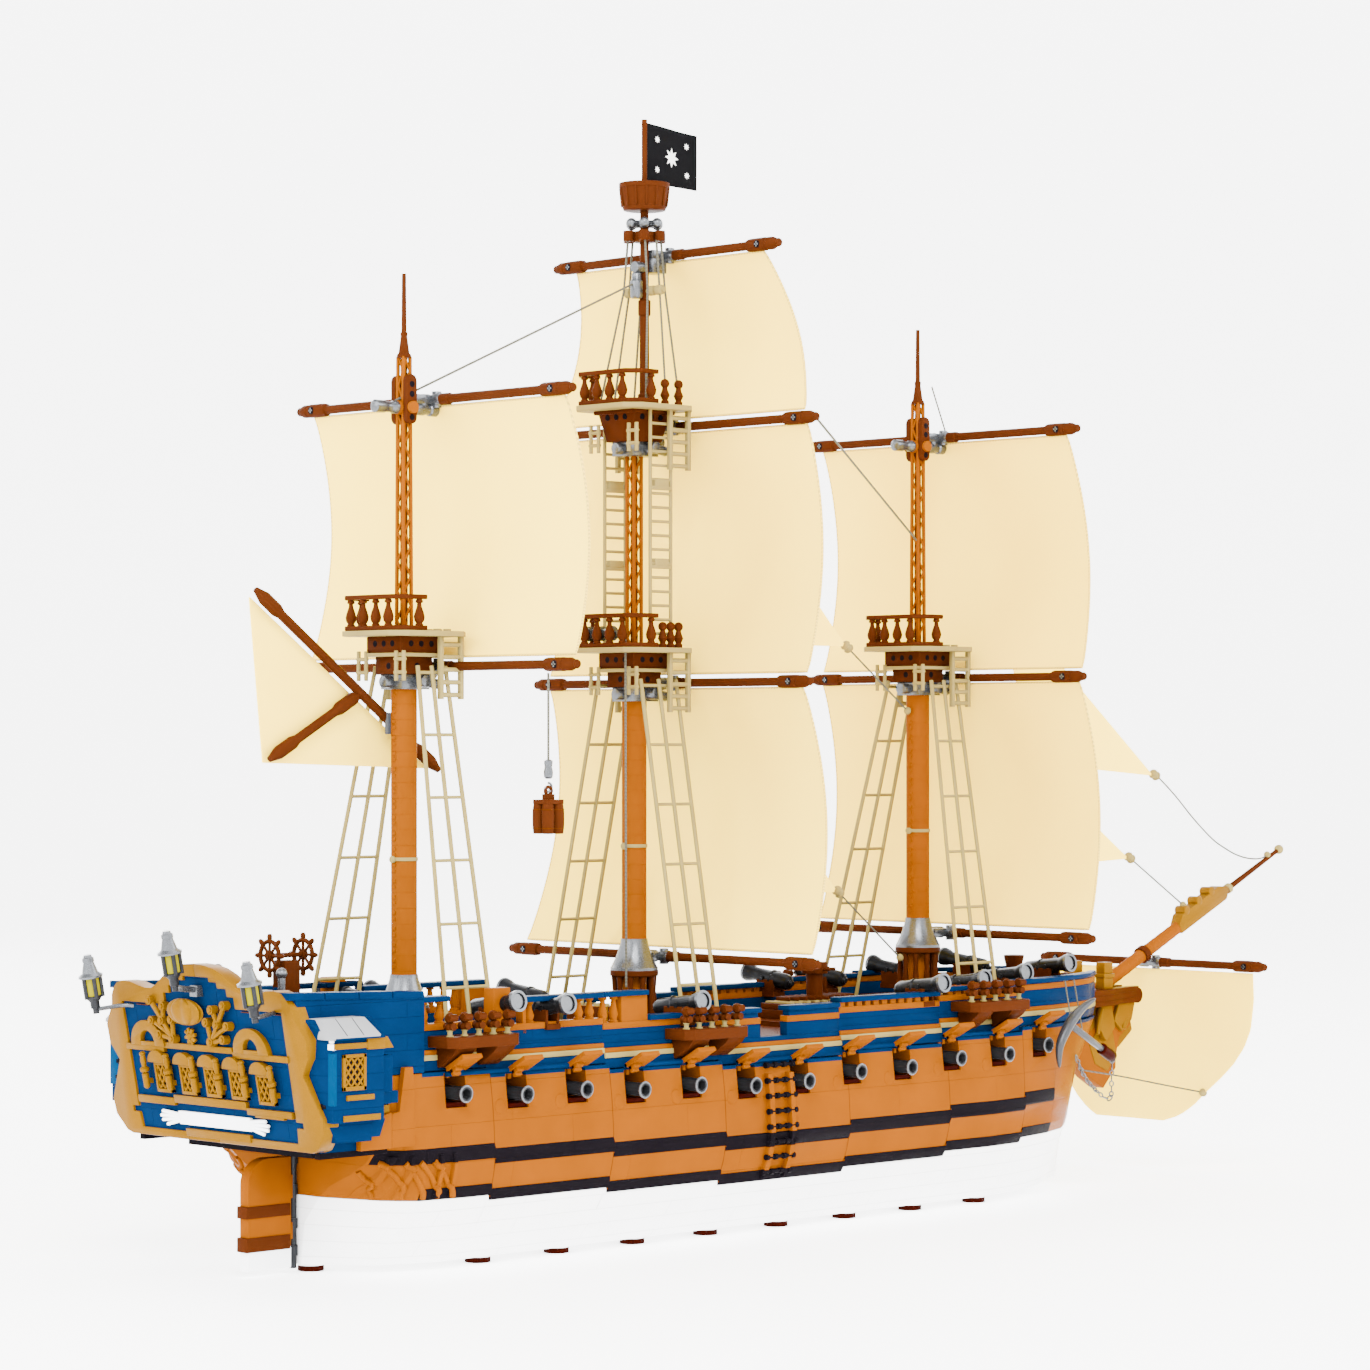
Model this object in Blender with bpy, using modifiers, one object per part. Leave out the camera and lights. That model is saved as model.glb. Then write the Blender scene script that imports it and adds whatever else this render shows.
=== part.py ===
"""A toy tall ship with three masts, built from named sub-parts at its own size.

Lengths are in metres. A station is a distance forward of the mizzen mast, a height is measured
from the floor under the feet, and the port side lies towards +Y.
"""

import math

import bmesh
import bpy
from mathutils import Matrix, Vector

# Driving dimensions
MM = 0.001
GAP = 0.0003
PLATE = 3.2 * MM
STATION_AFT = -175.0 * MM
STATION_FORE = 869.0 * MM
STATION_MIDDLE = (STATION_AFT + STATION_FORE) / 2
MIZZEN = 0.0
MAIN = 192.0 * MM
FORE = 460.0 * MM
PORT_SIDE = 1
STARBOARD = -1
SIDES = ((STARBOARD, "starboard"), (PORT_SIDE, "port"))

# The sheer: each run of the hull steps up from the waist by whole plates
SHEER_ENDS = (-130.0, -4.0, 92.0, 188.0, 300.0, 396.0, 476.0, 640.0)
SHEER_PLATES = (3, 2, 1, 0, 1, 2, 3)
STEP_RUN = 0.5 * MM

# Heights of the hull's bands amidships
FOOT_TOP = 4.8 * MM
WHITE_TOP = 36.5 * MM
LOW_WALE = (36.5 * MM, 43.0 * MM)
HIGH_WALE = (59.2 * MM, 66.6 * MM)
STRAKE_TOP = 111.0 * MM
DECK = 126.3 * MM
WALE_PROUD = 0.8 * MM
WALE_ENDS = (-56.0 * MM, 518.0 * MM)
BAND_INSET = 0.955
RAIL_WIDER = 0.03
WALL_SHARE = 0.10

# Half-breadths of the hull in millimetres at these heights, station by station
FORM_HEIGHTS = (0.0, 20.0, 36.5, 52.0, 66.0, 92.0, 112.0, 128.0, 170.0)
FORM = (
    (-84.0, (3.0, 4.0, 6.0, 26.0, 60.0, 84.0, 84.0, 82.0, 80.0)),
    (-70.0, (18.0, 32.0, 50.0, 68.0, 82.0, 86.0, 84.0, 82.0, 80.0)),
    (-56.0, (34.0, 54.0, 72.0, 81.0, 86.0, 86.0, 84.0, 82.0, 80.0)),
    (-20.0, (48.0, 66.0, 79.0, 84.5, 87.5, 86.0, 83.5, 81.0, 80.0)),
    (440.0, (48.0, 66.0, 79.0, 84.5, 87.5, 86.0, 83.5, 81.0, 80.0)),
    (476.0, (48.0, 63.0, 75.0, 80.0, 83.0, 82.0, 81.0, 80.0, 78.0)),
    (516.0, (42.0, 54.0, 64.0, 70.0, 73.0, 75.0, 76.0, 76.0, 75.0)),
    (548.0, (29.0, 40.0, 50.0, 56.0, 59.0, 63.0, 67.0, 68.0, 68.0)),
    (575.0, (13.0, 22.0, 31.0, 36.0, 39.0, 46.0, 54.0, 58.0, 58.0)),
    (600.0, (3.0, 6.0, 9.0, 11.0, 13.0, 26.0, 38.0, 42.0, 42.0)),
)

# Gun ports
PORT_FIRST = -32.0 * MM
PORT_PITCH = 48.0 * MM
PORT_COUNT = 12
PORT_HALF_WIDTH = 8.2 * MM
PORT_BOTTOM = 89.5 * MM
PORT_TOP = 110.0 * MM
GUN_HEIGHT = 98.0 * MM
GUN_RADIUS = 4.3 * MM
MUZZLE_RADIUS = 5.0 * MM
MUZZLE_BREADTH = 94.0 * MM
BOW_MUZZLE = (470.0 * MM, 87.0 * MM)
BED_BREADTH = 67.0 * MM
BED_RADIUS = 4.0 * MM

# Port lids, in runs that share one hinge line
LID_RUNS = ((0, 1, 2), (3, 4), (5, 6), (7, 8), (9, 10), (11,))
LID_HINGE_HEIGHT = 112.4 * MM
LID_HINGE_BREADTH = 84.0 * MM
AFT_LID_BREADTH = 84.7 * MM
BOW_LID_BREADTH = 80.3 * MM
LID_LENGTH = 15.5 * MM
LID_RISE = math.radians(29.0)
LID_ROD_RADIUS = 1.4 * MM

# Rudder and steering wheels
RUDDER_AXIS = -85.7 * MM
RUDDER_AFT = -122.0 * MM
RUDDER_RANGE = (3.6 * MM, 69.0 * MM)
HELM_HEIGHT = 187.0 * MM
HELM_STATIONS = (-103.0 * MM, -78.0 * MM)

# Bowsprit, a straight line rising forward
BOWSPRIT_FOOT = (600.9 * MM, 112.0 * MM)
BOWSPRIT_RISE = 0.452

# The castle and the leaning transom
CASTLE_LOW = 78.8 * MM
POOP = 158.0 * MM
TRANSOM_FOOT = (-136.5 * MM, 80.0 * MM)
TRANSOM_LEAN = 0.19

# Shrouds stand just inside the bulwark
SHROUD_FOOT = 66.0 * MM
SHROUD_HEAD = 19.5 * MM

COLLECTION = bpy.data.collections.new("tall_ship")


def clear_scene():
    """Removes every object and links the collection that holds the ship."""
    for thing in list(bpy.data.objects):
        bpy.data.objects.remove(thing, do_unlink=True)
    bpy.context.scene.collection.children.link(COLLECTION)


def place(station, breadth, height):
    """The world position of a station, a breadth towards port and a height."""
    return Vector((station - STATION_MIDDLE, breadth, height))


def paint(name, colour, roughness=0.3, metallic=0.0):
    """A Principled material."""
    material = bpy.data.materials.new(name)
    material.use_nodes = True
    shader = material.node_tree.nodes["Principled BSDF"]
    shader.inputs["Base Color"].default_value = (*colour, 1.0)
    shader.inputs["Roughness"].default_value = roughness
    shader.inputs["Metallic"].default_value = metallic
    return material


def from_bmesh(shape):
    """A linked object that takes over this bmesh."""
    mesh = bpy.data.meshes.new("shape")
    shape.to_mesh(mesh)
    shape.free()
    thing = bpy.data.objects.new("shape", mesh)
    COLLECTION.objects.link(thing)
    return thing


def block(stations, breadths, heights):
    """A box between two stations, two breadths and two heights."""
    shape = bmesh.new()
    bmesh.ops.create_cube(shape, size=1.0)
    low = place(min(stations), min(breadths), min(heights))
    high = place(max(stations), max(breadths), max(heights))
    size = high - low
    bmesh.ops.scale(shape, vec=size, verts=shape.verts)
    bmesh.ops.translate(shape, vec=(low + high) / 2, verts=shape.verts)
    return from_bmesh(shape)


def rod(start, end, radius, end_radius=None, sides=12):
    """A round bar between two world points, tapered where the end radius differs."""
    along = end - start
    shape = bmesh.new()
    bmesh.ops.create_cone(
        shape,
        cap_ends=True,
        segments=sides,
        radius1=radius,
        radius2=radius if end_radius is None else end_radius,
        depth=along.length,
    )
    turn = along.to_track_quat("Z", "Y").to_matrix().to_4x4()
    turn = Matrix.Translation((start + end) / 2) @ turn
    bmesh.ops.transform(shape, matrix=turn, verts=shape.verts)
    return from_bmesh(shape)


def ball(centre, radius):
    """A small faceted ball."""
    shape = bmesh.new()
    bmesh.ops.create_uvsphere(shape, u_segments=10, v_segments=6, radius=radius)
    bmesh.ops.translate(shape, vec=centre, verts=shape.verts)
    return from_bmesh(shape)


def realised(source):
    """Replaces a curve or a modified object by its welded plain mesh."""
    graph = bpy.context.evaluated_depsgraph_get()
    mesh = bpy.data.meshes.new_from_object(source.evaluated_get(graph))
    mesh.transform(source.matrix_world)
    shape = bmesh.new()
    shape.from_mesh(mesh)
    bmesh.ops.remove_doubles(shape, verts=shape.verts, dist=1e-6)
    bmesh.ops.triangulate(shape, faces=shape.faces)
    bmesh.ops.recalc_face_normals(shape, faces=shape.faces)
    bpy.data.objects.remove(source, do_unlink=True)
    return from_bmesh(shape)


def flat_shape(points, thickness, turn):
    """A flat outline extruded by a thickness about its plane, then turned into place."""
    curve = bpy.data.curves.new("outline", "CURVE")
    curve.dimensions = "2D"
    curve.fill_mode = "BOTH"
    curve.extrude = thickness / 2
    spline = curve.splines.new("POLY")
    spline.points.add(len(points) - 1)
    for point, (u, v) in zip(spline.points, points):
        point.co = (u, v, 0.0, 1.0)
    spline.use_cyclic_u = True
    source = bpy.data.objects.new("outline", curve)
    COLLECTION.objects.link(source)
    source.matrix_world = turn
    bpy.context.view_layer.update()
    return realised(source)


def side_plate(points, breadths):
    """A plate whose outline lies in the fore-and-aft plane, between two breadths."""
    middle = (breadths[0] + breadths[1]) / 2
    upright = Matrix.Rotation(math.radians(90.0), 4, "X")
    turn = Matrix.Translation(place(0.0, middle, 0.0)) @ upright
    return flat_shape(points, abs(breadths[1] - breadths[0]), turn)


def level_plate(points, heights):
    """A plate whose outline lies level, given by stations and breadths."""
    turn = Matrix.Translation(place(0.0, 0.0, (heights[0] + heights[1]) / 2))
    return flat_shape(points, abs(heights[1] - heights[0]), turn)


def cross_plate(points, station, thickness):
    """A plate whose outline lies across the ship, given by breadths and heights."""
    basis = Matrix(((0, 0, 1, 0), (1, 0, 0, 0), (0, 1, 0, 0), (0, 0, 0, 1)))
    turn = Matrix.Translation(place(station, 0.0, 0.0)) @ basis
    return flat_shape(points, thickness, turn)


def group(shapes):
    """One object that holds shapes which don't touch each other."""
    whole = bmesh.new()
    for thing in shapes:
        whole.from_mesh(thing.data)
        bpy.data.objects.remove(thing, do_unlink=True)
    return from_bmesh(whole)


def boolean(target, tools, operation):
    """Applies one exact Boolean of each tool in turn, and removes the tools."""
    for tool in tools:
        step = target.modifiers.new("step", "BOOLEAN")
        step.operation = operation
        step.solver = "EXACT"
        step.object = tool
    result = realised(target)
    for tool in tools:
        bpy.data.objects.remove(tool, do_unlink=True)
    return result


def fuse(*shapes):
    """One body made of shapes that overlap."""
    return boolean(shapes[0], shapes[1:], "UNION")


def cut(target, *tools):
    """The target without the tools' space."""
    return boolean(target, tools, "DIFFERENCE")


def finish(thing, name, material, axis_point=None):
    """Names a part, gives it its material and, if it moves, an origin on its axis."""
    thing.name = name
    thing.data.name = name
    thing.data.materials.clear()
    thing.data.materials.append(material)
    thing.data.shade_smooth()
    thing.data.set_sharp_from_angle(angle=math.radians(30.0))
    if axis_point is not None:
        thing.data.transform(Matrix.Translation(-axis_point))
        thing.location = axis_point
    return thing


def sheer_at(station):
    """How far the hull has stepped up at a station."""
    for end, plates in zip(SHEER_ENDS[1:], SHEER_PLATES):
        if station < end * MM:
            return plates * PLATE
    return SHEER_PLATES[-1] * PLATE


def sheer_line(station_range):
    """Stations with the sheer's rise at each; every step slopes over a short run."""
    first, last = station_range
    inner = [e * MM for e in SHEER_ENDS if first < e * MM < last]
    line = [(first, sheer_at(first + STEP_RUN))]
    for end in inner:
        line += [(end - STEP_RUN, sheer_at(end - STEP_RUN)), (end + STEP_RUN, sheer_at(end + STEP_RUN))]
    return line + [(last, sheer_at(last - STEP_RUN))]


def stepped_outline(low, high, station_range):
    """A fore-and-aft outline between two heights that steps with the sheer."""
    line = sheer_line(station_range)
    lower = [(station, low + rise) for station, rise in line]
    upper = [(station, high + rise) for station, rise in line]
    return lower + upper[::-1]


def hull_form(scale=1.0):
    """The solid hull form, lofted through its sections, with its breadth scaled."""
    shape = bmesh.new()
    rings = []
    for station, breadths in FORM:
        half = [(b * scale * MM, h * MM) for b, h in zip(breadths, FORM_HEIGHTS)]
        around = half + [(-b, h) for b, h in half[::-1]]
        rings.append([shape.verts.new(place(station * MM, b, h)) for b, h in around])
    for ring, following in zip(rings, rings[1:]):
        count = len(ring)
        for i in range(count):
            j = (i + 1) % count
            shape.faces.new((ring[i], ring[j], following[j], following[i]))
    shape.faces.new(rings[0][::-1])
    shape.faces.new(rings[-1])
    bmesh.ops.triangulate(shape, faces=shape.faces)
    bmesh.ops.recalc_face_normals(shape, faces=shape.faces)
    return from_bmesh(shape)


def feet():
    """Round feet under the flat bottom, in two rows and one at the stern post."""
    spots = [(24.0 + 64.0 * k, side * 40.0) for k in range(8) for side in (-1, 1)]
    spots.append((-72.0, 0.0))
    made = []
    for station, breadth in spots:
        top = place(station * MM, breadth * MM, FOOT_TOP + 2 * MM)
        made.append(rod(Vector((top.x, top.y, 0.0)), top, 8.0 * MM, sides=12))
    return made


BOTTOM_LEVELS = (
    (FOOT_TOP, False), (12.0 * MM, False), (20.0 * MM, False), (30.0 * MM, False),
    (WHITE_TOP - GAP, False),
)


def build_hull_bottom(material):
    """The white underwater body with its feet."""
    body = loft_band(BOTTOM_LEVELS, (-0.083, 0.600), fixed=4)
    return finish(fuse(body, group(feet())), "hull_bottom", material)


def port_stations():
    """The stations of the gun ports."""
    return [PORT_FIRST + PORT_PITCH * k for k in range(PORT_COUNT)]


def gun_bed(side, margin):
    """The bar that carries one side's barrels, grown by a margin."""
    stations = port_stations()
    points = [place(s, side * BED_BREADTH, GUN_HEIGHT + sheer_at(s)) for s in stations]
    reach = Vector((6 * MM + margin, 0.0, 0.0))
    return wire([points[0] - reach] + points + [points[-1] + reach], BED_RADIUS + margin, 1)


def port_pocket(station, side):
    """The space of one gun port, from the bed out through the hull side."""
    rise = sheer_at(station)
    return block(
        (station - PORT_HALF_WIDTH, station + PORT_HALF_WIDTH),
        (side * (BED_BREADTH - 1.5 * MM), side * 0.1),
        (PORT_BOTTOM + rise, PORT_TOP + rise),
    )


def form_breadth(station, height):
    """The hull form's half-breadth at a station and a height."""
    x = station / MM
    z = height / MM
    aft, fwd = FORM[-2], FORM[-1]
    for before, after in zip(FORM, FORM[1:]):
        if x <= after[0]:
            aft, fwd = before, after
            break
    along = (x - aft[0]) / (fwd[0] - aft[0])
    k = max(i for i, level in enumerate(FORM_HEIGHTS[:-1]) if level <= z)
    up = (z - FORM_HEIGHTS[k]) / (FORM_HEIGHTS[k + 1] - FORM_HEIGHTS[k])
    halves = [row[1][k] + up * (row[1][k + 1] - row[1][k]) for row in (aft, fwd)]
    return (halves[0] + along * (halves[1] - halves[0])) * MM


SIDE_LEVELS = (
    (WHITE_TOP, True), (LOW_WALE[1], True), (LOW_WALE[1], False), (51.0 * MM, False),
    (HIGH_WALE[0], False), (HIGH_WALE[0], True), (HIGH_WALE[1], True), (HIGH_WALE[1], False),
    (79.0 * MM, False), (92.0 * MM, False), (STRAKE_TOP - GAP, False),
)


def ring_stations(first, last, extra=()):
    """The stations of a lofted band's sections, a pair of them at each step of the sheer."""
    stations = {first, last} | set(extra)
    stations |= {row[0] * MM for row in FORM if first < row[0] * MM < last}
    steps = [e * MM for e in SHEER_ENDS if first < e * MM < last]
    stations = {s for s in stations if all(abs(s - e) > 2 * STEP_RUN for e in steps)}
    for end in steps:
        stations |= {end - STEP_RUN, end + STEP_RUN}
    return sorted(stations)


def loft_band(levels, ends, scale=1.0, fixed=0):
    """A band of the hull lofted through its sections, with its wales standing proud."""
    extra = []
    for end in WALE_ENDS:
        if ends[0] < end - STEP_RUN:
            extra += [end - STEP_RUN, end + STEP_RUN]
    shape = bmesh.new()
    rings = []
    for station in ring_stations(ends[0], ends[1], extra):
        within = WALE_ENDS[0] < station < WALE_ENDS[1]
        half = []
        for k, (level, wale) in enumerate(levels):
            rise = sheer_at(station) if k >= fixed else 0.0
            proud = WALE_PROUD if wale and within else 0.0
            breadth = form_breadth(station, level + rise) * scale + proud
            half.append((breadth, level + rise))
        around = half + [(-b, h) for b, h in half[::-1]]
        rings.append([shape.verts.new(place(station, b, h)) for b, h in around])
    for ring, following in zip(rings, rings[1:]):
        count = len(ring)
        for i in range(count):
            j = (i + 1) % count
            shape.faces.new((ring[i], ring[j], following[j], following[i]))
    shape.faces.new(rings[0][::-1])
    shape.faces.new(rings[-1])
    bmesh.ops.remove_doubles(shape, verts=shape.verts, dist=1e-6)
    bmesh.ops.triangulate(shape, faces=shape.faces)
    bmesh.ops.recalc_face_normals(shape, faces=shape.faces)
    return from_bmesh(shape)


LADDER_STATIONS = (226.0 * MM, 245.0 * MM)
STERN_RIBS = (-76.0 * MM, -66.0 * MM, -46.0 * MM, -36.0 * MM)


def build_hull_side(material):
    """The orange side with its wales, the gun ports, the stern ribs and the side ladders' ribs."""
    ladders = []
    for side, _ in SIDES:
        for station in STERN_RIBS:
            span = (station - 1.2 * MM, station + 1.2 * MM)
            rib = block(span, sorted((side * 20 * MM, side * 92 * MM)), (47.0 * MM, 73.0 * MM))
            ladders.append(boolean(rib, [hull_form(1.035)], "INTERSECT"))
        for station in LADDER_STATIONS:
            span = (station - 2 * MM, station + 2 * MM)
            rib = block(span, sorted((side * 60 * MM, side * 92 * MM)), (38.0 * MM, 104.0 * MM))
            ladders.append(boolean(rib, [hull_form(1.045)], "INTERSECT"))
    panel = [(-0.0836, 0.0795), (-0.0665, 0.0795), (-0.0665, 0.112), (-0.068, 0.125),
             (-0.074, 0.125), (-0.078, 0.100), (-0.0836, 0.099)]
    panels = [side_plate(panel, sorted((side * 84.4 * MM, side * 88 * MM))) for side, _ in SIDES]
    body = fuse(loft_band(SIDE_LEVELS, (-0.083, 0.600)), group(ladders), group(panels))
    pockets = [port_pocket(station, side) for side, _ in SIDES for station in port_stations()]
    beds = [gun_bed(side, GAP) for side, _ in SIDES]
    return finish(cut(body, group(pockets), group(beds)), "hull_side", material)


def build_guns(side, name, material):
    """One side's barrels, joined by their bed."""
    shapes = [gun_bed(side, 0.0)]
    for station in port_stations():
        height = GUN_HEIGHT + sheer_at(station)
        muzzle = BOW_MUZZLE[1] if station > BOW_MUZZLE[0] else MUZZLE_BREADTH
        root = place(station, side * (BED_BREADTH - 1 * MM), height)
        neck = place(station, side * (muzzle - 2.2 * MM), height)
        tip = place(station, side * muzzle, height)
        shapes.append(rod(root, neck + (tip - neck) * 0.2, GUN_RADIUS, sides=8))
        shapes.append(rod(neck, tip, MUZZLE_RADIUS, sides=8))
    body = fuse(*shapes)
    bores = []
    for station in port_stations():
        height = GUN_HEIGHT + sheer_at(station)
        muzzle = BOW_MUZZLE[1] if station > BOW_MUZZLE[0] else MUZZLE_BREADTH
        inner = place(station, side * (muzzle - 6 * MM), height)
        outer = place(station, side * (muzzle + 1 * MM), height)
        bores.append(rod(inner, outer, 3.5 * MM, sides=6))
    return finish(cut(body, group(bores)), name, material)


def build_lids(side, label, run, number, material):
    """One run of port lids on their hinge rod."""
    stations = [port_stations()[k] for k in run]
    rise = sheer_at(stations[-1])
    breadth = {0: AFT_LID_BREADTH, PORT_COUNT - 1: BOW_LID_BREADTH}.get(run[0], LID_HINGE_BREADTH)
    height = LID_HINGE_HEIGHT + rise
    pivot = place((stations[0] + stations[-1]) / 2, side * breadth, height)
    reach = 7.6 * MM
    start = place(stations[0] - reach, side * breadth, height)
    end = place(stations[-1] + reach, side * breadth, height)
    shapes = [rod(start, end, LID_ROD_RADIUS, sides=8)]
    lift = Matrix.Rotation(side * LID_RISE, 4, "X")
    for station in stations:
        shape = bmesh.new()
        bmesh.ops.create_cube(shape, size=1.0)
        bmesh.ops.scale(shape, vec=(14.6 * MM, LID_LENGTH, 2.4 * MM), verts=shape.verts)
        shift = Vector((0.0, side * (LID_LENGTH / 2 - 0.4 * MM), 0.0))
        bmesh.ops.translate(shape, vec=shift, verts=shape.verts)
        step = sheer_at(station) - rise
        root = place(station, side * breadth, height + step)
        turn = Matrix.Translation(root) @ lift
        bmesh.ops.transform(shape, matrix=turn, verts=shape.verts)
        shapes.append(from_bmesh(shape))
        if step > GAP:
            arm = (side * (breadth - 0.9 * MM), side * (breadth + 0.9 * MM))
            shapes.append(block((station - 5 * MM, station + 5 * MM), arm, (height, height + step)))
    return finish(fuse(*shapes), f"port_lids_{label}_{number}", material, pivot)


def disc(station, breadth, low, high, radius, top_radius=None, sides=16):
    """An upright round piece between two heights."""
    return rod(place(station, breadth, low), place(station, breadth, high), radius, top_radius, sides)


def gun_on_deck(station, breadth, height, side, length=40 * MM):
    """A deck gun on its carriage, pointing outboard."""
    rear = place(station, breadth - side * length * 0.45, height - 3 * MM)
    muzzle = place(station, breadth + side * length * 0.55, height + 2 * MM)
    barrel = rod(rear, muzzle, 4.8 * MM, 5.4 * MM, sides=10)
    foot = DECK + sheer_at(station) - 3 * MM
    carriage = disc(station, breadth - side * 6 * MM, foot, height, 4.0 * MM, sides=8)
    return [barrel, carriage]


DECK_GUNS = (
    (23.0, -70.0, 156.0, STARBOARD),
    (61.0, -70.0, 153.0, STARBOARD),
    (164.0, -68.0, 150.0, STARBOARD),
    (399.0, -68.0, 152.5, STARBOARD),
    (441.0, -62.0, 153.0, STARBOARD),
    (545.0, -34.0, 156.0, STARBOARD),
    (23.0, 70.0, 156.0, PORT_SIDE),
    (61.0, 70.0, 153.0, PORT_SIDE),
    (164.0, 68.0, 150.0, PORT_SIDE),
    (399.0, 68.0, 152.5, PORT_SIDE),
    (441.0, 62.0, 153.0, PORT_SIDE),
    (545.0, 34.0, 156.0, PORT_SIDE),
)


def build_topside(material):
    """The topside bands and the deck on them, with the deck's fittings."""
    body = loft_band(((STRAKE_TOP, False), (DECK, False)), (-0.0555, 0.600), BAND_INSET)
    shapes = [body]
    for station, breadth, height, side in DECK_GUNS:
        shapes += gun_on_deck(station * MM, breadth * MM, height * MM, side)
    deck = DECK - 2 * MM
    shapes.append(block((0.316, 0.400), (-0.016, 0.016), (deck, 0.150)))
    shapes.append(disc(0.358, 0.0, deck, 0.166, 9 * MM))
    shapes.append(disc(0.560, 0.0, deck, 0.163, 5 * MM, 7 * MM))
    shapes.append(block((0.150, 0.162), (-0.018, 0.018), (deck, 0.146)))
    shapes.append(block((0.085, 0.125), (-0.014, 0.014), (deck, 0.1345)))
    return finish(fuse(*shapes), "topside_deck", material)


RAIL_RUNS = (
    (-55.5, -4.0, 163.0),
    (-4.0, 130.0, 161.0),
    (130.0, 300.0, 145.0),
    (300.0, 396.0, 148.0),
    (396.0, 476.0, 150.5),
    (476.0, 600.0, 152.0),
)


def rail_outline(drop):
    """The fore-and-aft line of the rail's top, lowered by a drop."""
    line = []
    for start, end, height in RAIL_RUNS:
        line += [(start * MM, height * MM - drop), (end * MM, height * MM - drop)]
    return line


CHANNELS = (
    (-55.0, 6.0, 134.6, 136.4),
    (125.0, 197.0, 128.4, 130.0),
    (392.0, 466.0, 134.0, 134.0),
)


def channel_board(side, aft, fwd, low, root):
    """A deadeye board outside the bulwark, with its deadeyes."""
    high = (low + 6.6) * MM
    shapes = [
        block((aft * MM, fwd * MM), sorted((side * 78.2 * MM, side * 100 * MM)), (low * MM, high)),
        block(((aft + 1) * MM, (fwd - 1) * MM), sorted((side * 74 * MM, side * 80 * MM)),
              (root * MM, high - 0.7 * MM)),
    ]
    for k in range(5):
        spot = (aft + (k + 0.5) * (fwd - aft) / 5) * MM
        shapes.append(disc(spot, side * 92 * MM, high - 1 * MM, high + 7.5 * MM, 3.4 * MM, sides=6))
    return shapes


def build_bulwark(material):
    """The bulwark round the deck with its cap rail, deadeye boards and openings."""
    bottom = stepped_outline(DECK + GAP, DECK + 1.0, (-0.0555, 0.600))
    floor_line = bottom[: len(bottom) // 2]
    wall = side_plate(floor_line + rail_outline(1 * MM)[::-1], (-0.12, 0.12))
    wall = boolean(wall, [hull_form(BAND_INSET)], "INTERSECT")
    caps = []
    for start, end, height in RAIL_RUNS:
        cap = block(((start + 0.2) * MM, (end - 0.2) * MM), (-0.12, 0.12), (height * MM - PLATE, height * MM))
        caps.append(boolean(cap, [hull_form(BAND_INSET + RAIL_WIDER)], "INTERSECT"))
    boards = [s for side, _ in SIDES for entry in CHANNELS for s in channel_board(side, *entry)]
    ring = fuse(wall, group(caps), *boards)
    space = ((0.1100, False), (0.1698, False))
    inner = loft_band(space, (-0.0800, 0.5920), BAND_INSET - WALL_SHARE, fixed=2)
    openings = []
    for side, _ in SIDES:
        reach = sorted((side * 60 * MM, side * 90 * MM))
        openings.append(block((0.228, 0.252), reach, (DECK + PLATE, 0.2)))
    for station, breadth, height, side in DECK_GUNS:
        if abs(breadth) > 50.0:
            span = ((station - 7) * MM, (station + 7) * MM)
            reach = sorted((side * 60 * MM, side * 90 * MM))
            openings.append(block(span, reach, ((height - 7) * MM, 0.2)))
    return finish(cut(ring, inner, group(openings)), "bulwark", material)


def lower_mast(station, base, cone, top, radius=7.9 * MM):
    """A silver-footed round mast from the deck to its top."""
    return [
        disc(station, 0.0, base, cone - 19 * MM, 15.5 * MM, sides=20),
        disc(station, 0.0, cone - 20 * MM, cone, 15 * MM, 8.2 * MM, sides=20),
        disc(station, 0.0, cone - 2 * MM, top, radius, sides=16),
    ]


def octagon(station, half, corner):
    """A square outline with its corners cut off."""
    inner = half - corner
    return [
        (station - half, -inner), (station - inner, -half), (station + inner, -half),
        (station + half, -inner), (station + half, inner), (station + inner, half),
        (station - inner, half), (station - half, inner),
    ]


def mast_top(station, block_bottom, platform):
    """A platform over its block, with a rail round its after half."""
    shapes = [
        block((station - 17 * MM, station + 17 * MM), (-17 * MM, 17 * MM), (block_bottom, platform)),
        level_plate(octagon(station, 28 * MM, 8 * MM), (platform - PLATE, platform)),
    ]
    rail = level_plate(octagon(station, 26 * MM, 7 * MM), (platform + 15 * MM, platform + 18 * MM))
    hole = level_plate(octagon(station, 22 * MM, 6 * MM), (platform + 14 * MM, platform + 19 * MM))
    front = block((station - 4 * MM, station + 40 * MM), (-0.05, 0.05),
                  (platform + 14 * MM, platform + 19 * MM))
    shapes.append(cut(rail, hole, front))
    for breadth in (-18.0, -9.0, 0.0, 9.0, 18.0):
        shapes.append(disc(station - 24 * MM, breadth * MM, platform - 1 * MM,
                           platform + 16 * MM, 2.0 * MM, sides=8))
    for side, _ in SIDES:
        for reach in (-7.0, -15.0):
            shapes.append(disc(station + reach * MM, side * 24 * MM, platform - 1 * MM,
                               platform + 16 * MM, 2.0 * MM, sides=8))
    return shapes


def topmast(station, low, high, thick, thin):
    """A tapered square topmast and the spike on it."""
    foot = place(station, 0.0, low)
    spar = rod(foot, place(station, 0.0, high), thick * 0.707, thin * 0.707, 4)
    quarter = Matrix.Rotation(math.radians(45.0), 4, "Z")
    spar.data.transform(Matrix.Translation(foot) @ quarter @ Matrix.Translation(-foot))
    return [
        spar,
        disc(station, 0.0, high - 1 * MM, high + 12 * MM, 4.5 * MM, 1.7 * MM, 12),
        disc(station, 0.0, high + 10 * MM, high + 50 * MM, 1.6 * MM, sides=8),
    ]


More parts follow.
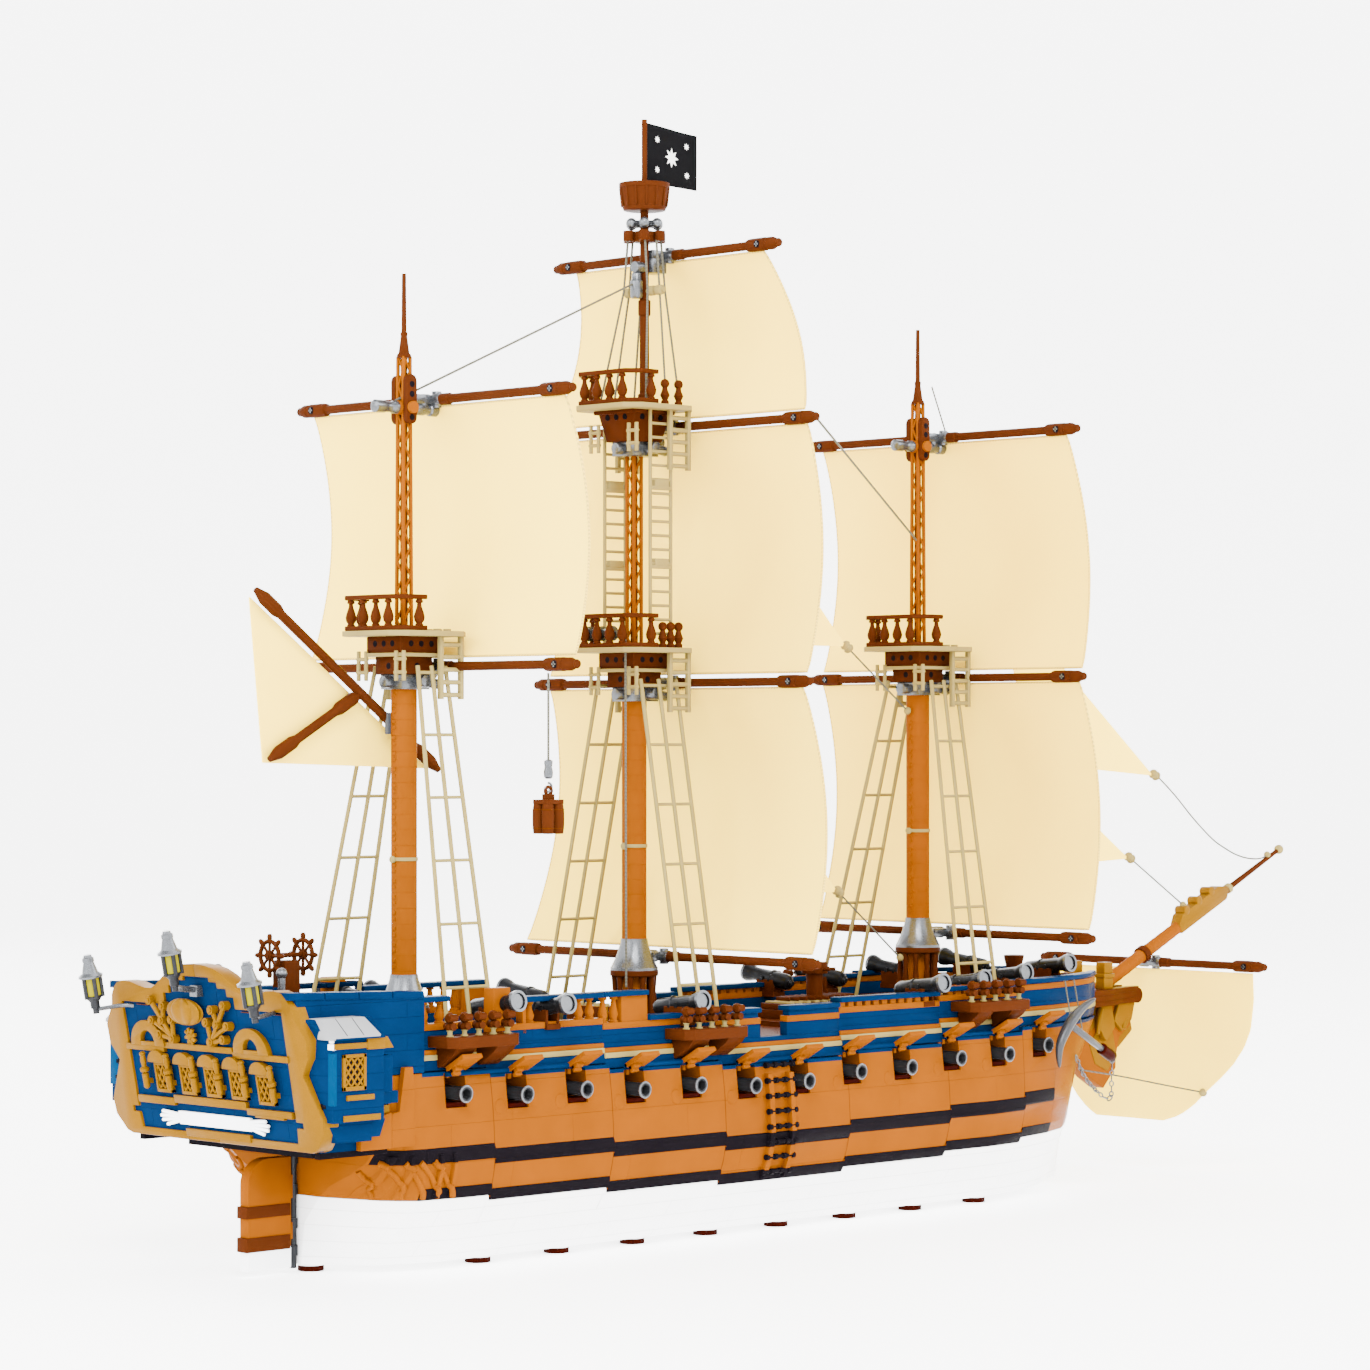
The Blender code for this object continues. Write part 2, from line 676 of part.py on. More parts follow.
def build_mizzen_mast(material):
    """The mizzen mast with its top."""
    shapes = lower_mast(MIZZEN, 0.1362, 0.172, 0.350)
    shapes += mast_top(MIZZEN, 0.341, 0.376)
    shapes += topmast(MIZZEN, 0.374, 0.545, 11 * MM, 7 * MM)
    return finish(fuse(*shapes), "mast_mizzen", material)


def build_fore_mast(material):
    """The fore mast with its top."""
    shapes = lower_mast(FORE, 0.1331, 0.192, 0.350)
    shapes += mast_top(FORE, 0.345, 0.375)
    shapes += topmast(FORE, 0.374, 0.544, 11 * MM, 7 * MM)
    return finish(fuse(*shapes), "mast_fore", material)


def mast_ladders(station, low, high):
    """The upright ladders on both sides between two tops."""
    shapes = []
    for side, _ in SIDES:
        breadth = side * 21 * MM
        for edge in (-6.0, 12.0):
            shapes.append(disc(station + edge * MM, breadth, low, high, 1.2 * MM, sides=6))
        for k in range(1, 11):
            height = low + (high - low) * k / 11
            aft = place(station - 6 * MM, breadth, height)
            shapes.append(rod(aft, place(station + 12 * MM, breadth, height), 0.9 * MM, sides=5))
    return shapes


def build_main_mast(material):
    """The main mast with its two tops, the ladders, the crow's nest and the flag pole."""
    shapes = lower_mast(MAIN, 0.1298, 0.187, 0.350)
    shapes += mast_top(MAIN, 0.339, 0.371)
    shapes.append(disc(MAIN, 0.0, 0.369, 0.510, 6.4 * MM))
    shapes += mast_top(MAIN, 0.503, 0.526)
    shapes += mast_ladders(MAIN, 0.3700, 0.5235)
    pole = MAIN + 9 * MM
    shapes.append(disc(pole, 0.0, 0.524, 0.653, 3.2 * MM, sides=10))
    shapes.append(disc(pole, 0.0, 0.651, 0.669, 14 * MM, 16.5 * MM, sides=20))
    shapes.append(disc(pole, 0.0, 0.667, 0.710, 1.9 * MM, sides=8))
    body = fuse(*shapes)
    well = disc(pole, 0.0, 0.656, 0.670, 12 * MM, 14 * MM, sides=20)
    well = cut(well, disc(pole, 0.0, 0.65, 0.68, 1.9 * MM, sides=8))
    return finish(cut(body, well), "mast_main", material)


def yard_shapes(station, height, half, inner, radius=3.2 * MM):
    """A square yard with thick ends and the truss that reaches back to its mast."""
    port = place(station, half, height)
    starboard = place(station, -half, height)
    shapes = [rod(starboard, port, radius, sides=8)]
    for side, _ in SIDES:
        tip = place(station, side * half, height)
        grip = place(station, side * (half - 26 * MM), height)
        shapes.append(rod(grip, tip + Vector((0.0, -side * 6 * MM, 0.0)), 4.4 * MM, sides=8))
    truss = block((inner, station), (-6 * MM, 6 * MM), (height - 3 * MM, height + 3 * MM))
    shapes.append(truss)
    return shapes


YARDS = (
    ("yard_mizzen_topsail", 22.0, 520.0, 127.5, 4.2),
    ("yard_mizzen_crossjack", 23.0, 358.0, 130.0, 17.3),
    ("yard_main_royal", 219.0, 624.0, 103.5, 204.6),
    ("yard_main_topsail", 223.0, 514.0, 132.0, 209.4),
    ("yard_main_course", 223.0, 350.0, 127.0, 209.4),
    ("yard_main_boom", 214.0, 175.0, 142.0, 205.8),
    ("yard_fore_topsail", 481.0, 521.0, 125.5, 464.2),
    ("yard_fore_course", 487.0, 356.0, 126.0, 477.4),
    ("yard_fore_boom", 488.0, 181.0, 133.0, 473.6),
    ("yard_spritsail", 712.0, 152.0, 104.0, 709.5),
)


def bowsprit_height(station):
    """The height of the bowsprit's axis at a station."""
    return BOWSPRIT_FOOT[1] + BOWSPRIT_RISE * (station - BOWSPRIT_FOOT[0])


def bowsprit_point(station):
    """A point on the bowsprit's axis."""
    return place(station, 0.0, bowsprit_height(station))


def build_bowsprit(material):
    """The bowsprit, its cap, the thin jib boom and the ball at its tip."""
    shapes = [
        rod(bowsprit_point(BOWSPRIT_FOOT[0] + 3 * MM), bowsprit_point(0.748), 5.4 * MM, 4.6 * MM, 12),
        rod(bowsprit_point(0.742), bowsprit_point(0.866), 2.6 * MM, 1.6 * MM, 10),
        ball(bowsprit_point(0.864), 3.6 * MM),
    ]
    rise = math.atan(BOWSPRIT_RISE)
    cap = [(0.738, -4 * MM), (0.798, -4 * MM), (0.802, 4 * MM), (0.790, 9 * MM), (0.744, 9 * MM)]
    plate = side_plate([(s, h + bowsprit_height(0.770)) for s, h in cap], (-5 * MM, 5 * MM))
    middle = place(0.770, 0.0, bowsprit_height(0.770))
    turn = Matrix.Translation(middle) @ Matrix.Rotation(-rise, 4, "Y")
    plate.data.transform(turn @ Matrix.Translation(-middle))
    shapes.append(plate)
    return finish(fuse(*shapes), "bowsprit", material)


def build_beakhead(material):
    """The beakhead platform, the knee under it and the figurehead's place."""
    platform = level_plate(
        [(0.6004, -0.030), (0.640, -0.024), (0.672, -0.012), (0.686, -0.010),
         (0.686, 0.010), (0.672, 0.012), (0.640, 0.024), (0.6004, 0.030)],
        (0.127, 0.139),
    )
    knee = side_plate(
        [(0.6004, 0.128), (0.684, 0.128), (0.680, 0.108), (0.668, 0.096), (0.664, 0.078),
         (0.650, 0.064), (0.636, 0.072), (0.620, 0.086), (0.6004, 0.092)],
        (-7 * MM, 7 * MM),
    )
    bitts = [
        block((0.652, 0.662), sorted((side * 10 * MM, side * 18 * MM)), (0.138, 0.158))
        for side, _ in SIDES
    ]
    body = fuse(platform, knee, *bitts)
    groove = rod(bowsprit_point(0.59), bowsprit_point(0.75), 5.9 * MM, sides=12)
    over = side_plate(
        [(0.59, bowsprit_height(0.59)), (0.70, bowsprit_height(0.70)), (0.70, 0.2), (0.59, 0.2)],
        (-5.9 * MM, 5.9 * MM),
    )
    return finish(cut(body, groove, over), "beakhead", material)


def wire(points, radius, sides=2):
    """A bent round wire through world points."""
    curve = bpy.data.curves.new("wire", "CURVE")
    curve.dimensions = "3D"
    curve.bevel_depth = radius
    curve.bevel_resolution = sides
    curve.use_fill_caps = True
    spline = curve.splines.new("POLY")
    spline.points.add(len(points) - 1)
    for point, position in zip(spline.points, points):
        point.co = (*position, 1.0)
    source = bpy.data.objects.new("wire", curve)
    COLLECTION.objects.link(source)
    bpy.context.view_layer.update()
    return realised(source)


def build_anchor(side, label, material):
    """An anchor with its stock, and the chain that ends on the hull side."""
    crown = place(0.513, side * 0.0905, 0.121)
    ring = place(0.583, side * 0.070, 0.094)
    arms = [
        place(0.502, side * 0.090, 0.096), place(0.504, side * 0.0905, 0.108),
        crown, place(0.524, side * 0.0905, 0.131), place(0.537, side * 0.090, 0.136),
    ]
    chain = [
        ring, place(0.592, side * 0.062, 0.078), place(0.598, side * 0.056, 0.064),
        place(0.590, side * 0.054, 0.066), place(0.568, side * 0.058, 0.080),
        place(0.551, side * 0.0645, 0.095),
    ]
    shapes = [rod(crown, ring, 2.6 * MM, sides=8), wire(arms, 2.2 * MM, 1), wire(chain, 1.3 * MM, 1)]
    shapes.append(rod(crown + (ring - crown) * 0.78, ring, 4.0 * MM, sides=10))
    return finish(fuse(*shapes), f"anchor_{label}", material)


def curved_sheet(corners, belly, thickness=1.2 * MM, across=6, down=5):
    """A sheet over four corners that swells along +X, with Solidify giving its wall."""
    top_left, top_right, low_right, low_left = corners
    shape = bmesh.new()
    rows = []
    for j in range(down + 1):
        v = j / down
        row = []
        for i in range(across + 1):
            u = i / across
            top = top_left.lerp(top_right, u)
            low = low_left.lerp(low_right, u)
            point = top.lerp(low, v)
            swell = belly * math.sin(math.pi * v) ** 0.8 * (0.55 + 0.45 * math.sin(math.pi * u))
            row.append(shape.verts.new(point + Vector((swell, 0.0, 0.0))))
        rows.append(row)
    for upper, lower in zip(rows, rows[1:]):
        for i in range(across):
            shape.faces.new((upper[i], upper[i + 1], lower[i + 1], lower[i]))
    sheet = from_bmesh(shape)
    wall = sheet.modifiers.new("wall", "SOLIDIFY")
    wall.thickness = thickness
    wall.offset = 0.0
    return realised(sheet)


SQUARE_SAILS = (
    ("sail_mizzen_topsail", 25.4, 516.15, 116.0, 28.2, 364.0, 122.0, 26.0),
    ("sail_main_royal", 222.4, 620.15, 86.0, 228.2, 520.0, 116.0, 22.0),
    ("sail_main_topsail", 226.4, 510.15, 120.0, 228.2, 356.0, 118.0, 24.0),
    ("sail_main_course", 226.4, 346.15, 116.0, 219.2, 181.0, 131.0, 30.0),
    ("sail_fore_topsail", 484.4, 517.15, 112.0, 492.2, 362.0, 119.0, 26.0),
    ("sail_fore_course", 490.4, 352.15, 118.0, 493.2, 187.0, 124.0, 28.0),
)


def build_square_sail(name, station, top, half_top, low_station, low, half_low, belly, material):
    """A square sail from just under one yard to just over the next."""
    corners = (
        place(station * MM, -half_top * MM, top * MM),
        place(station * MM, half_top * MM, top * MM),
        place(low_station * MM, half_low * MM, low * MM),
        place(low_station * MM, -half_low * MM, low * MM),
    )
    return finish(curved_sheet(corners, belly * MM), name, material)


def build_spritsail(material):
    """The sail under the spritsail yard, with its corners cut off low down."""
    top = 0.1472
    outline = [
        (-0.094, top), (0.094, top), (0.092, 0.104), (0.070, 0.074), (0.030, 0.052),
        (-0.030, 0.052), (-0.070, 0.074), (-0.092, 0.104),
    ]
    sheet = cross_plate(outline, 0.7130, 1.2 * MM)
    return finish(sheet, "sail_spritsail", material)


def thin_triangle(points, thickness=1.2 * MM):
    """A flat three-cornered sheet in the fore-and-aft plane."""
    return side_plate(points, (-thickness / 2, thickness / 2))


def build_lateen(spar_material, sail_material):
    """The crossed lateen spars beside the mizzen mast, and their sail."""
    breadth = 12.0 * MM
    peak = place(-0.104, breadth, 0.402)
    tack = place(0.038, breadth, 0.295)
    heel = place(-0.0225, breadth + 0.9 * MM, 0.3422)
    clew = place(-0.093, breadth + 0.9 * MM, 0.302)
    shapes = [rod(peak, tack, 3.0 * MM, sides=10), rod(heel, clew, 2.7 * MM, sides=9)]
    for tip, other in ((peak, tack), (tack, peak), (clew, heel)):
        inward = (other - tip).normalized()
        shapes.append(rod(tip + inward * 6 * MM, tip + inward * 24 * MM, 4.2 * MM, sides=10))
    saddle = block((-6 * MM, 6 * MM), (8.3 * MM, 11 * MM), (0.317, 0.330))
    shapes.append(saddle)
    finish(fuse(*shapes), "lateen_spars", spar_material)
    sheet = side_plate([(-0.104, 0.398), (-0.094, 0.300), (0.034, 0.296)], (17.6 * MM, 18.8 * MM))
    finish(sheet, "sail_lateen", sail_material)


STAYSAILS = (
    ("staysail_main_upper", ((262.0, 505.0), (262.0, 376.0), (388.0, 376.4)),
     (227.3, 513.2), ((389.5, 376.0), (451.5, 332.0))),
    ("staysail_main_lower", ((264.0, 334.0), (264.0, 211.0), (380.0, 211.6)),
     (227.3, 349.6), ((381.0, 211.6), (443.9, 163.8))),
    ("staysail_fore_upper", ((536.0, 424.0), (585.0, 297.0), (714.0, 287.4)),
     (474.3, 556.0), ((716.0, 288.0), (722.0, 285.1), (739.8, 272.7), (761.3, 255.5), (783.0, 240.5),
                      (797.6, 233.4), (812.3, 227.9), (827.1, 224.9), (842.0, 224.6), (852.0, 228.0))),
    ("staysail_fore_lower", ((590.0, 290.0), (548.0, 222.0), (686.0, 227.6)),
     (491.2, 354.4), ((687.5, 228.2), (751.0, 191.1))),
)


def build_staysail(name, corners, seat, line, material):
    """A three-cornered sail with its stay, the bead at its tip and the line forward of that."""
    corners = [(s * MM, h * MM) for s, h in corners]
    line = [place(s * MM, 0.0, h * MM) for s, h in line]
    head = place(corners[0][0] + 0.3 * MM, 0.0, corners[0][1] - 2.0 * MM)
    shapes = [thin_triangle(corners), rod(place(seat[0] * MM, 0.0, seat[1] * MM), head, 0.7 * MM, sides=6)]
    shapes.append(ball(line[0], 4.0 * MM))
    shapes.append(wire(line, 0.7 * MM, 1))
    return finish(fuse(*shapes), name, material)


SHROUD_SETS = (
    ("mizzen", (-22.0, 15.0), (-6.0, 16.0), 358.0),
    ("main", (173.0, 204.0), (179.0, 210.0), 352.0),
    ("fore", (431.0, 468.0), (452.0, 477.0), 354.0),
)


def build_shrouds(side, label, entry, material):
    """One side's shrouds from the deck inside the bulwark up to the mast's top."""
    name, feet_span, head_span, head = entry
    lines = []
    for share in (0.0, 0.5, 1.0):
        station = (feet_span[0] + share * (feet_span[1] - feet_span[0])) * MM
        above = (head_span[0] + share * (head_span[1] - head_span[0])) * MM
        foot = DECK + max(sheer_at(station - 2 * MM), sheer_at(station + 2 * MM)) + 1 * MM
        lines.append((place(station, side * SHROUD_FOOT, foot), place(above, side * SHROUD_HEAD, head * MM)))
    shapes = [rod(start, end, 1.4 * MM, sides=5) for start, end in lines]
    low = max(start.z for start, _ in lines) + 30 * MM
    rungs = 6
    for k in range(rungs):
        height = low + (head * MM - 4 * MM - low) * k / (rungs - 1)
        ends = []
        for start, end in (lines[0], lines[-1]):
            ends.append(start.lerp(end, (height - start.z) / (end.z - start.z)))
        shapes.append(rod(ends[0], ends[1], 1.0 * MM, sides=4))
    return finish(fuse(*shapes), f"shrouds_{name}_{label}", material)


def build_rudder(material):
    """The rudder on its upright axle, ahead of which the stern post stands."""
    plate = side_plate(
        [(RUDDER_AFT, RUDDER_RANGE[0]), (RUDDER_AXIS, RUDDER_RANGE[0]),
         (RUDDER_AXIS, RUDDER_RANGE[1]), (RUDDER_AFT, RUDDER_RANGE[1])],
        (-4 * MM, 4 * MM),
    )
    axle = disc(RUDDER_AXIS, 0.0, RUDDER_RANGE[0] - 1 * MM, 0.0755, 2.4 * MM, sides=12)
    pivot = place(RUDDER_AXIS, 0.0, RUDDER_RANGE[0])
    return finish(fuse(plate, axle), "rudder", material, pivot)


def wheel_shapes(station):
    """A spoked steering wheel across the ship at a station."""
    hub = place(station, 0.0, HELM_HEIGHT)
    ahead = Vector((1.6 * MM, 0.0, 0.0))
    shape = bmesh.new()
    bmesh.ops.create_cone(shape, cap_ends=True, segments=12, radius1=8 * MM, radius2=8 * MM,
                          depth=2.4 * MM)
    bmesh.ops.rotate(shape, matrix=Matrix.Rotation(math.radians(90.0), 3, "Y"), verts=shape.verts)
    bmesh.ops.translate(shape, vec=hub, verts=shape.verts)
    rim = from_bmesh(shape)
    rim = cut(rim, rod(hub - ahead * 2, hub + ahead * 2, 6 * MM, sides=12))
    shapes = [rim]
    for k in range(4):
        angle = math.pi * k / 4
        reach = Vector((0.0, math.cos(angle), math.sin(angle))) * 11.5 * MM
        shapes.append(rod(hub - reach, hub + reach, 0.9 * MM, sides=4))
    return shapes


def build_helm(material):
    """Two steering wheels on one axle."""
    aft, fwd = HELM_STATIONS
    shapes = [rod(place(aft - 2 * MM, 0.0, HELM_HEIGHT), place(fwd + 2 * MM, 0.0, HELM_HEIGHT),
                  1.6 * MM, sides=12)]
    shapes += wheel_shapes(aft) + wheel_shapes(fwd)
    pivot = place((aft + fwd) / 2, 0.0, HELM_HEIGHT)
    return finish(fuse(*shapes), "helm", material, pivot)


def transom_station(height):
    """The station of the transom's middle plane at a height."""
    return TRANSOM_FOOT[0] - TRANSOM_LEAN * (height - TRANSOM_FOOT[1])


def castle_wall_top(station):
    """The height of the castle's side walls, which rise aft."""
    return 0.1675 + (-0.056 - station) * 0.16


def build_castle(material):
    """The stern castle with its poop deck, helm stand and quarter galleries."""
    shapes = []
    aft = -0.1600
    over_strake = STRAKE_TOP + 9.6 * MM + GAP
    outline = [
        (aft, CASTLE_LOW), (-0.0838, CASTLE_LOW), (-0.0838, over_strake), (-0.0558, over_strake),
        (-0.0558, castle_wall_top(-0.0558)), (aft, castle_wall_top(aft)),
    ]
    body = side_plate(outline, (-84 * MM, 84 * MM))
    well = block((-0.1700, -0.04), (-76 * MM, 76 * MM), (POOP, 0.25))
    shapes.append(cut(body, well))
    shapes.append(block((-0.0965, -0.0845), (-5 * MM, 5 * MM), (POOP - 1 * MM, 0.192)))
    for side, _ in SIDES:
        rooms = (
            ((-0.160, -0.104), (80.0, 104.0), (0.098, 0.146)),
            ((-0.160, -0.108), (80.0, 98.0), (0.086, 0.099)),
            ((-0.104, -0.092), (80.0, 96.0), (0.106, 0.134)),
        )
        for stations, breadths, heights in rooms:
            reach = sorted((side * breadths[0] * MM, side * breadths[1] * MM))
            shapes.append(block((stations[0], stations[1] + 1 * MM), reach, heights))
        panel = [(-0.107, 0.0795), (-0.0842, 0.0795), (-0.0842, 0.100), (-0.107, 0.094)]
        shapes.append(side_plate(panel, sorted((side * 82 * MM, side * 88 * MM))))
        eaves = [(80.0, 0.145), (107.0, 0.145), (94.0, 0.156), (80.0, 0.156)]
        shapes.append(cross_plate([(side * b * MM, h) for b, h in eaves], -0.132, 56 * MM))
    body = fuse(*shapes)
    bore = rod(place(-0.11, 0.0, HELM_HEIGHT), place(-0.07, 0.0, HELM_HEIGHT), 1.9 * MM, sides=12)
    aft_face = side_plate(
        [(transom_station(0.05) + 3.3 * MM, 0.05), (transom_station(0.25) + 3.3 * MM, 0.25),
         (-0.3, 0.25), (-0.3, 0.05)],
        (-0.12, 0.12),
    )
    return finish(cut(body, bore, aft_face), "stern_castle", material)


def transom_outline():
    """The gold frame's outline: breadths and heights of one half, and its mirror."""
    half = [
        (0.0, 188.0), (20.0, 186.0), (36.0, 177.0), (48.0, 171.0), (66.0, 173.0), (84.0, 169.0),
        (91.0, 160.0), (88.0, 142.0), (84.0, 126.0), (86.0, 112.0), (96.0, 100.0), (94.0, 88.0),
        (84.0, 80.0),
    ]
    right = [(b * MM, h * MM) for b, h in half]
    left = [(-b, h) for b, h in right[:0:-1]]
    return right + left


LANTERN_STATION = -169.0 * MM
LANTERNS = ((0.0, 172.0, 202.0), (-74.0, 158.0, 189.0), (74.0, 158.0, 189.0))


def build_transom(material):
    """The leaning transom frame and the three lanterns on their arms."""
    plate = cross_plate(transom_outline(), 0.0, 6 * MM)
    shear = Matrix.Identity(4)
    shear[0][2] = -TRANSOM_LEAN
    seat = place(TRANSOM_FOOT[0], 0.0, TRANSOM_FOOT[1])
    plate.data.transform(Matrix.Translation(seat) @ shear
                         @ Matrix.Translation(-place(0.0, 0.0, TRANSOM_FOOT[1])))
    shapes = [plate]
    for breadth, low, high in LANTERNS:
        centre = place(LANTERN_STATION, breadth * MM, low * MM)
        shapes.append(disc(LANTERN_STATION, breadth * MM, low * MM, high * MM, 4.6 * MM, sides=12))
        root = place(transom_station(low * MM), breadth * MM, low * MM)
        shapes.append(rod(root, centre + Vector((0.0, 0.0, 1.5 * MM)), 1.8 * MM, sides=8))
    return finish(fuse(*shapes), "transom_frame", material)


def build_flag(material):
    """The flag, hanging just forward of its pole."""
    pole = MAIN + 9 * MM
    sheet = side_plate(
        [(pole + 2.3 * MM, 0.708), (pole + 46 * MM, 0.704), (pole + 46 * MM, 0.668),
         (pole + 17.0 * MM, 0.6705), (pole + 2.3 * MM, 0.6705)],
        (-0.8 * MM, 0.8 * MM),
    )
    return finish(sheet, "flag", material)


HOIST_EYE = 353.0 * MM


def build_hoist(material):
    """The cargo hook and the bundle of casks that hang from the crossjack yard."""
    breadth = -104 * MM
    station = 23.0 * MM
    pivot = place(station, breadth, HOIST_EYE)
    shapes = [
        rod(place(station, breadth, 0.298), pivot, 0.9 * MM, sides=6),
        disc(station, breadth, 0.289, 0.300, 2.8 * MM, sides=8),
        disc(station, breadth, 0.281, 0.290, 1.6 * MM, sides=8),
        block((station - 7 * MM, station + 7 * MM), (breadth - 7 * MM, breadth + 7 * MM), (0.258, 0.283)),
    ]
    return finish(fuse(*shapes), "cargo_hoist", material, pivot)


def main():
    """Builds every part of the ship."""
    clear_scene()
    white = paint("white_plastic", (0.85, 0.86, 0.87))
    orange = paint("orange_plastic", (0.70, 0.25, 0.02))
    blue = paint("blue_plastic", (0.0, 0.10, 0.27))
    gold = paint("gold_plastic", (0.55, 0.30, 0.03), 0.25, 0.6)
    brown = paint("brown_plastic", (0.17, 0.035, 0.01))
    tan = paint("tan_plastic", (0.72, 0.60, 0.38))
    grey = paint("grey_plastic", (0.12, 0.13, 0.14), 0.25, 0.2)
    cloth = paint("cream_cloth", (0.96, 0.88, 0.60), 0.8)
    black = paint("black_cloth", (0.01, 0.01, 0.015), 0.7)

    build_hull_bottom(white)
    build_hull_side(orange)
    build_topside(tan)
    build_bulwark(blue)
    build_castle(blue)
    build_transom(gold)
    build_rudder(orange)
    build_helm(brown)
    build_beakhead(brown)
    build_bowsprit(orange)
    build_mizzen_mast(orange)
    build_main_mast(orange)
    build_fore_mast(orange)
    for side, label in SIDES:
        build_guns(side, f"guns_{label}", grey)
        build_anchor(side, label, grey)
        for number, run in enumerate(LID_RUNS, start=1):
            build_lids(side, label, run, number, orange)
        for entry in SHROUD_SETS:
            build_shrouds(side, label, entry, tan)
    for name, station, height, half, inner in YARDS:
        yard = fuse(*yard_shapes(station * MM, height * MM, half * MM, inner * MM))
        finish(yard, name, brown)
    for entry in SQUARE_SAILS:
        build_square_sail(*entry, cloth)
    build_spritsail(cloth)
    build_lateen(brown, cloth)
    for entry in STAYSAILS:
        build_staysail(*entry, cloth)
    build_flag(black)
    build_hoist(brown)


main()
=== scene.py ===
"""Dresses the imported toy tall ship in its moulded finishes, its cloth and its small fittings.

Places are written as the ship's own millimetres: the station forward of the mizzen
mast, the breadth to starboard, and the height above the shelf.
"""

import logging
import math
from collections.abc import Callable, Iterable, Sequence
from dataclasses import dataclass
from enum import Enum
from typing import Any

import bmesh
import bpy
from mathutils import Matrix, Vector


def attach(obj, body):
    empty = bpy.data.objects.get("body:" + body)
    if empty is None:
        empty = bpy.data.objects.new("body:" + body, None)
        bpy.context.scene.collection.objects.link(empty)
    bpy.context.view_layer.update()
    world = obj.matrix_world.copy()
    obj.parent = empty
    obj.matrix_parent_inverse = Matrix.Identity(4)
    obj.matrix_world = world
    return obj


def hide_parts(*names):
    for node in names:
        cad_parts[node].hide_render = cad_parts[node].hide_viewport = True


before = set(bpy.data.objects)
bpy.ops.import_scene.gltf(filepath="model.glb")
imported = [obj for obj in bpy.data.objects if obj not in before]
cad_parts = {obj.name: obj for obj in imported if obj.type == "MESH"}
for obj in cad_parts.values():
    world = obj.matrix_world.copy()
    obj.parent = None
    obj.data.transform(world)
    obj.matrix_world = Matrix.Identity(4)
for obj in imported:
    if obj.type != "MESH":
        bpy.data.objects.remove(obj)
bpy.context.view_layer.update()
LOG = logging.getLogger("tall_ship")

MM = 0.001
MIDDLE = 347.0
PLATE = 3.2
TAN_EDGE = 117.4
DECK = 126.3

Spot = tuple[float, float, float]
Pair = tuple[float, float]
Colour = tuple[float, float, float]


class Side(Enum):
    """The two sides of the ship, by the sign of their breadths."""

    STARBOARD = 1
    PORT = -1

    @property
    def word(self) -> str:
        """The side's name as the nodes spell it."""
        return self.name.lower()


class Lie(Enum):
    """How a flat outline lies: fore and aft, level, or across the ship."""

    ALONG = "along"
    LEVEL = "level"
    ACROSS = "across"

    def spot(self, first: float, second: float, deep: float) -> Spot:
        """Gives the ship's place of a point of an outline.

        Args:
            first: The outline's first number.
            second: The outline's second number.
            deep: Where the point lies through the thickness.

        Returns:
            The station, breadth and height.
        """
        if self is Lie.ALONG:
            return (first, deep, second)
        if self is Lie.LEVEL:
            return (first, second, deep)
        return (deep, first, second)


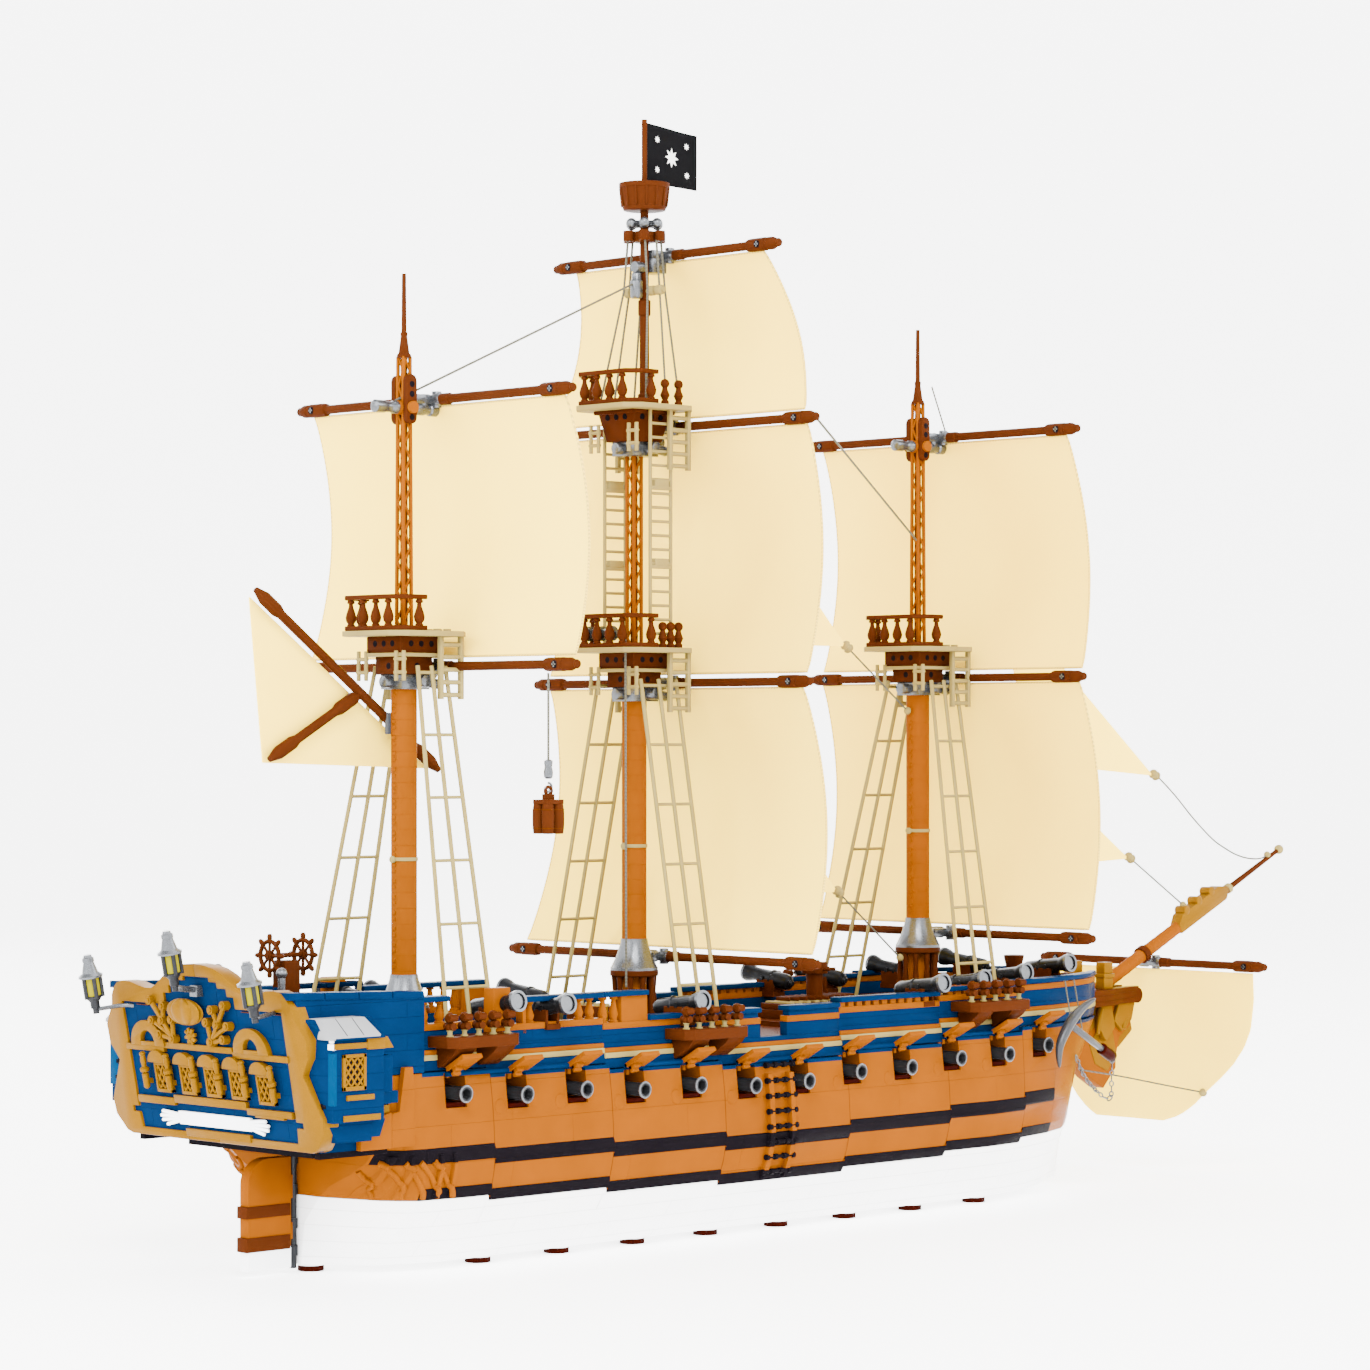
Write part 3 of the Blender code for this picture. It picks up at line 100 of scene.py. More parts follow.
@dataclass(frozen=True)
class HullLines:
    """The hull's form: its half-breadths and the stepped sheer of its strakes."""

    heights: tuple[float, ...] = (0.0, 20.0, 36.5, 52.0, 66.0, 92.0, 112.0, 128.0, 170.0)
    form: tuple[tuple[float, tuple[float, ...]], ...] = (
        (-84.0, (3.0, 4.0, 6.0, 26.0, 60.0, 84.0, 84.0, 82.0, 80.0)),
        (-70.0, (18.0, 32.0, 50.0, 68.0, 82.0, 86.0, 84.0, 82.0, 80.0)),
        (-56.0, (34.0, 54.0, 72.0, 81.0, 86.0, 86.0, 84.0, 82.0, 80.0)),
        (-20.0, (48.0, 66.0, 79.0, 84.5, 87.5, 86.0, 83.5, 81.0, 80.0)),
        (440.0, (48.0, 66.0, 79.0, 84.5, 87.5, 86.0, 83.5, 81.0, 80.0)),
        (476.0, (48.0, 63.0, 75.0, 80.0, 83.0, 82.0, 81.0, 80.0, 78.0)),
        (516.0, (42.0, 54.0, 64.0, 70.0, 73.0, 75.0, 76.0, 76.0, 75.0)),
        (548.0, (29.0, 40.0, 50.0, 56.0, 59.0, 63.0, 67.0, 68.0, 68.0)),
        (575.0, (13.0, 22.0, 31.0, 36.0, 39.0, 46.0, 54.0, 58.0, 58.0)),
        (600.0, (3.0, 6.0, 9.0, 11.0, 13.0, 26.0, 38.0, 42.0, 42.0)),
    )
    steps: tuple[float, ...] = (-4.0, 92.0, 188.0, 300.0, 396.0, 476.0)
    plates: tuple[int, ...] = (3, 2, 1, 0, 1, 2, 3)

    def sheer(self, station: float) -> float:
        """Gives how far the hull has stepped up at a station."""
        return self.plates[sum(station >= s for s in self.steps)] * PLATE

    def breadth(self, station: float, height: float) -> float:
        """Reads the half-breadth from the form.

        Args:
            station: The station.
            height: The height, with the sheer already in it.

        Returns:
            The half-breadth in millimetres.
        """
        station = min(max(station, self.form[0][0]), self.form[-1][0])
        k = max(i for i in range(len(self.form) - 1) if self.form[i][0] <= station)
        aft, fwd = self.form[k], self.form[k + 1]
        along = (station - aft[0]) / (fwd[0] - aft[0])
        j = max(i for i in range(len(self.heights) - 1) if self.heights[i] <= max(height, 0.0))
        up = (height - self.heights[j]) / (self.heights[j + 1] - self.heights[j])
        ends = [row[1][j] + up * (row[1][j + 1] - row[1][j]) for row in (aft, fwd)]
        return ends[0] + along * (ends[1] - ends[0])

    def runs(self, first: float, last: float) -> list[tuple[float, float, float]]:
        """Splits a length of hull at the steps of the sheer.

        Args:
            first: The aft station.
            last: The fore station.

        Returns:
            The aft and fore station and the sheer of each stretch.
        """
        ends = [first] + [s for s in self.steps if first < s < last] + [last]
        return [(a, b, self.sheer((a + b) / 2)) for a, b in zip(ends, ends[1:])]


LINES = HullLines()
PORT_AFT = -32.0
PORT_PITCH = 48.0
TRANSOM_FOOT = -136.5
TRANSOM_LEAN = 0.19
TRANSOM_LOW = 80.0


def gun_port(number: int) -> float:
    """Gives the station of a gun port, counted from aft."""
    return PORT_AFT + PORT_PITCH * number


def transom_face(height: float) -> float:
    """Gives the station of the transom's leaning middle plane."""
    return TRANSOM_FOOT - TRANSOM_LEAN * (height - TRANSOM_LOW)


# ---------------------------------------------------------------- finishes


class Tree:
    """A material's node tree in the making, read from Object coordinates."""

    def __init__(self, name: str) -> None:
        """Starts an empty tree with its shader.

        Args:
            name: The material's name.
        """
        self.material = bpy.data.materials.new("look_" + name)
        self.material.use_nodes = True
        self.tree = self.material.node_tree
        self.shader = self.tree.nodes["Principled BSDF"]
        self.spot = self.node("ShaderNodeTexCoord").outputs["Object"]

    def node(self, kind: str, settings: dict[str, Any] | None = None, **sockets: Any) -> bpy.types.Node:
        """Adds a node.

        Args:
            kind: The node's type.
            settings: Its own properties.
            sockets: Its inputs by name, with _ for a blank, each a number or another's output.

        Returns:
            The node.
        """
        made = self.tree.nodes.new(kind)
        for key, value in (settings or {}).items():
            setattr(made, key, value)
        for key, value in sockets.items():
            self.put(made.inputs[key.replace("_", " ")], value)
        return made

    def put(self, socket: bpy.types.NodeSocket, value: Any) -> None:
        """Sets or links an input.

        Args:
            socket: The input.
            value: A number, a colour or another node's output.
        """
        if isinstance(value, bpy.types.NodeSocket):
            self.tree.links.new(value, socket)
        else:
            socket.default_value = value

    def math(self, operation: str, *values: Any) -> bpy.types.NodeSocket:
        """Does a sum.

        Args:
            operation: The sum's name.
            values: Its numbers, each plain or another node's output.

        Returns:
            The result.
        """
        made = self.node("ShaderNodeMath", {"operation": operation})
        for socket, value in zip(made.inputs, values):
            self.put(socket, value)
        return made.outputs[0]

    def mix(self, share: Any, first: Any, second: Any) -> bpy.types.NodeSocket:
        """Mixes two colours.

        Args:
            share: How much of the second.
            first: The first colour, plain or linked.
            second: The second colour.

        Returns:
            The mixed colour.
        """
        made = self.node("ShaderNodeMix", {"data_type": "RGBA"})
        for index, value in ((0, share), (6, first), (7, second)):
            self.put(made.inputs[index], (*value, 1.0) if isinstance(value, tuple) else value)
        return made.outputs[2]

    def noise(self, scale: float, detail: float = 3.0) -> bpy.types.NodeSocket:
        """Adds a noise of a scale in features per metre."""
        made = self.node("ShaderNodeTexNoise", Scale=scale, Detail=detail, Vector=self.spot)
        return made.outputs["Fac"]

    def span(self, value: Any, low: float, high: float, start: float = 0.0, end: float = 1.0) -> Any:
        """Maps a value from start..end to low..high."""
        sockets = {"Value": value, "From_Min": start, "From_Max": end, "To_Min": low, "To_Max": high}
        return self.node("ShaderNodeMapRange", **sockets).outputs[0]

    def bump(self, height: Any, depth: float, normal: Any = None) -> bpy.types.NodeSocket:
        """Raises a bump over another.

        Args:
            height: The bump's height, linked.
            depth: Its depth in metres.
            normal: The normal under it.

        Returns:
            The new normal.
        """
        made = self.node("ShaderNodeBump", Height=height, Distance=depth, Strength=1.0)
        if normal is not None:
            self.put(made.inputs["Normal"], normal)
        return made.outputs[0]

    def plane(self, lie: Lie) -> bpy.types.NodeSocket:
        """Turns Object coordinates so that a brick pattern lies on such a face.

        Args:
            lie: How the face lies.

        Returns:
            The turned coordinates.
        """
        parts = self.node("ShaderNodeSeparateXYZ", Vector=self.spot).outputs
        across = {Lie.ALONG: (0, 2), Lie.LEVEL: (0, 1), Lie.ACROSS: (1, 2)}[lie]
        made = self.node("ShaderNodeCombineXYZ", X=parts[across[0]], Y=parts[across[1]])
        return made.outputs[0]


@dataclass(frozen=True)
class Courses:
    """The fine joints between the bricks or planks of a built-up face."""

    lie: Lie
    long: float = 32.0
    high: float = 9.6
    gap: float = 0.16


@dataclass(frozen=True)
class Stripe:
    """A coloured stripe that steps with the sheer, between two stations."""

    low: float
    high: float
    colour: Colour
    aft: float = -400.0
    fore: float = 900.0


@dataclass(frozen=True)
class Finish:
    """A finish, and the record's slot that it belongs to."""

    name: str
    slot: str
    colour: Colour

    def material(self) -> bpy.types.Material:
        """Gives the material, made once."""
        found = bpy.data.materials.get("look_" + self.name)
        return found if found is not None else self.mixed()

    def mixed(self) -> bpy.types.Material:
        """Makes the material's nodes."""
        raise NotImplementedError


@dataclass(frozen=True)
class Moulded(Finish):
    """Moulded plastic with a faint flow of colour, fine scratches and, if built up, joints."""

    rough: float = 0.26
    metal: float = 0.0
    shine: float = 0.2
    bend: float = 1.06
    flow: float = 0.07
    flakes: float = 0.0
    courses: Courses | None = None
    stripes: tuple[Stripe, ...] = ()
    # How strongly the finish glows: painted light, for parts that are no lamps.
    glow: float = 0.0
    sheered: bool = True

    def shade(self, tree: Tree, colour: Any) -> Any:
        """Lets the colour drift a little over the piece.

        Args:
            tree: The tree.
            colour: The colour, plain or linked.

        Returns:
            The drifting colour.
        """
        made = tree.node("ShaderNodeHueSaturation", Saturation=1.0, Hue=0.5)
        tree.put(made.inputs["Value"], tree.span(tree.noise(38.0), 1 - self.flow, 1 + self.flow, 0.3, 0.7))
        tree.put(made.inputs["Color"], (*colour, 1.0) if isinstance(colour, tuple) else colour)
        return made.outputs[0]

    def striped(self, tree: Tree, colour: Any) -> Any:
        """Lays the stripes, which step up with the sheer.

        Args:
            tree: The tree.
            colour: The ground's colour.

        Returns:
            The colour with its stripes.
        """
        parts = tree.node("ShaderNodeSeparateXYZ", Vector=tree.spot).outputs
        station = tree.math("MULTIPLY_ADD", parts[0], 1000.0, MIDDLE)
        height = tree.math("MULTIPLY", parts[2], 1000.0)
        for k, step in enumerate(LINES.steps if self.sheered else ()):
            passed = tree.math("LESS_THAN" if k < 3 else "GREATER_THAN", station, step)
            height = tree.math("MULTIPLY_ADD", passed, -PLATE, height)
        for stripe in self.stripes:
            inside = tree.math("GREATER_THAN", height, stripe.low)
            for test, value, bound in (("LESS_THAN", height, stripe.high), ("GREATER_THAN", station, stripe.aft),
                                       ("LESS_THAN", station, stripe.fore)):
                inside = tree.math("MULTIPLY", inside, tree.math(test, value, bound))
            colour = tree.mix(inside, colour, stripe.colour)
        return colour

    def mixed(self) -> bpy.types.Material:
        """Makes the plastic's nodes.

        Returns:
            The material.
        """
        tree = Tree(self.name)
        colour = self.striped(tree, self.colour) if self.stripes else self.colour
        colour = self.shade(tree, colour)
        scratches = tree.noise(2600.0, 2.0)
        normal = tree.bump(tree.noise(160.0, 2.0), 0.00003)
        if self.courses is not None:
            plan = self.courses
            brick = tree.node("ShaderNodeTexBrick", {"offset": 0.5}, Vector=tree.plane(plan.lie), Scale=1.0,
                              Mortar_Size=plan.gap * MM, Mortar_Smooth=0.3, Brick_Width=plan.long * MM,
                              Row_Height=plan.high * MM)
            line = brick.outputs["Fac"]
            dark = tree.node("ShaderNodeHueSaturation", Value=0.72, Color=colour)
            colour = tree.mix(tree.math("MULTIPLY", line, 0.8), colour, dark.outputs[0])
            normal = tree.bump(tree.math("SUBTRACT", 1.0, line), 0.00018, normal)
        if self.flakes:
            grain = tree.node("ShaderNodeTexVoronoi", Vector=tree.spot, Scale=1800.0).outputs["Distance"]
            bright = tree.node("ShaderNodeHueSaturation", Value=1.0 + self.flakes, Color=colour)
            colour = tree.mix(tree.span(grain, 1.0, 0.0, 0.1, 0.5), colour, bright.outputs[0])
        tree.put(tree.shader.inputs["Base Color"], colour)
        tree.put(tree.shader.inputs["Roughness"], tree.span(scratches, self.rough - 0.05, self.rough + 0.07, 0.3, 0.7))
        tree.put(tree.shader.inputs["Normal"], normal)
        tree.shader.inputs["Metallic"].default_value = self.metal
        tree.shader.inputs["Specular IOR Level"].default_value = self.shine
        tree.shader.inputs["IOR"].default_value = self.bend
        # Painted light: the finish glows as if lit from inside, though the part is no lamp.
        if self.glow:
            tree.put(tree.shader.inputs["Emission Color"], (*self.colour, 1.0))
            tree.shader.inputs["Emission Strength"].default_value = self.glow
        return tree.material


@dataclass(frozen=True)
class Cloth(Finish):
    """Woven cloth, read from the sheet's own map in metres, with soft stains."""

    thread: float = 0.55
    fuzz: float = 0.1

    def mixed(self) -> bpy.types.Material:
        """Makes the cloth's nodes.

        Returns:
            The material.
        """
        tree = Tree(self.name)
        spread = tree.node("ShaderNodeUVMap", {"uv_map": "cut"}).outputs[0]
        parts = tree.node("ShaderNodeSeparateXYZ", Vector=spread).outputs
        turns = 2 * math.pi / (self.thread * MM)
        warp = tree.math("SINE", tree.math("MULTIPLY", parts[0], turns))
        weft = tree.math("SINE", tree.math("MULTIPLY", parts[1], turns))
        weave = tree.math("MULTIPLY_ADD", tree.math("MULTIPLY", warp, weft), 0.5, 0.5)
        cloud = tree.span(tree.noise(9.0, 4.0), 0.0, 1.0, 0.35, 0.68)
        warm = tuple(c * k for c, k in zip(self.colour, (0.97, 0.95, 0.90)))
        colour = tree.mix(cloud, self.colour, warm)
        dim = tree.node("ShaderNodeHueSaturation", Value=0.93, Color=colour).outputs[0]
        colour = tree.mix(tree.math("MULTIPLY", weave, 0.5), colour, dim)
        slub = tree.noise(420.0, 2.0)
        height = tree.math("MULTIPLY_ADD", slub, 0.4, weave)
        tree.put(tree.shader.inputs["Base Color"], colour)
        tree.put(tree.shader.inputs["Normal"], tree.bump(height, 0.00009))
        tree.put(tree.shader.inputs["Roughness"], tree.span(tree.noise(60.0), 0.78, 0.92))
        tree.shader.inputs["Sheen Weight"].default_value = self.fuzz
        tree.shader.inputs["Sheen Roughness"].default_value = 0.5
        tree.shader.inputs["Specular IOR Level"].default_value = 0.02
        return tree.material


@dataclass(frozen=True)
class Cordage(Finish):
    """Laid cord, with its twist as slanting bands."""

    def mixed(self) -> bpy.types.Material:
        """Makes the cord's nodes.

        Returns:
            The material.
        """
        tree = Tree(self.name)
        wave = tree.node("ShaderNodeTexWave", {"bands_direction": "DIAGONAL"}, Vector=tree.spot, Scale=260.0,
                         Distortion=0.6).outputs["Fac"]
        dark = tuple(c * 0.55 for c in self.colour)
        tree.put(tree.shader.inputs["Base Color"], tree.mix(wave, dark, self.colour))
        tree.put(tree.shader.inputs["Normal"], tree.bump(wave, 0.0002))
        tree.put(tree.shader.inputs["Roughness"], tree.span(tree.noise(300.0), 0.7, 0.9))
        return tree.material


ORANGE_TONE: Colour = (0.136, 0.0350, 0.0001)
BLUE_TONE: Colour = (0.0001, 0.0098, 0.036)
BLACK_TONE: Colour = (0.0034, 0.0026, 0.0036)
SEAM_TONE: Colour = (0.075, 0.018, 0.0003)
TAN_TONE: Colour = (0.182, 0.139, 0.045)
BROWN_TONE: Colour = (0.036, 0.0085, 0.0018)

ORANGE = Moulded("orange_plastic", "orange_plastic", ORANGE_TONE)
PLANKING = Moulded(
    "orange_planking", "orange_plastic", ORANGE_TONE,
    stripes=(
        *(Stripe(30.0, 111.6, SEAM_TONE, s - 0.35, s + 0.35) for s in (-4.0, 92.0, 188.0, 300.0, 396.0, 476.0, 518.0)),
        Stripe(36.0, 43.3, BLACK_TONE, -56.0, 518.0), Stripe(58.2, 67.2, BLACK_TONE, -82.0, 518.0),
        Stripe(108.4, 113.0, BLUE_TONE, -57.0, 610.0),
    ),
    courses=Courses(Lie.ALONG, 96.0, 22.4, 0.1),
)
BLUE = Moulded("blue_plastic", "blue_plastic", BLUE_TONE)
BLUE_COURSES = Moulded("blue_courses", "blue_plastic", BLUE_TONE, courses=Courses(Lie.ALONG, 48.0, 9.6))
BLUE_SLABS = Moulded("blue_slabs", "blue_plastic", BLUE_TONE, courses=Courses(Lie.ACROSS, 32.0, 16.0))
LIGHT_BLUE = Moulded("light_blue", "blue_plastic", (0.0006, 0.022, 0.062))
WHITE = Moulded(
    "white_plastic", "white_plastic", (0.90, 0.90, 0.90),
    stripes=(Stripe(-20.0, 3.4, (0.016, 0.0014, 0.0004)),), rough=0.2, flow=0.02,
    courses=Courses(Lie.ALONG, 128.0, 9.6, 0.14),
    sheered=False,
)
PLAIN_WHITE = Moulded("plain_white", "white_plastic", (0.88, 0.89, 0.90), rough=0.2, flow=0.02)
GOLD = Moulded("pearl_gold", "gold_plastic", (0.115, 0.050, 0.0006), rough=0.34, metal=0.25, flakes=0.25)
BROWN = Moulded("brown_plastic", "brown_plastic", BROWN_TONE)
TAN = Moulded("tan_plastic", "tan_plastic", TAN_TONE, rough=0.3)
GREY = Moulded("pearl_grey", "grey_plastic", (0.016, 0.0165, 0.018), rough=0.3, metal=0.5, flakes=0.3)
IRON = Moulded("gun_iron", "grey_plastic", (0.0085, 0.0088, 0.0098), rough=0.27, metal=0.5, flakes=0.3)
STONE = Moulded("stone_grey", "grey_plastic", (0.055, 0.060, 0.067), rough=0.3)
SILVER = Moulded("pearl_silver", "grey_plastic", (0.078, 0.082, 0.088), rough=0.26, metal=0.8, flakes=0.15)
STEEL = Moulded("pearl_steel", "grey_plastic", (0.036, 0.037, 0.040), rough=0.28, metal=0.6, flakes=0.2)
BLACK = Moulded("black_plastic", "grey_plastic", BLACK_TONE)
# The lens glows with painted light: the lanterns are no lamps.
YELLOW = Moulded("yellow_lens", "grey_plastic", (0.14, 0.118, 0.0003), rough=0.1, glow=1.5)
# A darker copy of the orange: painted shade inside the topmasts' lattice, and also the colour of the cask hoops.
DARK_ORANGE = Moulded("umber_plastic", "orange_plastic", (0.052, 0.0125, 0.0002))
DARK_RED = Moulded("dark_red", "brown_plastic", (0.016, 0.0012, 0.0004))
CREAM = Cloth("cream_cloth", "cream_cloth", (0.99, 0.68, 0.058))
FLAG_CLOTH = Cloth("black_cloth", "black_cloth", (0.0024, 0.0024, 0.0028), fuzz=0.0)
FLAG_INK = Moulded("flag_ink", "black_cloth", (0.72, 0.71, 0.68), rough=0.7)
CORD = Cordage("grey_cord", "tan_plastic", (0.055, 0.050, 0.030))
CREAM_EDGE = Cordage("cream_cord", "cream_cloth", (0.78, 0.52, 0.05))
DECK_PLANKS = Moulded("deck_planks", "brown_plastic", (0.040, 0.0095, 0.0022),
                      courses=Courses(Lie.LEVEL, 64.0, 8.0, 0.2))
CASTLE_BLUE = Moulded("castle_blue", "blue_plastic", BLUE_TONE, courses=Courses(Lie.ALONG, 64.0, 9.6))
PALE_GREY = Moulded("pale_grey", "white_plastic", (0.19, 0.193, 0.20), rough=0.25)


# ---------------------------------------------------------------- shapes


def placed(name: str, data: bpy.types.ID) -> bpy.types.Object:
    """Links a new object into the scene.

    Args:
        name: Its name.
        data: Its mesh, light or camera.

    Returns:
        The object.
    """
    made = bpy.data.objects.new(name, data)
    bpy.context.scene.collection.objects.link(made)
    return made


def cast(name: str, shape: bmesh.types.BMesh) -> bpy.types.Object:
    """Makes an object of a shape in the making, and frees that.

    Args:
        name: The object's name.
        shape: The shape.

    Returns:
        The object.
    """
    mesh = bpy.data.meshes.new(name)
    shape.to_mesh(mesh)
    shape.free()
    return placed(name, mesh)


def settle(piece: bpy.types.Object, finish: Finish, body: str, nodes: Iterable[str], bevel: float = 0.0,
           angle: float = 38.0) -> bpy.types.Object:
    """Rounds, shades and finishes a piece, and lets it ride.

    Args:
        piece: The piece, at the origin.
        finish: Its finish.
        body: The body that it moves with.
        nodes: The CAD nodes that it stands for.
        bevel: The width of its rounded edges in millimetres.
        angle: The angle over which an edge stays sharp.

    Returns:
        The piece.
    """
    if bevel:
        rounder = piece.modifiers.new("edges", "BEVEL")
        rounder.width = bevel * MM
        rounder.segments = 2
        rounder.limit_method = "ANGLE"
        rounder.angle_limit = math.radians(angle)
        plain(piece)
    piece.data.shade_smooth()
    piece.data.set_sharp_from_angle(angle=math.radians(angle))
    piece.data.materials.clear()
    piece.data.materials.append(finish.material())
    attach(piece, body)
    for node in nodes:
        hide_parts(node)
    LOG.info("%s: %d faces in %s", piece.name, len(piece.data.polygons), finish.name)
    return piece


def plain(piece: bpy.types.Object) -> bpy.types.Object:
    """Turns a piece's modifiers into a plain mesh.

    Args:
        piece: The piece.

    Returns:
        The same piece.
    """
    bpy.context.view_layer.update()
    made = bpy.data.meshes.new_from_object(piece.evaluated_get(bpy.context.evaluated_depsgraph_get()))
    piece.modifiers.clear()
    piece.data = made
    return piece


def smooth_line(points: Sequence[Spot], parts: int = 6) -> list[Spot]:
    """Rounds a line through its points.

    Args:
        points: The points that it passes through.
        parts: How many steps lie between two of them.

    Returns:
        The points of the rounded line.
    """
    ends = [points[0], *points, points[-1]]
    line: list[Spot] = []
    for a, b, c, d in zip(ends, ends[1:], ends[2:], ends[3:]):
        for k in range(parts):
            t = k / parts
            line.append(tuple(
                0.5 * (2 * q + (r - p) * t + (2 * p - 5 * q + 4 * r - s) * t * t + (3 * q - p - 3 * r + s) * t ** 3)
                for p, q, r, s in zip(a, b, c, d)
            ))
    return [*line, points[-1]]


class Moulding:
    """Gathers closed shapes, in millimetres, into one mesh."""

    def __init__(self, local: bool = False) -> None:
        """Starts an empty mesh.

        Args:
            local: True for a shape about its own middle, which is then repeated.
        """
        self.mesh = bmesh.new()
        self.middle = 0.0 if local else MIDDLE

    def point(self, spot: Spot) -> Vector:
        """Gives the point of a spot in metres."""
        return Vector(((spot[0] - self.middle) * MM, -spot[1] * MM, spot[2] * MM))

    def rings(self, rings: Sequence[Sequence[Vector]], closed: bool = False) -> "Moulding":
        """Skins a row of rings.

        Args:
            rings: The rings, each with as many points.
            closed: True where the last ring meets the first.

        Returns:
            The moulding.
        """
        rows = [[self.mesh.verts.new(v) for v in ring] for ring in rings]
        for a, b in zip(rows, rows[1:] + rows[:1] if closed else rows[1:]):
            for i in range(len(a)):
                self.mesh.faces.new((a[i - 1], a[i], b[i], b[i - 1]))
        if not closed:
            self.mesh.faces.new(rows[0])
            self.mesh.faces.new(rows[-1])
        return self

    def plate(self, outline: Sequence[Pair], lie: Lie, low: float, high: float) -> "Moulding":
        """Thickens a flat outline from low to high."""
        ends = [[self.point(lie.spot(a, b, deep)) for a, b in outline] for deep in (low, high)]
        return self.rings(ends)

    def box(self, station: Pair, breadth: Pair, height: Pair) -> "Moulding":
        """Adds a block between two stations, breadths and heights."""
        (a, b), (c, d) = station, breadth
        return self.plate([(a, c), (b, c), (b, d), (a, d)], Lie.LEVEL, *height)

    def turned(self, start: Spot, end: Spot, profile: Sequence[Pair], sides: int = 16,
               twist: float = 0.0) -> "Moulding":
        """Turns a profile about a line.

        Args:
            start: Where the line starts.
            end: A point further along it.
            profile: Distances along the line and radii.
            sides: How many sides it has.
            twist: A turn about the line, as a share of one side.

        Returns:
            The moulding.
        """
        foot = self.point(start)
        axis = (self.point(end) - foot).normalized()
        across = axis.orthogonal().normalized() if abs(axis.z) < 0.99 else Vector((1.0, 0.0, 0.0))
        other = axis.cross(across).normalized()
        rings = []
        for along, radius in profile:
            middle = foot + axis * along * MM
            rings.append([
                middle + (across * math.cos(t) + other * math.sin(t)) * max(radius, 0.02) * MM
                for t in ((k + twist) * 2 * math.pi / sides for k in range(sides))
            ])
        return self.rings(rings)

    def rod(self, start: Spot, end: Spot, radius: float, other: float | None = None, sides: int = 14,
            twist: float = 0.0) -> "Moulding":
        """Adds a round rod, or a cone where other is given."""
        long = (self.point(end) - self.point(start)).length / MM
        return self.turned(start, end, [(0.0, radius), (long, radius if other is None else other)], sides, twist)

    def ball(self, middle: Spot, radius: float, sides: int = 14) -> "Moulding":
        """Adds a ball.

        Args:
            middle: Its middle.
            radius: Its radius.
            sides: How many sides it has.

        Returns:
            The moulding.
        """
        p, q, z = middle
        turns = [k * math.pi / 8 for k in range(9)]
        profile = [(radius * (1 - math.cos(t)), radius * math.sin(t)) for t in turns]
        return self.turned((p, q, z - radius), (p, q, z + radius), profile, sides)

    def tube(self, points: Sequence[Spot], radius: float, sides: int = 6, closed: bool = False,
             taper: float = 1.0) -> "Moulding":
        """Runs a tube along points.

        Args:
            points: The points.
            radius: The tube's radius.
            sides: How many sides it has.
            closed: True for a loop.
            taper: The radius at both ends, as a share of that in the middle.

        Returns:
            The moulding.
        """
        line = [self.point(s) for s in points]
        count = len(line)
        rings, across = [], None
        for i, here in enumerate(line):
            before = line[i - 1] if i or closed else here
            after = line[(i + 1) % count] if i + 1 < count or closed else here
            axis = (after - before).normalized()
            if across is None:
                across = axis.orthogonal().normalized()
            else:
                across = (across - axis * across.dot(axis)).normalized()
            other = axis.cross(across)
            wide = radius * MM * (taper + (1 - taper) * math.sin(math.pi * i / max(1, count - 1)) ** 0.7)
            rings.append([
                here + (across * math.cos(t) + other * math.sin(t)) * wide
                for t in (k * 2 * math.pi / sides for k in range(sides))
            ])
        return self.rings(rings, closed)

    def hoop(self, middle: Spot, lie: Lie, wide: float, radius: float, parts: int = 24, sides: int = 8) -> "Moulding":
        """Adds a hoop in a plane about its middle.

        Args:
            middle: Its middle.
            lie: How its plane lies.
            wide: Its radius.
            radius: The radius of the hoop's own section.
            parts: How many parts it has round it.
            sides: How many sides its section has.

        Returns:
            The moulding.
        """
        turns = (k * 2 * math.pi / parts for k in range(parts))
        flat = [lie.spot(wide * math.cos(t), wide * math.sin(t), 0.0) for t in turns]
        return self.tube([tuple(a + b for a, b in zip(middle, s)) for s in flat], radius, sides, True)

    def strake(self, side: Side, span: Pair, height: Pair, outer: float, inner: float,
               stepped: bool = True) -> "Moulding":
        """Runs a band along the hull's form.

        Args:
            side: The side of the ship.
            span: Its first and last station.
            height: Its lower and upper height.
            outer: The outer face's share of the form.
            inner: The inner face's share.
            stepped: True where it steps with the sheer.

        Returns:
            The moulding.
        """
        for aft, fore, sheer in LINES.runs(*span):
            rise = sheer if stepped else 0.0
            parts = max(1, round((fore - aft) / (12.0 if fore > 440 or aft < -20 else 60.0)))
            rings = []
            for k in range(parts + 1):
                station = aft + (fore - aft) * k / parts
                ring = []
                for share, level in ((outer, height[0]), (outer, height[1]), (inner, height[1]), (inner, height[0])):
                    wide = LINES.breadth(station, level + rise) * share
                    ring.append(self.point((station, side.value * wide, level + rise)))
                rings.append(ring)
            self.rings(rings)
        return self

    def done(self, name: str, finish: Finish, body: str = "ship", nodes: Iterable[str] = (), bevel: float = 0.0,
             angle: float = 38.0) -> bpy.types.Object:
        """Makes the gathered shapes one dressed piece.

        Args:
            name: The piece's name.
            finish: Its finish.
            body: The body that it moves with.
            nodes: The CAD nodes that it stands for.
            bevel: The width of its rounded edges.
            angle: The angle over which an edge stays sharp.

        Returns:
            The piece.
        """
        return settle(self.loose(name), finish, body, nodes, bevel, angle)

    def loose(self, name: str) -> bpy.types.Object:
        """Makes the gathered shapes a plain object.

        Args:
            name: Its name.

        Returns:
            The object.
        """
        bmesh.ops.recalc_face_normals(self.mesh, faces=self.mesh.faces)
        return cast(name, self.mesh)


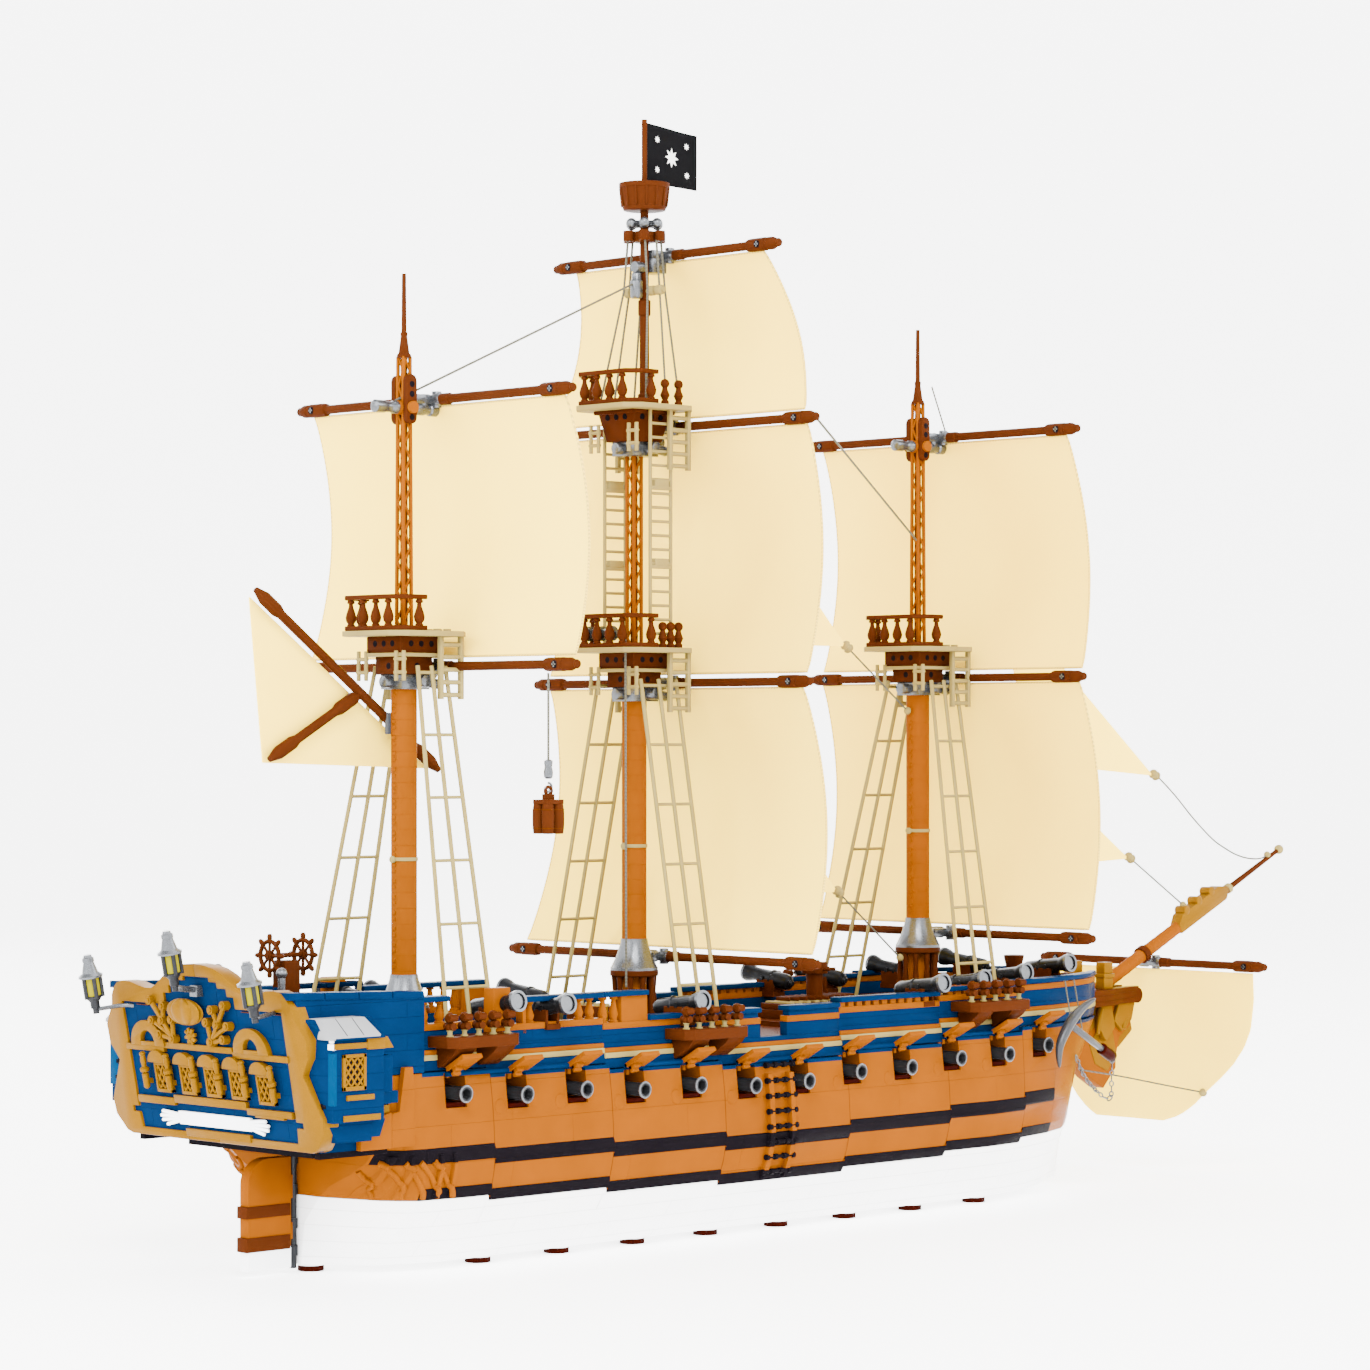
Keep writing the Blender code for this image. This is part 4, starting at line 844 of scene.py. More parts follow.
class Repeats:
    """A Geometry Nodes tree that sets one shape on many points."""

    def __init__(self) -> None:
        """Builds the tree with its named inputs."""
        self.tree = bpy.data.node_groups.new("pieces_on_points", "GeometryNodeTree")
        face = self.tree.interface
        face.new_socket("Points", in_out="INPUT", socket_type="NodeSocketGeometry")
        sockets = {"Piece": "NodeSocketObject", "Size": "NodeSocketFloat", "Finish": "NodeSocketMaterial"}
        self.keys = {
            name: face.new_socket(name, in_out="INPUT", socket_type=kind).identifier for name, kind in sockets.items()
        }
        face.new_socket("Geometry", in_out="OUTPUT", socket_type="NodeSocketGeometry")
        kinds = ("NodeGroupInput", "GeometryNodeObjectInfo", "GeometryNodeInputNamedAttribute",
                 "GeometryNodeInstanceOnPoints", "GeometryNodeRealizeInstances", "GeometryNodeSetMaterial",
                 "NodeGroupOutput")
        given, shape, turn, place, real, dress, out = (self.tree.nodes.new(k) for k in kinds)
        turn.data_type = "FLOAT_VECTOR"
        turn.inputs["Name"].default_value = "turn"
        wires = (
            (given.outputs["Points"], place.inputs["Points"]), (given.outputs["Piece"], shape.inputs["Object"]),
            (shape.outputs["Geometry"], place.inputs["Instance"]),
            (turn.outputs["Attribute"], place.inputs["Rotation"]),
            (given.outputs["Size"], place.inputs["Scale"]), (place.outputs[0], real.inputs[0]),
            (real.outputs[0], dress.inputs["Geometry"]), (given.outputs["Finish"], dress.inputs["Material"]),
            (dress.outputs[0], out.inputs[0]),
        )
        for start, end in wires:
            self.tree.links.new(start, end)

    def set(self, name: str, shape: Moulding, spots: Sequence[Spot], finish: Finish, body: str = "ship",
            nodes: Iterable[str] = (), turns: Sequence[Spot] | None = None, bevel: float = 0.0) -> bpy.types.Object:
        """Sets a shape on spots, as one plain piece.

        Args:
            name: The piece's name.
            shape: The shape about its own middle.
            spots: Where it stands.
            finish: Its finish.
            body: The body that it moves with.
            nodes: The CAD nodes that it stands for.
            turns: How each is turned, in degrees about X, Y and Z.
            bevel: The width of its rounded edges.

        Returns:
            The piece.
        """
        pattern = shape.loose(name + "_pattern")
        if bevel:
            rounder = pattern.modifiers.new("edges", "BEVEL")
            rounder.width = bevel * MM
            rounder.limit_method = "ANGLE"
            plain(pattern)
        mesh = bpy.data.meshes.new(name)
        mesh.from_pydata([((p - MIDDLE) * MM, -q * MM, z * MM) for p, q, z in spots], [], [])
        turning = mesh.attributes.new("turn", "FLOAT_VECTOR", "POINT")
        for k, turn in enumerate(turns or [(0.0, 0.0, 0.0)] * len(spots)):
            turning.data[k].vector = tuple(math.radians(a) for a in turn)
        piece = placed(name, mesh)
        setter = piece.modifiers.new("repeat", "NODES")
        setter.node_group = self.tree
        for key, value in (("Piece", pattern), ("Size", 1.0), ("Finish", finish.material())):
            setter[self.keys[key]] = value
        plain(piece)
        bpy.data.objects.remove(pattern)
        return settle(piece, finish, body, nodes)


def skin(node: str, finish: Finish, body: str = "ship", bevel: float = 0.25, angle: float = 24.0,
         shift: Callable[[Spot], Spot] | None = None) -> bpy.types.Object:
    """Dresses a merged copy of a CAD node, with rounded edges.

    Args:
        node: The node.
        finish: Its finish.
        body: The body that it moves with.
        bevel: The width of its rounded edges.
        angle: The angle over which an edge stays sharp.
        shift: How it moves a place of the node to the photograph's.

    Returns:
        The piece that stands for the node.
    """
    shape = bmesh.new()
    shape.from_mesh(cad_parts[node].data)
    bmesh.ops.remove_doubles(shape, verts=shape.verts, dist=2e-6)
    if shift is not None:
        for corner in shape.verts:
            x, y, z = corner.co / MM
            p, q, z = shift((x + MIDDLE, -y, z))
            corner.co = ((p - MIDDLE) * MM, -q * MM, z * MM)
    bmesh.ops.dissolve_limit(shape, angle_limit=math.radians(0.4), verts=shape.verts, edges=shape.edges)
    return settle(cast(node + "_dressed", shape), finish, body, [node], bevel, angle)


# ---------------------------------------------------------------- sub-assemblies


REPEATS = Repeats()


@dataclass
class Hull:
    """The white underbody, the planked side with its wales, and the striped topside."""

    rung_low: float = 42.0
    rung_pitch: float = 9.6
    rungs: int = 8
    ladder: Pair = (223.5, 247.5)
    topside: Pair = (-55.5, 600.0)

    def build(self) -> None:
        """Makes the hull's pieces."""
        skin("hull_bottom", WHITE, bevel=0.4)
        wall = skin("hull_side", PLANKING)
        self.stripes()
        self.fittings()
        self.ribs(wall)
        self.stem()

    def stripes(self) -> None:
        """Makes the blue, tan and orange bands and the decks."""
        blue, tan, orange, deck = Moulding(), Moulding(), Moulding(), Moulding()
        for side in Side:
            blue.strake(side, self.topside, (111.3, TAN_EDGE), 0.965, 0.70)
            tan.strake(side, self.topside, (TAN_EDGE + 0.05, 120.6), 0.974, 0.70)
            orange.strake(side, self.topside, (120.65, 123.4), 0.968, 0.70)
            blue.strake(side, self.topside, (123.45, DECK), 0.955, 0.70)
            for aft, fore, sheer in LINES.runs(*self.topside):
                parts = 1 if fore < 477 else 10
                for k in range(parts):
                    a, b = aft + (fore - aft) * k / parts, aft + (fore - aft) * (k + 1) / parts
                    wide = min(LINES.breadth(a, DECK), LINES.breadth(b, DECK)) * 0.9
                    deck.box((a, b), (0.0, side.value * wide), (DECK + sheer - 4, DECK + sheer + 0.1))
        blue.done("topside_blue", BLUE, nodes=["topside_deck"], bevel=0.3)
        tan.done("topside_tan", TAN, nodes=["topside_deck"], bevel=0.3)
        orange.done("topside_orange", ORANGE, nodes=["topside_deck"], bevel=0.3)
        deck.done("deck_planks", DECK_PLANKS, nodes=["topside_deck"])

    def fittings(self) -> None:
        """Makes the ladder rungs, the port sills and the round pads beside the ports."""
        rung = Moulding(local=True)
        a, b = -11.5, 11.5
        rung.rod((a, 0, 0), (b, 0, 0), 1.1, sides=10)
        for end in (a, b, -4.0, 4.0):
            rung.rod((end - 1.3, 0, 0), (end + 1.3, 0, 0), 1.9, sides=10)
        spots = []
        for side in Side:
            for k in range(self.rungs):
                height = self.rung_low + k * self.rung_pitch
                spots.append((sum(self.ladder) / 2, side.value * (LINES.breadth(235, height) * 1.02 + 1.2), height))
        REPEATS.set("ladder_rungs", rung, spots, BLACK)
        pads, sills, hinges = Moulding(), Moulding(), Moulding()
        for side in Side:
            for k in range(12):
                station = gun_port(k)
                rise = LINES.sheer(station)
                if k < 11:
                    wide = LINES.breadth(station - 14, 91 + rise)
                    if k:
                        pads.rod((station - 14, side.value * (wide - 2), 91 + rise),
                                 (station - 14, side.value * (wide + 0.3), 91.2 + rise), 5.2, 4.4, 20)
                sills.box((station - 8, station + 8), sorted((side.value * 66.2, side.value * (LINES.breadth(
                    station + 8, 91 + rise) - 1.2))), (89.6 + rise, 92.4 + rise))
                edge = LINES.breadth(station, 110 + rise)
                for shift in (-6.4, -2.2):
                    hinges.box((station + shift, station + shift + 2.6), sorted((side.value * (edge - 9), side.value * (
                        edge - 4))), (106.4 + rise, 110 + rise))
        pads.done("port_pads", ORANGE, bevel=0.5)
        sills.done("port_sills", DARK_RED, bevel=0.3)
        hinges.done("lid_brackets", ORANGE, bevel=0.3)

    def ribs(self, wall: bpy.types.Object) -> None:
        """Makes the curved ribs of the quarter under the castle.

        Args:
            wall: The hull's side, which the ribs lie on.
        """
        ribs = Moulding()
        for side in Side:
            out = -side.value
            for k in range(5):
                line = []
                for j in range(15):
                    share = j / 14
                    p, z = -72.0 + 9.4 * k - 16.0 * (1 - share) ** 1.8, 69.0 - 25.0 * share
                    start = Vector(((p - MIDDLE) * MM, out * 0.2, z * MM))
                    hit, spot, _, _ = wall.ray_cast(start, Vector((0.0, -out, 0.0)))
                    if hit and abs(spot.y) > 0.004:
                        line.append((p, side.value * (abs(spot.y) / MM + 0.3), z))
                if len(line) > 6:
                    ribs.tube(line, 1.9, 10)
        ribs.done("quarter_ribs", ORANGE)

    def stem(self) -> None:
        """Makes the lattice at the stem and the pins under it."""
        bars, back, pins = Moulding(), Moulding(), Moulding()
        back.box((600.1, 601.0), (-7.4, 7.4), (52.0, 80.0))
        for k in range(5):
            bars.box((600.6, 602.2), (-8 + k * 3.6, -6.4 + k * 3.6), (51.0, 81.0))
        for k in range(9):
            bars.box((600.6, 602.0), (-8.0, 8.0), (51.0 + k * 3.55, 52.5 + k * 3.55))
        for side in Side:
            for k in range(3):
                spot = (596.0, side.value * (8.5 + 2.2 * k), 48.6)
                pins.rod(spot, (spot[0] + 5 - k, spot[1] + side.value * 2.0, spot[2]), 1.5, sides=8)
        back.done("stem_panel", TAN)
        bars.done("stem_lattice", ORANGE, bevel=0.2)
        pins.done("stem_pins", BLACK)


@dataclass
class Bulwark:
    """The stepped bulwark: a blue wall, orange sills, balusters and blue cap rails."""

    caps: tuple[tuple[float, float, float], ...] = (
        (-55.5, -31.0, 164.0), (26.0, 130.0, 160.6), (130.0, 300.0, 145.0),
        (300.0, 396.0, 148.0), (396.0, 476.0, 150.5), (476.0, 600.0, 152.0),
    )
    walls: tuple[Pair, ...] = ((-55.5, -52.0), (27.0, 30.0), (108.0, 130.0))
    balusters: tuple[float, ...] = (-48.5, -36.0, 35.0, 75.0, 84.0, 95.0, 104.0)
    blues: tuple[Pair, ...] = ((130.0, 156.0), (172.0, 226.0), (254.0, 300.0), (476.0, 532.0), (558.0, 596.0))
    base_top: float = 134.7
    sill_top: float = 138.6

    def build(self) -> None:
        """Makes the bulwark's pieces."""
        blue, orange, caps, teeth = Moulding(), Moulding(), Moulding(), []
        for side in Side:
            for span in ((-55.5, 228.0), (252.0, 600.0)):
                blue.strake(side, span, (DECK + 0.1, self.base_top), 0.955, 0.88)
                orange.strake(side, span, (self.base_top + 0.05, self.sill_top), 0.963, 0.88)
            for aft, fore, top in self.caps:
                for a, b in ((aft, min(fore, 228.0)), (252.0, fore)) if aft < 228 < fore else ((aft, fore),):
                    caps.strake(side, (a + 0.2, b - 0.2), (top - PLATE, top), 0.985, 0.855, False)
            for span in self.walls:
                orange.strake(side, span, (self.sill_top, self.cap_at(sum(span) / 2) - PLATE - 0.05), 0.955, 0.88,
                              False)
            for a, b in self.blues:
                for aft, fore, sheer in LINES.runs(a, b):
                    top = self.cap_at((aft + fore) / 2) - PLATE - 0.05
                    blue.strake(side, (aft, fore), (self.sill_top + sheer + 0.05, top), 0.957, 0.89, False)
            station = 304.0
            while station < 474.0:
                rise = LINES.sheer(station)
                top = self.cap_at(station) - PLATE
                wide = LINES.breadth(station, 140) * 0.92
                if not any(abs(station - s) < 9 for s in (399.0, 441.0)):
                    teeth.append((station, side.value * wide, (self.sill_top + rise + top) / 2))
                station += 8.0
            orange.box((0.5, 14.0), sorted((side.value * 72, side.value * 80.5)), (145.0, 167.0))
            caps.strake(Side.PORT, (-30.5, 25.6), (160.8, 164.0), 0.985, 0.855, False)
        blue.done("bulwark_blue", BLUE_COURSES, nodes=["bulwark"], bevel=0.3)
        orange.done("bulwark_sills", ORANGE, nodes=["bulwark"], bevel=0.3)
        caps.done("cap_rails", BLUE, nodes=["bulwark"], bevel=0.8)
        clip = Moulding(local=True)
        clip.box((-2.6, 2.6), (-2.6, 2.6), (-4.5, 4.5))
        REPEATS.set("rail_clips", clip, teeth, ORANGE, bevel=0.4)
        self.posts()

    def cap_at(self, station: float) -> float:
        """Gives the height of the cap rail's top."""
        return next(top for _, fore, top in self.caps if station <= fore)

    def posts(self) -> None:
        """Sets the turned balusters between the sill and the cap."""
        for number, (aft, fore, top) in enumerate(self.caps[:2]):
            for a, b, sheer in LINES.runs(aft, fore):
                foot = self.sill_top + sheer
                tall = top - PLATE - foot
                profile = [(0, 3.0), (0.06, 3.0), (0.10, 2.2), (0.32, 3.1), (0.62, 1.9), (0.86, 1.5), (0.9, 2.6),
                           (1.0, 2.6)]
                post = Moulding(local=True)
                post.turned((0, 0, 0), (0, 0, tall), [(t * tall, r) for t, r in profile], 14)
                spots = [(s, side.value * LINES.breadth(s, foot) * 0.915, foot) for s in self.balusters
                         if a < s < b for side in Side]
                if spots:
                    REPEATS.set(f"rail_posts_{number}_{round(a)}", post, spots, ORANGE)


@dataclass
class Channels:
    """The deadeye boards outside the bulwark."""

    boards: tuple[tuple[float, float, float], ...] = ((-48.0, 8.0, 134.6), (144.0, 199.0, 129.4), (407.0, 466.0, 134.0))
    deep: float = 6.6

    def build(self) -> None:
        """Makes the boards, their brackets and their deadeyes."""
        board, spots = Moulding(), []
        for side in Side:
            for aft, fore, low in self.boards:
                corner = 5.0
                outline = [(aft, 77.5), (fore, 77.5), (fore, 100 - corner), (fore - corner, 100), (aft + corner, 100),
                           (aft, 100 - corner)]
                board.plate([(p, side.value * q) for p, q in outline], Lie.LEVEL, low, low + self.deep)
                for share in (0.24, 0.80):
                    middle = aft + share * (fore - aft)
                    wedge = [(78.0, low), (97.0, low), (94.0, low - 3.5), (81.0, low - 12.0), (78.0, low - 12.0)]
                    board.plate([(side.value * q, z) for q, z in wedge], Lie.ACROSS, middle - 7.5, middle + 7.5)
                pitch = (fore - aft) / 5
                spots += [(aft + (k + 0.5) * pitch, side.value * 91.0, low + self.deep) for k in range(5)]
        board.done("deadeye_boards", BROWN, bevel=0.5)
        foot, eye = Moulding(local=True), Moulding(local=True)
        foot.turned((0, 0, 0), (0, 0, 1), [(0, 2.3), (0.6, 2.3), (0.8, 1.5), (3.0, 1.5), (3.2, 2.0), (3.8, 2.0)], 12)
        eye.turned((0, 0, 0), (0, 0, 1), [(3.6, 1.6), (4.2, 2.6), (6.2, 3.0), (7.4, 2.4), (7.8, 1.8)], 12)
        eye.ball((0, 0, 10.8), 3.2, 12)
        eye.rod((0, -3.6, 6.0), (0, 3.6, 6.0), 2.3, sides=12)
        eye.rod((-3.0, 2.2, 11.0), (3.0, 2.2, 11.0), 2.2, sides=10)
        REPEATS.set("deadeye_feet", foot, spots, TAN)
        REPEATS.set("deadeyes", eye, spots, BROWN)


@dataclass
class Lids:
    """The runs of port lids on their rods."""

    runs: tuple[tuple[int, ...], ...] = ((0, 1, 2), (3, 4), (5, 6), (7, 8), (9, 10), (11,))
    height: float = 112.4
    rise: float = math.radians(29.0)
    long: float = 16.6

    def build(self) -> None:
        """Makes each run on its body: the rod in blue, the lids and their brackets in orange."""
        for side in Side:
            for number, run in enumerate(self.runs, 1):
                body, node = f"lids_{side.word}_{number}", f"port_lids_{side.word}_{number}"
                wide = {0: 84.7, 11: 80.3}.get(run[0], 84.0)
                stations = [gun_port(k) for k in run]
                level = self.height + LINES.sheer(stations[-1])
                rod, lids = Moulding(), Moulding()
                rod.rod((stations[0] - 7.6, side.value * wide, level), (stations[-1] + 7.6, side.value * wide, level),
                        1.4)
                for station in stations:
                    self.lid(lids, side, station, wide, self.height + LINES.sheer(station))
                    step = LINES.sheer(station) - LINES.sheer(stations[-1])
                    if step > 0.1:
                        rod.box((station - 5, station + 5),
                                sorted((side.value * (wide - 0.9), side.value * (wide + 0.9))),
                                (level, level + step))
                rod.done(f"lid_rod_{side.word}_{number}", BLUE, body)
                lids.done(f"lids_{side.word}_{number}_boards", ORANGE, body, [node], 0.3)

    def lid(self, lids: Moulding, side: Side, station: float, wide: float, level: float) -> None:
        """Adds a lid and the stepped bracket under it.

        Args:
            lids: Where it is added.
            side: The side of the ship.
            station: The lid's middle.
            wide: The rod's breadth.
            level: The rod's height.
        """
        cos, sin = math.cos(self.rise), math.sin(self.rise)

        def out(along: float, up: float) -> Pair:
            """Leans a point of the lid's edge."""
            return (side.value * (wide + along * cos - up * sin), level + along * sin + up * cos)
        board = [out(-0.6, -1.3), out(self.long, -1.3), out(self.long, 1.5), out(-0.6, 1.5)]
        lids.plate(board, Lie.ACROSS, station - 7.6, station + 7.6)
        for a, b, low in ((1.0, 6.4, -3.6), (1.0, 3.6, -5.4)):
            bracket = [out(a, -1.2), out(b, -1.2), out(b, low), out(a, low)]
            lids.plate(bracket, Lie.ACROSS, station - 6.4, station - 1.0)


@dataclass
class Guns:
    """The gun barrels in the ports and the guns on deck."""

    deck: tuple[Spot, ...] = ((10.0, 71.5, 156.4), (50.0, 71.5, 153.2), (163.0, 71.5, 149.8), (386.0, 70.0, 151.2),
                              (433.0, 64.5, 151.6), (491.0, 51.0, 153.2), (551.5, 38.0, 156.6))
    long: float = 40.0

    def build(self) -> None:
        """Makes barrels, muzzle rings and deck guns, with painted shade inside the deck guns' muzzles."""
        rings, spots, turns = [], [], []
        for side in Side:
            skin(f"guns_{side.word}", GREY, bevel=0.2)
            for k in range(12):
                muzzle = 87.0 if k == 11 else 94.0
                rings.append((gun_port(k), side.value * (muzzle - 0.6), 98 + LINES.sheer(gun_port(k))))
            for p, q, z in self.deck:
                spots.append((p, side.value * q, z))
                turns.append((0.0, -9.0, -90.0 if side is Side.STARBOARD else 90.0))
        ring = Moulding(local=True)
        ring.hoop((0, 0, 0), Lie.ALONG, 4.6, 0.75, 24, 8)
        REPEATS.set("muzzle_rings", ring, rings, SILVER)
        barrel, rim, seat = Moulding(local=True), Moulding(local=True), Moulding(local=True)
        profile = [(-3, 1.5), (-1.8, 2.6), (-0.8, 2.0), (0.4, 4.6), (3.0, 5.6), (14, 5.3), (14.6, 5.9), (16, 5.9),
                   (16.6, 5.2),
                   (32, 4.6), (34, 5.0), (37.0, 6.0), (41.0, 6.3), (41.0, 4.7), (34.0, 4.5)]
        barrel.turned((-20, 0, 0), (0, 0, 0), profile, 20)
        barrel.rod((2, -6.2, -0.5), (2, 6.2, -0.5), 1.7, sides=10)
        rim.turned((-20, 0, 0), (0, 0, 0), [(39.6, 6.45), (41.5, 6.4), (41.5, 4.9), (40.2, 4.7)], 28)
        seat.box((-9, 7), (-5.6, -3.6), (-10, -1.2)).box((-9, 7), (3.6, 5.6), (-10, -1.2))
        seat.box((-10, 8), (-5.6, 5.6), (-13, -9.6)).box((-8, -4), (-4, 4), (-10, -5))
        REPEATS.set("deck_guns", barrel, spots, IRON, turns=turns, nodes=["topside_deck"])
        # Painted shade: a black cup inside each muzzle, where the bore lies in shade.
        muzzle_shade = Moulding(local=True)
        muzzle_shade.turned((-20, 0, 0), (0, 0, 0), [(34.2, 4.3), (40.7, 4.62), (40.7, 4.5), (35.0, 4.1)], 20)
        REPEATS.set("deck_gun_bores", muzzle_shade, spots, BLACK, turns=turns)
        REPEATS.set("deck_gun_rims", rim, spots, SILVER, turns=turns)
        REPEATS.set("deck_gun_seats", seat, spots, BROWN, turns=[(0, 0, t[2]) for t in turns], bevel=0.3)


@dataclass
class DeckFittings:
    """What stands on the decks: hatch, boat, capstan, funnel and lockers."""

    hatch: Pair = (316.0, 400.0)

    def build(self) -> None:
        """Makes the deck's fittings."""
        brown, tan, silver, gold = Moulding(), Moulding(), Moulding(), Moulding()
        base = DECK + PLATE
        brown.box(self.hatch, (-16, 16), (base, base + 6)).box((320, 396), (-13, 13), (base + 6, base + 10))
        for k in range(9):
            tan.box((323 + 8 * k, 327 + 8 * k), (-11.5, 11.5), (base + 10, base + 11.2))
        rows = [(p, 12.0 * math.sin(math.pi * (p - 322) / 76) ** 0.6 + 1) for p in range(322, 399, 6)]
        for p, wide in rows[1:-1]:
            brown.box((p - 0.6, p + 0.6), (-wide, wide), (141.0, 143.6))
        brown.rod((358, 0, base), (358, 0, 163), 5.0, 6.0, 16).rod((358, 0, 158), (358, 0, 165.5), 8.8, sides=20)
        for k in range(4):
            t = math.pi * k / 4
            brown.rod((358 - 14 * math.cos(t), -14 * math.sin(t), 161), (358 + 14 * math.cos(t), 14 * math.sin(t), 161),
                      1.1,
                      sides=8)
        silver.rod((358, 0, 165.5), (358, 0, 167.0), 3.4, sides=16)
        brown.turned((560, 0, DECK + 9), (560, 0, 163),
                     [(0, 6), (2, 6), (3, 4), (14, 3.4), (17, 5.0), (26, 7.2), (27.4, 7.2)], 18)
        brown.box((150, 162), (-18, 18), (base, 146)).box((85, 125), (-14, 14), (DECK + PLATE, 134.5))
        for k in range(5):
            gold.box((88 + 8 * k, 89 + 8 * k), (-14.2, 14.2), (131.0, 134.8))
        for p in (151.0, 161.0):
            gold.box((p - 0.8, p + 0.8), (-18.2, 18.2), (131.0, 146.2))
        brown.done("deck_fittings", BROWN, nodes=["topside_deck"], bevel=0.4)
        tan.done("hatch_slats", TAN, bevel=0.3)
        silver.done("capstan_cap", SILVER, bevel=0.3)
        gold.done("locker_straps", GOLD, bevel=0.2)
        studs = Moulding(local=True)
        studs.turned((0, 0, 0), (0, 0, 1), [(0, 2.4), (1.5, 2.4), (1.7, 2.2)], 14)
        spots = [(p, q, 146.0) for p in (156.0,) for q in (-12.0, -4.0, 4.0, 12.0)]
        spots += [(p, q, LINES.sheer(p) + DECK + 0.1) for p in range(12, 84, 8) for q in (-44.0, -36.0, 36.0, 44.0)]
        spots += [(p, q, LINES.sheer(p) + DECK + 0.1) for p in range(500, 548, 8) for q in (-20.0, -12.0, 12.0, 20.0)]
        REPEATS.set("deck_studs", studs, spots, TAN)


UPPER_TOP: Pair = (503.0, 526.0)


@dataclass
class Mast:
    """A mast: its silver foot, round shaft, top and square topmast."""

    name: str
    station: float
    base: float
    cone: float
    block: float
    platform: float
    head: float
    crowned: bool = False

    def build(self) -> None:
        """Makes the mast's pieces."""
        self.foot()
        tops = [(self.block, self.platform)]
        if self.crowned:
            tops.append(UPPER_TOP)
        for number, (low, high) in enumerate(tops):
            self.top(number, low, high)
        self.girder(self.platform - 2, self.head, 8.2, 8.2 if self.crowned else 7.0)
        if self.crowned:
            self.nest()
            self.ladders()
            self.winch()
        else:
            spike = Moulding()
            spike.turned((self.station, 0, self.head), (self.station, 0, 900),
                         [(-1, 4.4), (1, 4.4), (2, 3.4), (12, 2.0), (14, 2.3), (15, 1.6), (50, 1.3)], 14)
            spike.done(f"spike_{self.name}", BROWN)
            self.crossing()

    def crossing(self) -> None:
        """Makes the plates and the axle where the topsail yard crosses the mast."""
        x, z = self.station, 514.0
        plates, axle, hub, holes = Moulding(), Moulding(), Moulding(), Moulding()
        for side in Side:
            face = side.value * 5.6
            outline = [(x - 4 * math.cos(t), z + lift + 4 * math.sin(t)) for t, lift in (
                *((math.pi * k / 6, 16.0) for k in range(7)), *((math.pi * k / 6, -6.0) for k in range(6, 13)))]
            plates.plate(outline, Lie.ALONG, *sorted((face - 1.9, face + 1.9)))
            # Painted shade: black discs in the plates' pin holes, where their insides lie in shade.
            for lift in (14.0, 8.0, -6.0):
                holes.rod((x, face * 1.36, z + lift), (x, face * 1.2, z + lift), 1.9, sides=12)
        axle.turned((x - 24, 0, z), (x + 60, 0, z),
                    [(0, 2.6), (1, 3.9), (8, 3.9), (9, 3.2), (14, 3.2), (15, 3.9), (18, 3.9)], 18)
        axle.turned((x + 7, 0, z), (x + 60, 0, z),
                    [(0, 3.2), (1, 3.9), (8, 3.9), (9, 3.3), (12, 3.3), (13, 4.1), (18, 4.1)], 18)
        axle.rod((x + 15, 0, z), (x + 15, 0, z + 9), 3.6, sides=16)
        hub.rod((x, -9.5, z), (x, 9.5, z), 3.7, sides=18).rod((x - 6, 0, z), (x + 8, 0, z), 4.3, sides=18)
        plates.done(f"head_plates_{self.name}", BROWN, bevel=0.3)
        axle.done(f"head_axle_{self.name}", SILVER)
        hub.done(f"head_hub_{self.name}", ORANGE)
        holes.done(f"head_holes_{self.name}", BLACK)

    def foot(self) -> None:
        """Makes the balustered foot, the silver cone and the shaft."""
        node = f"mast_{self.name}"
        x, rim = self.station, self.cone - 20
        brown, silver, shaft = Moulding(), Moulding(), Moulding()
        brown.turned((x, 0, rim), (x, 0, 900), [(-4, 14.5), (-3.4, 15.5), (-0.2, 15.5), (0, 15.0)], 28)
        brown.rod((x, 0, self.base), (x, 0, self.base + 3), 15.4, sides=28)
        silver.turned((x, 0, rim), (x, 0, 900), [(0, 15.2), (1.6, 15.2), (2.2, 14.6), (9, 11.4), (17, 8.9), (19, 8.6),
                                                 (20, 8.5)], 32)
        seams: list[Pair] = []
        low, high = self.base, self.block + 1
        count = round((high - low) / 9.6)
        for k in range(count):
            a, b = low + (high - low) * k / count, low + (high - low) * (k + 1) / count
            seams += [(a - low + 0.12, 7.9), (b - low - 0.12, 7.9), (b - low, 7.7)]
        shaft.turned((x, 0, low), (x, 0, 900), seams, 24)
        zipper = Moulding(local=True)
        zipper.box((-0.7, 0.4), (-1.5, 1.5), (-1.0, 1.0))
        spots = [(x - 7.9, 0.0, self.cone + 5 + 9.6 * k) for k in range(int((self.block - self.cone - 8) / 9.6))]
        spots += [(s[0], s[1], s[2] + 3.6) for s in spots]
        REPEATS.set(f"shaft_clasps_{self.name}", zipper, spots, ORANGE)
        posts = Moulding(local=True)
        tall = rim - 4 - self.base - 3
        posts.turned((0, 0, 0), (0, 0, 1), [(0, 2.2), (tall * 0.3, 2.7), (tall * 0.7, 1.5), (tall, 2.2)], 10)
        turns = [2 * math.pi * k / 10 for k in range(10)]
        REPEATS.set(f"foot_posts_{self.name}", posts,
                    [(x + 12.4 * math.cos(t), 12.4 * math.sin(t), self.base + 3) for t in turns], BROWN)
        middle = (self.cone + self.block) / 2 - 22
        band = Moulding().rod((x, 0, middle), (x, 0, middle + 2.2), 8.5, sides=28)
        band.rod((x - 8.2, 0, middle + 1), (x - 10, 0, middle + 1), 2.2, sides=12)
        band.done(f"shaft_band_{self.name}", TAN, bevel=0.2)
        brown.done(f"foot_{self.name}", BROWN, nodes=[node], bevel=0.3)
        silver.done(f"cone_{self.name}", SILVER)
        shaft.done(f"shaft_{self.name}", ORANGE)

    def octagon(self, half: float, corner: float) -> list[Pair]:
        """Gives a square outline with its corners cut off."""
        x, inner = self.station, half - corner
        return [(x - half, -inner), (x - inner, -half), (x + inner, -half), (x + half, -inner), (x + half, inner),
                (x + inner, half), (x - inner, half), (x - half, inner)]

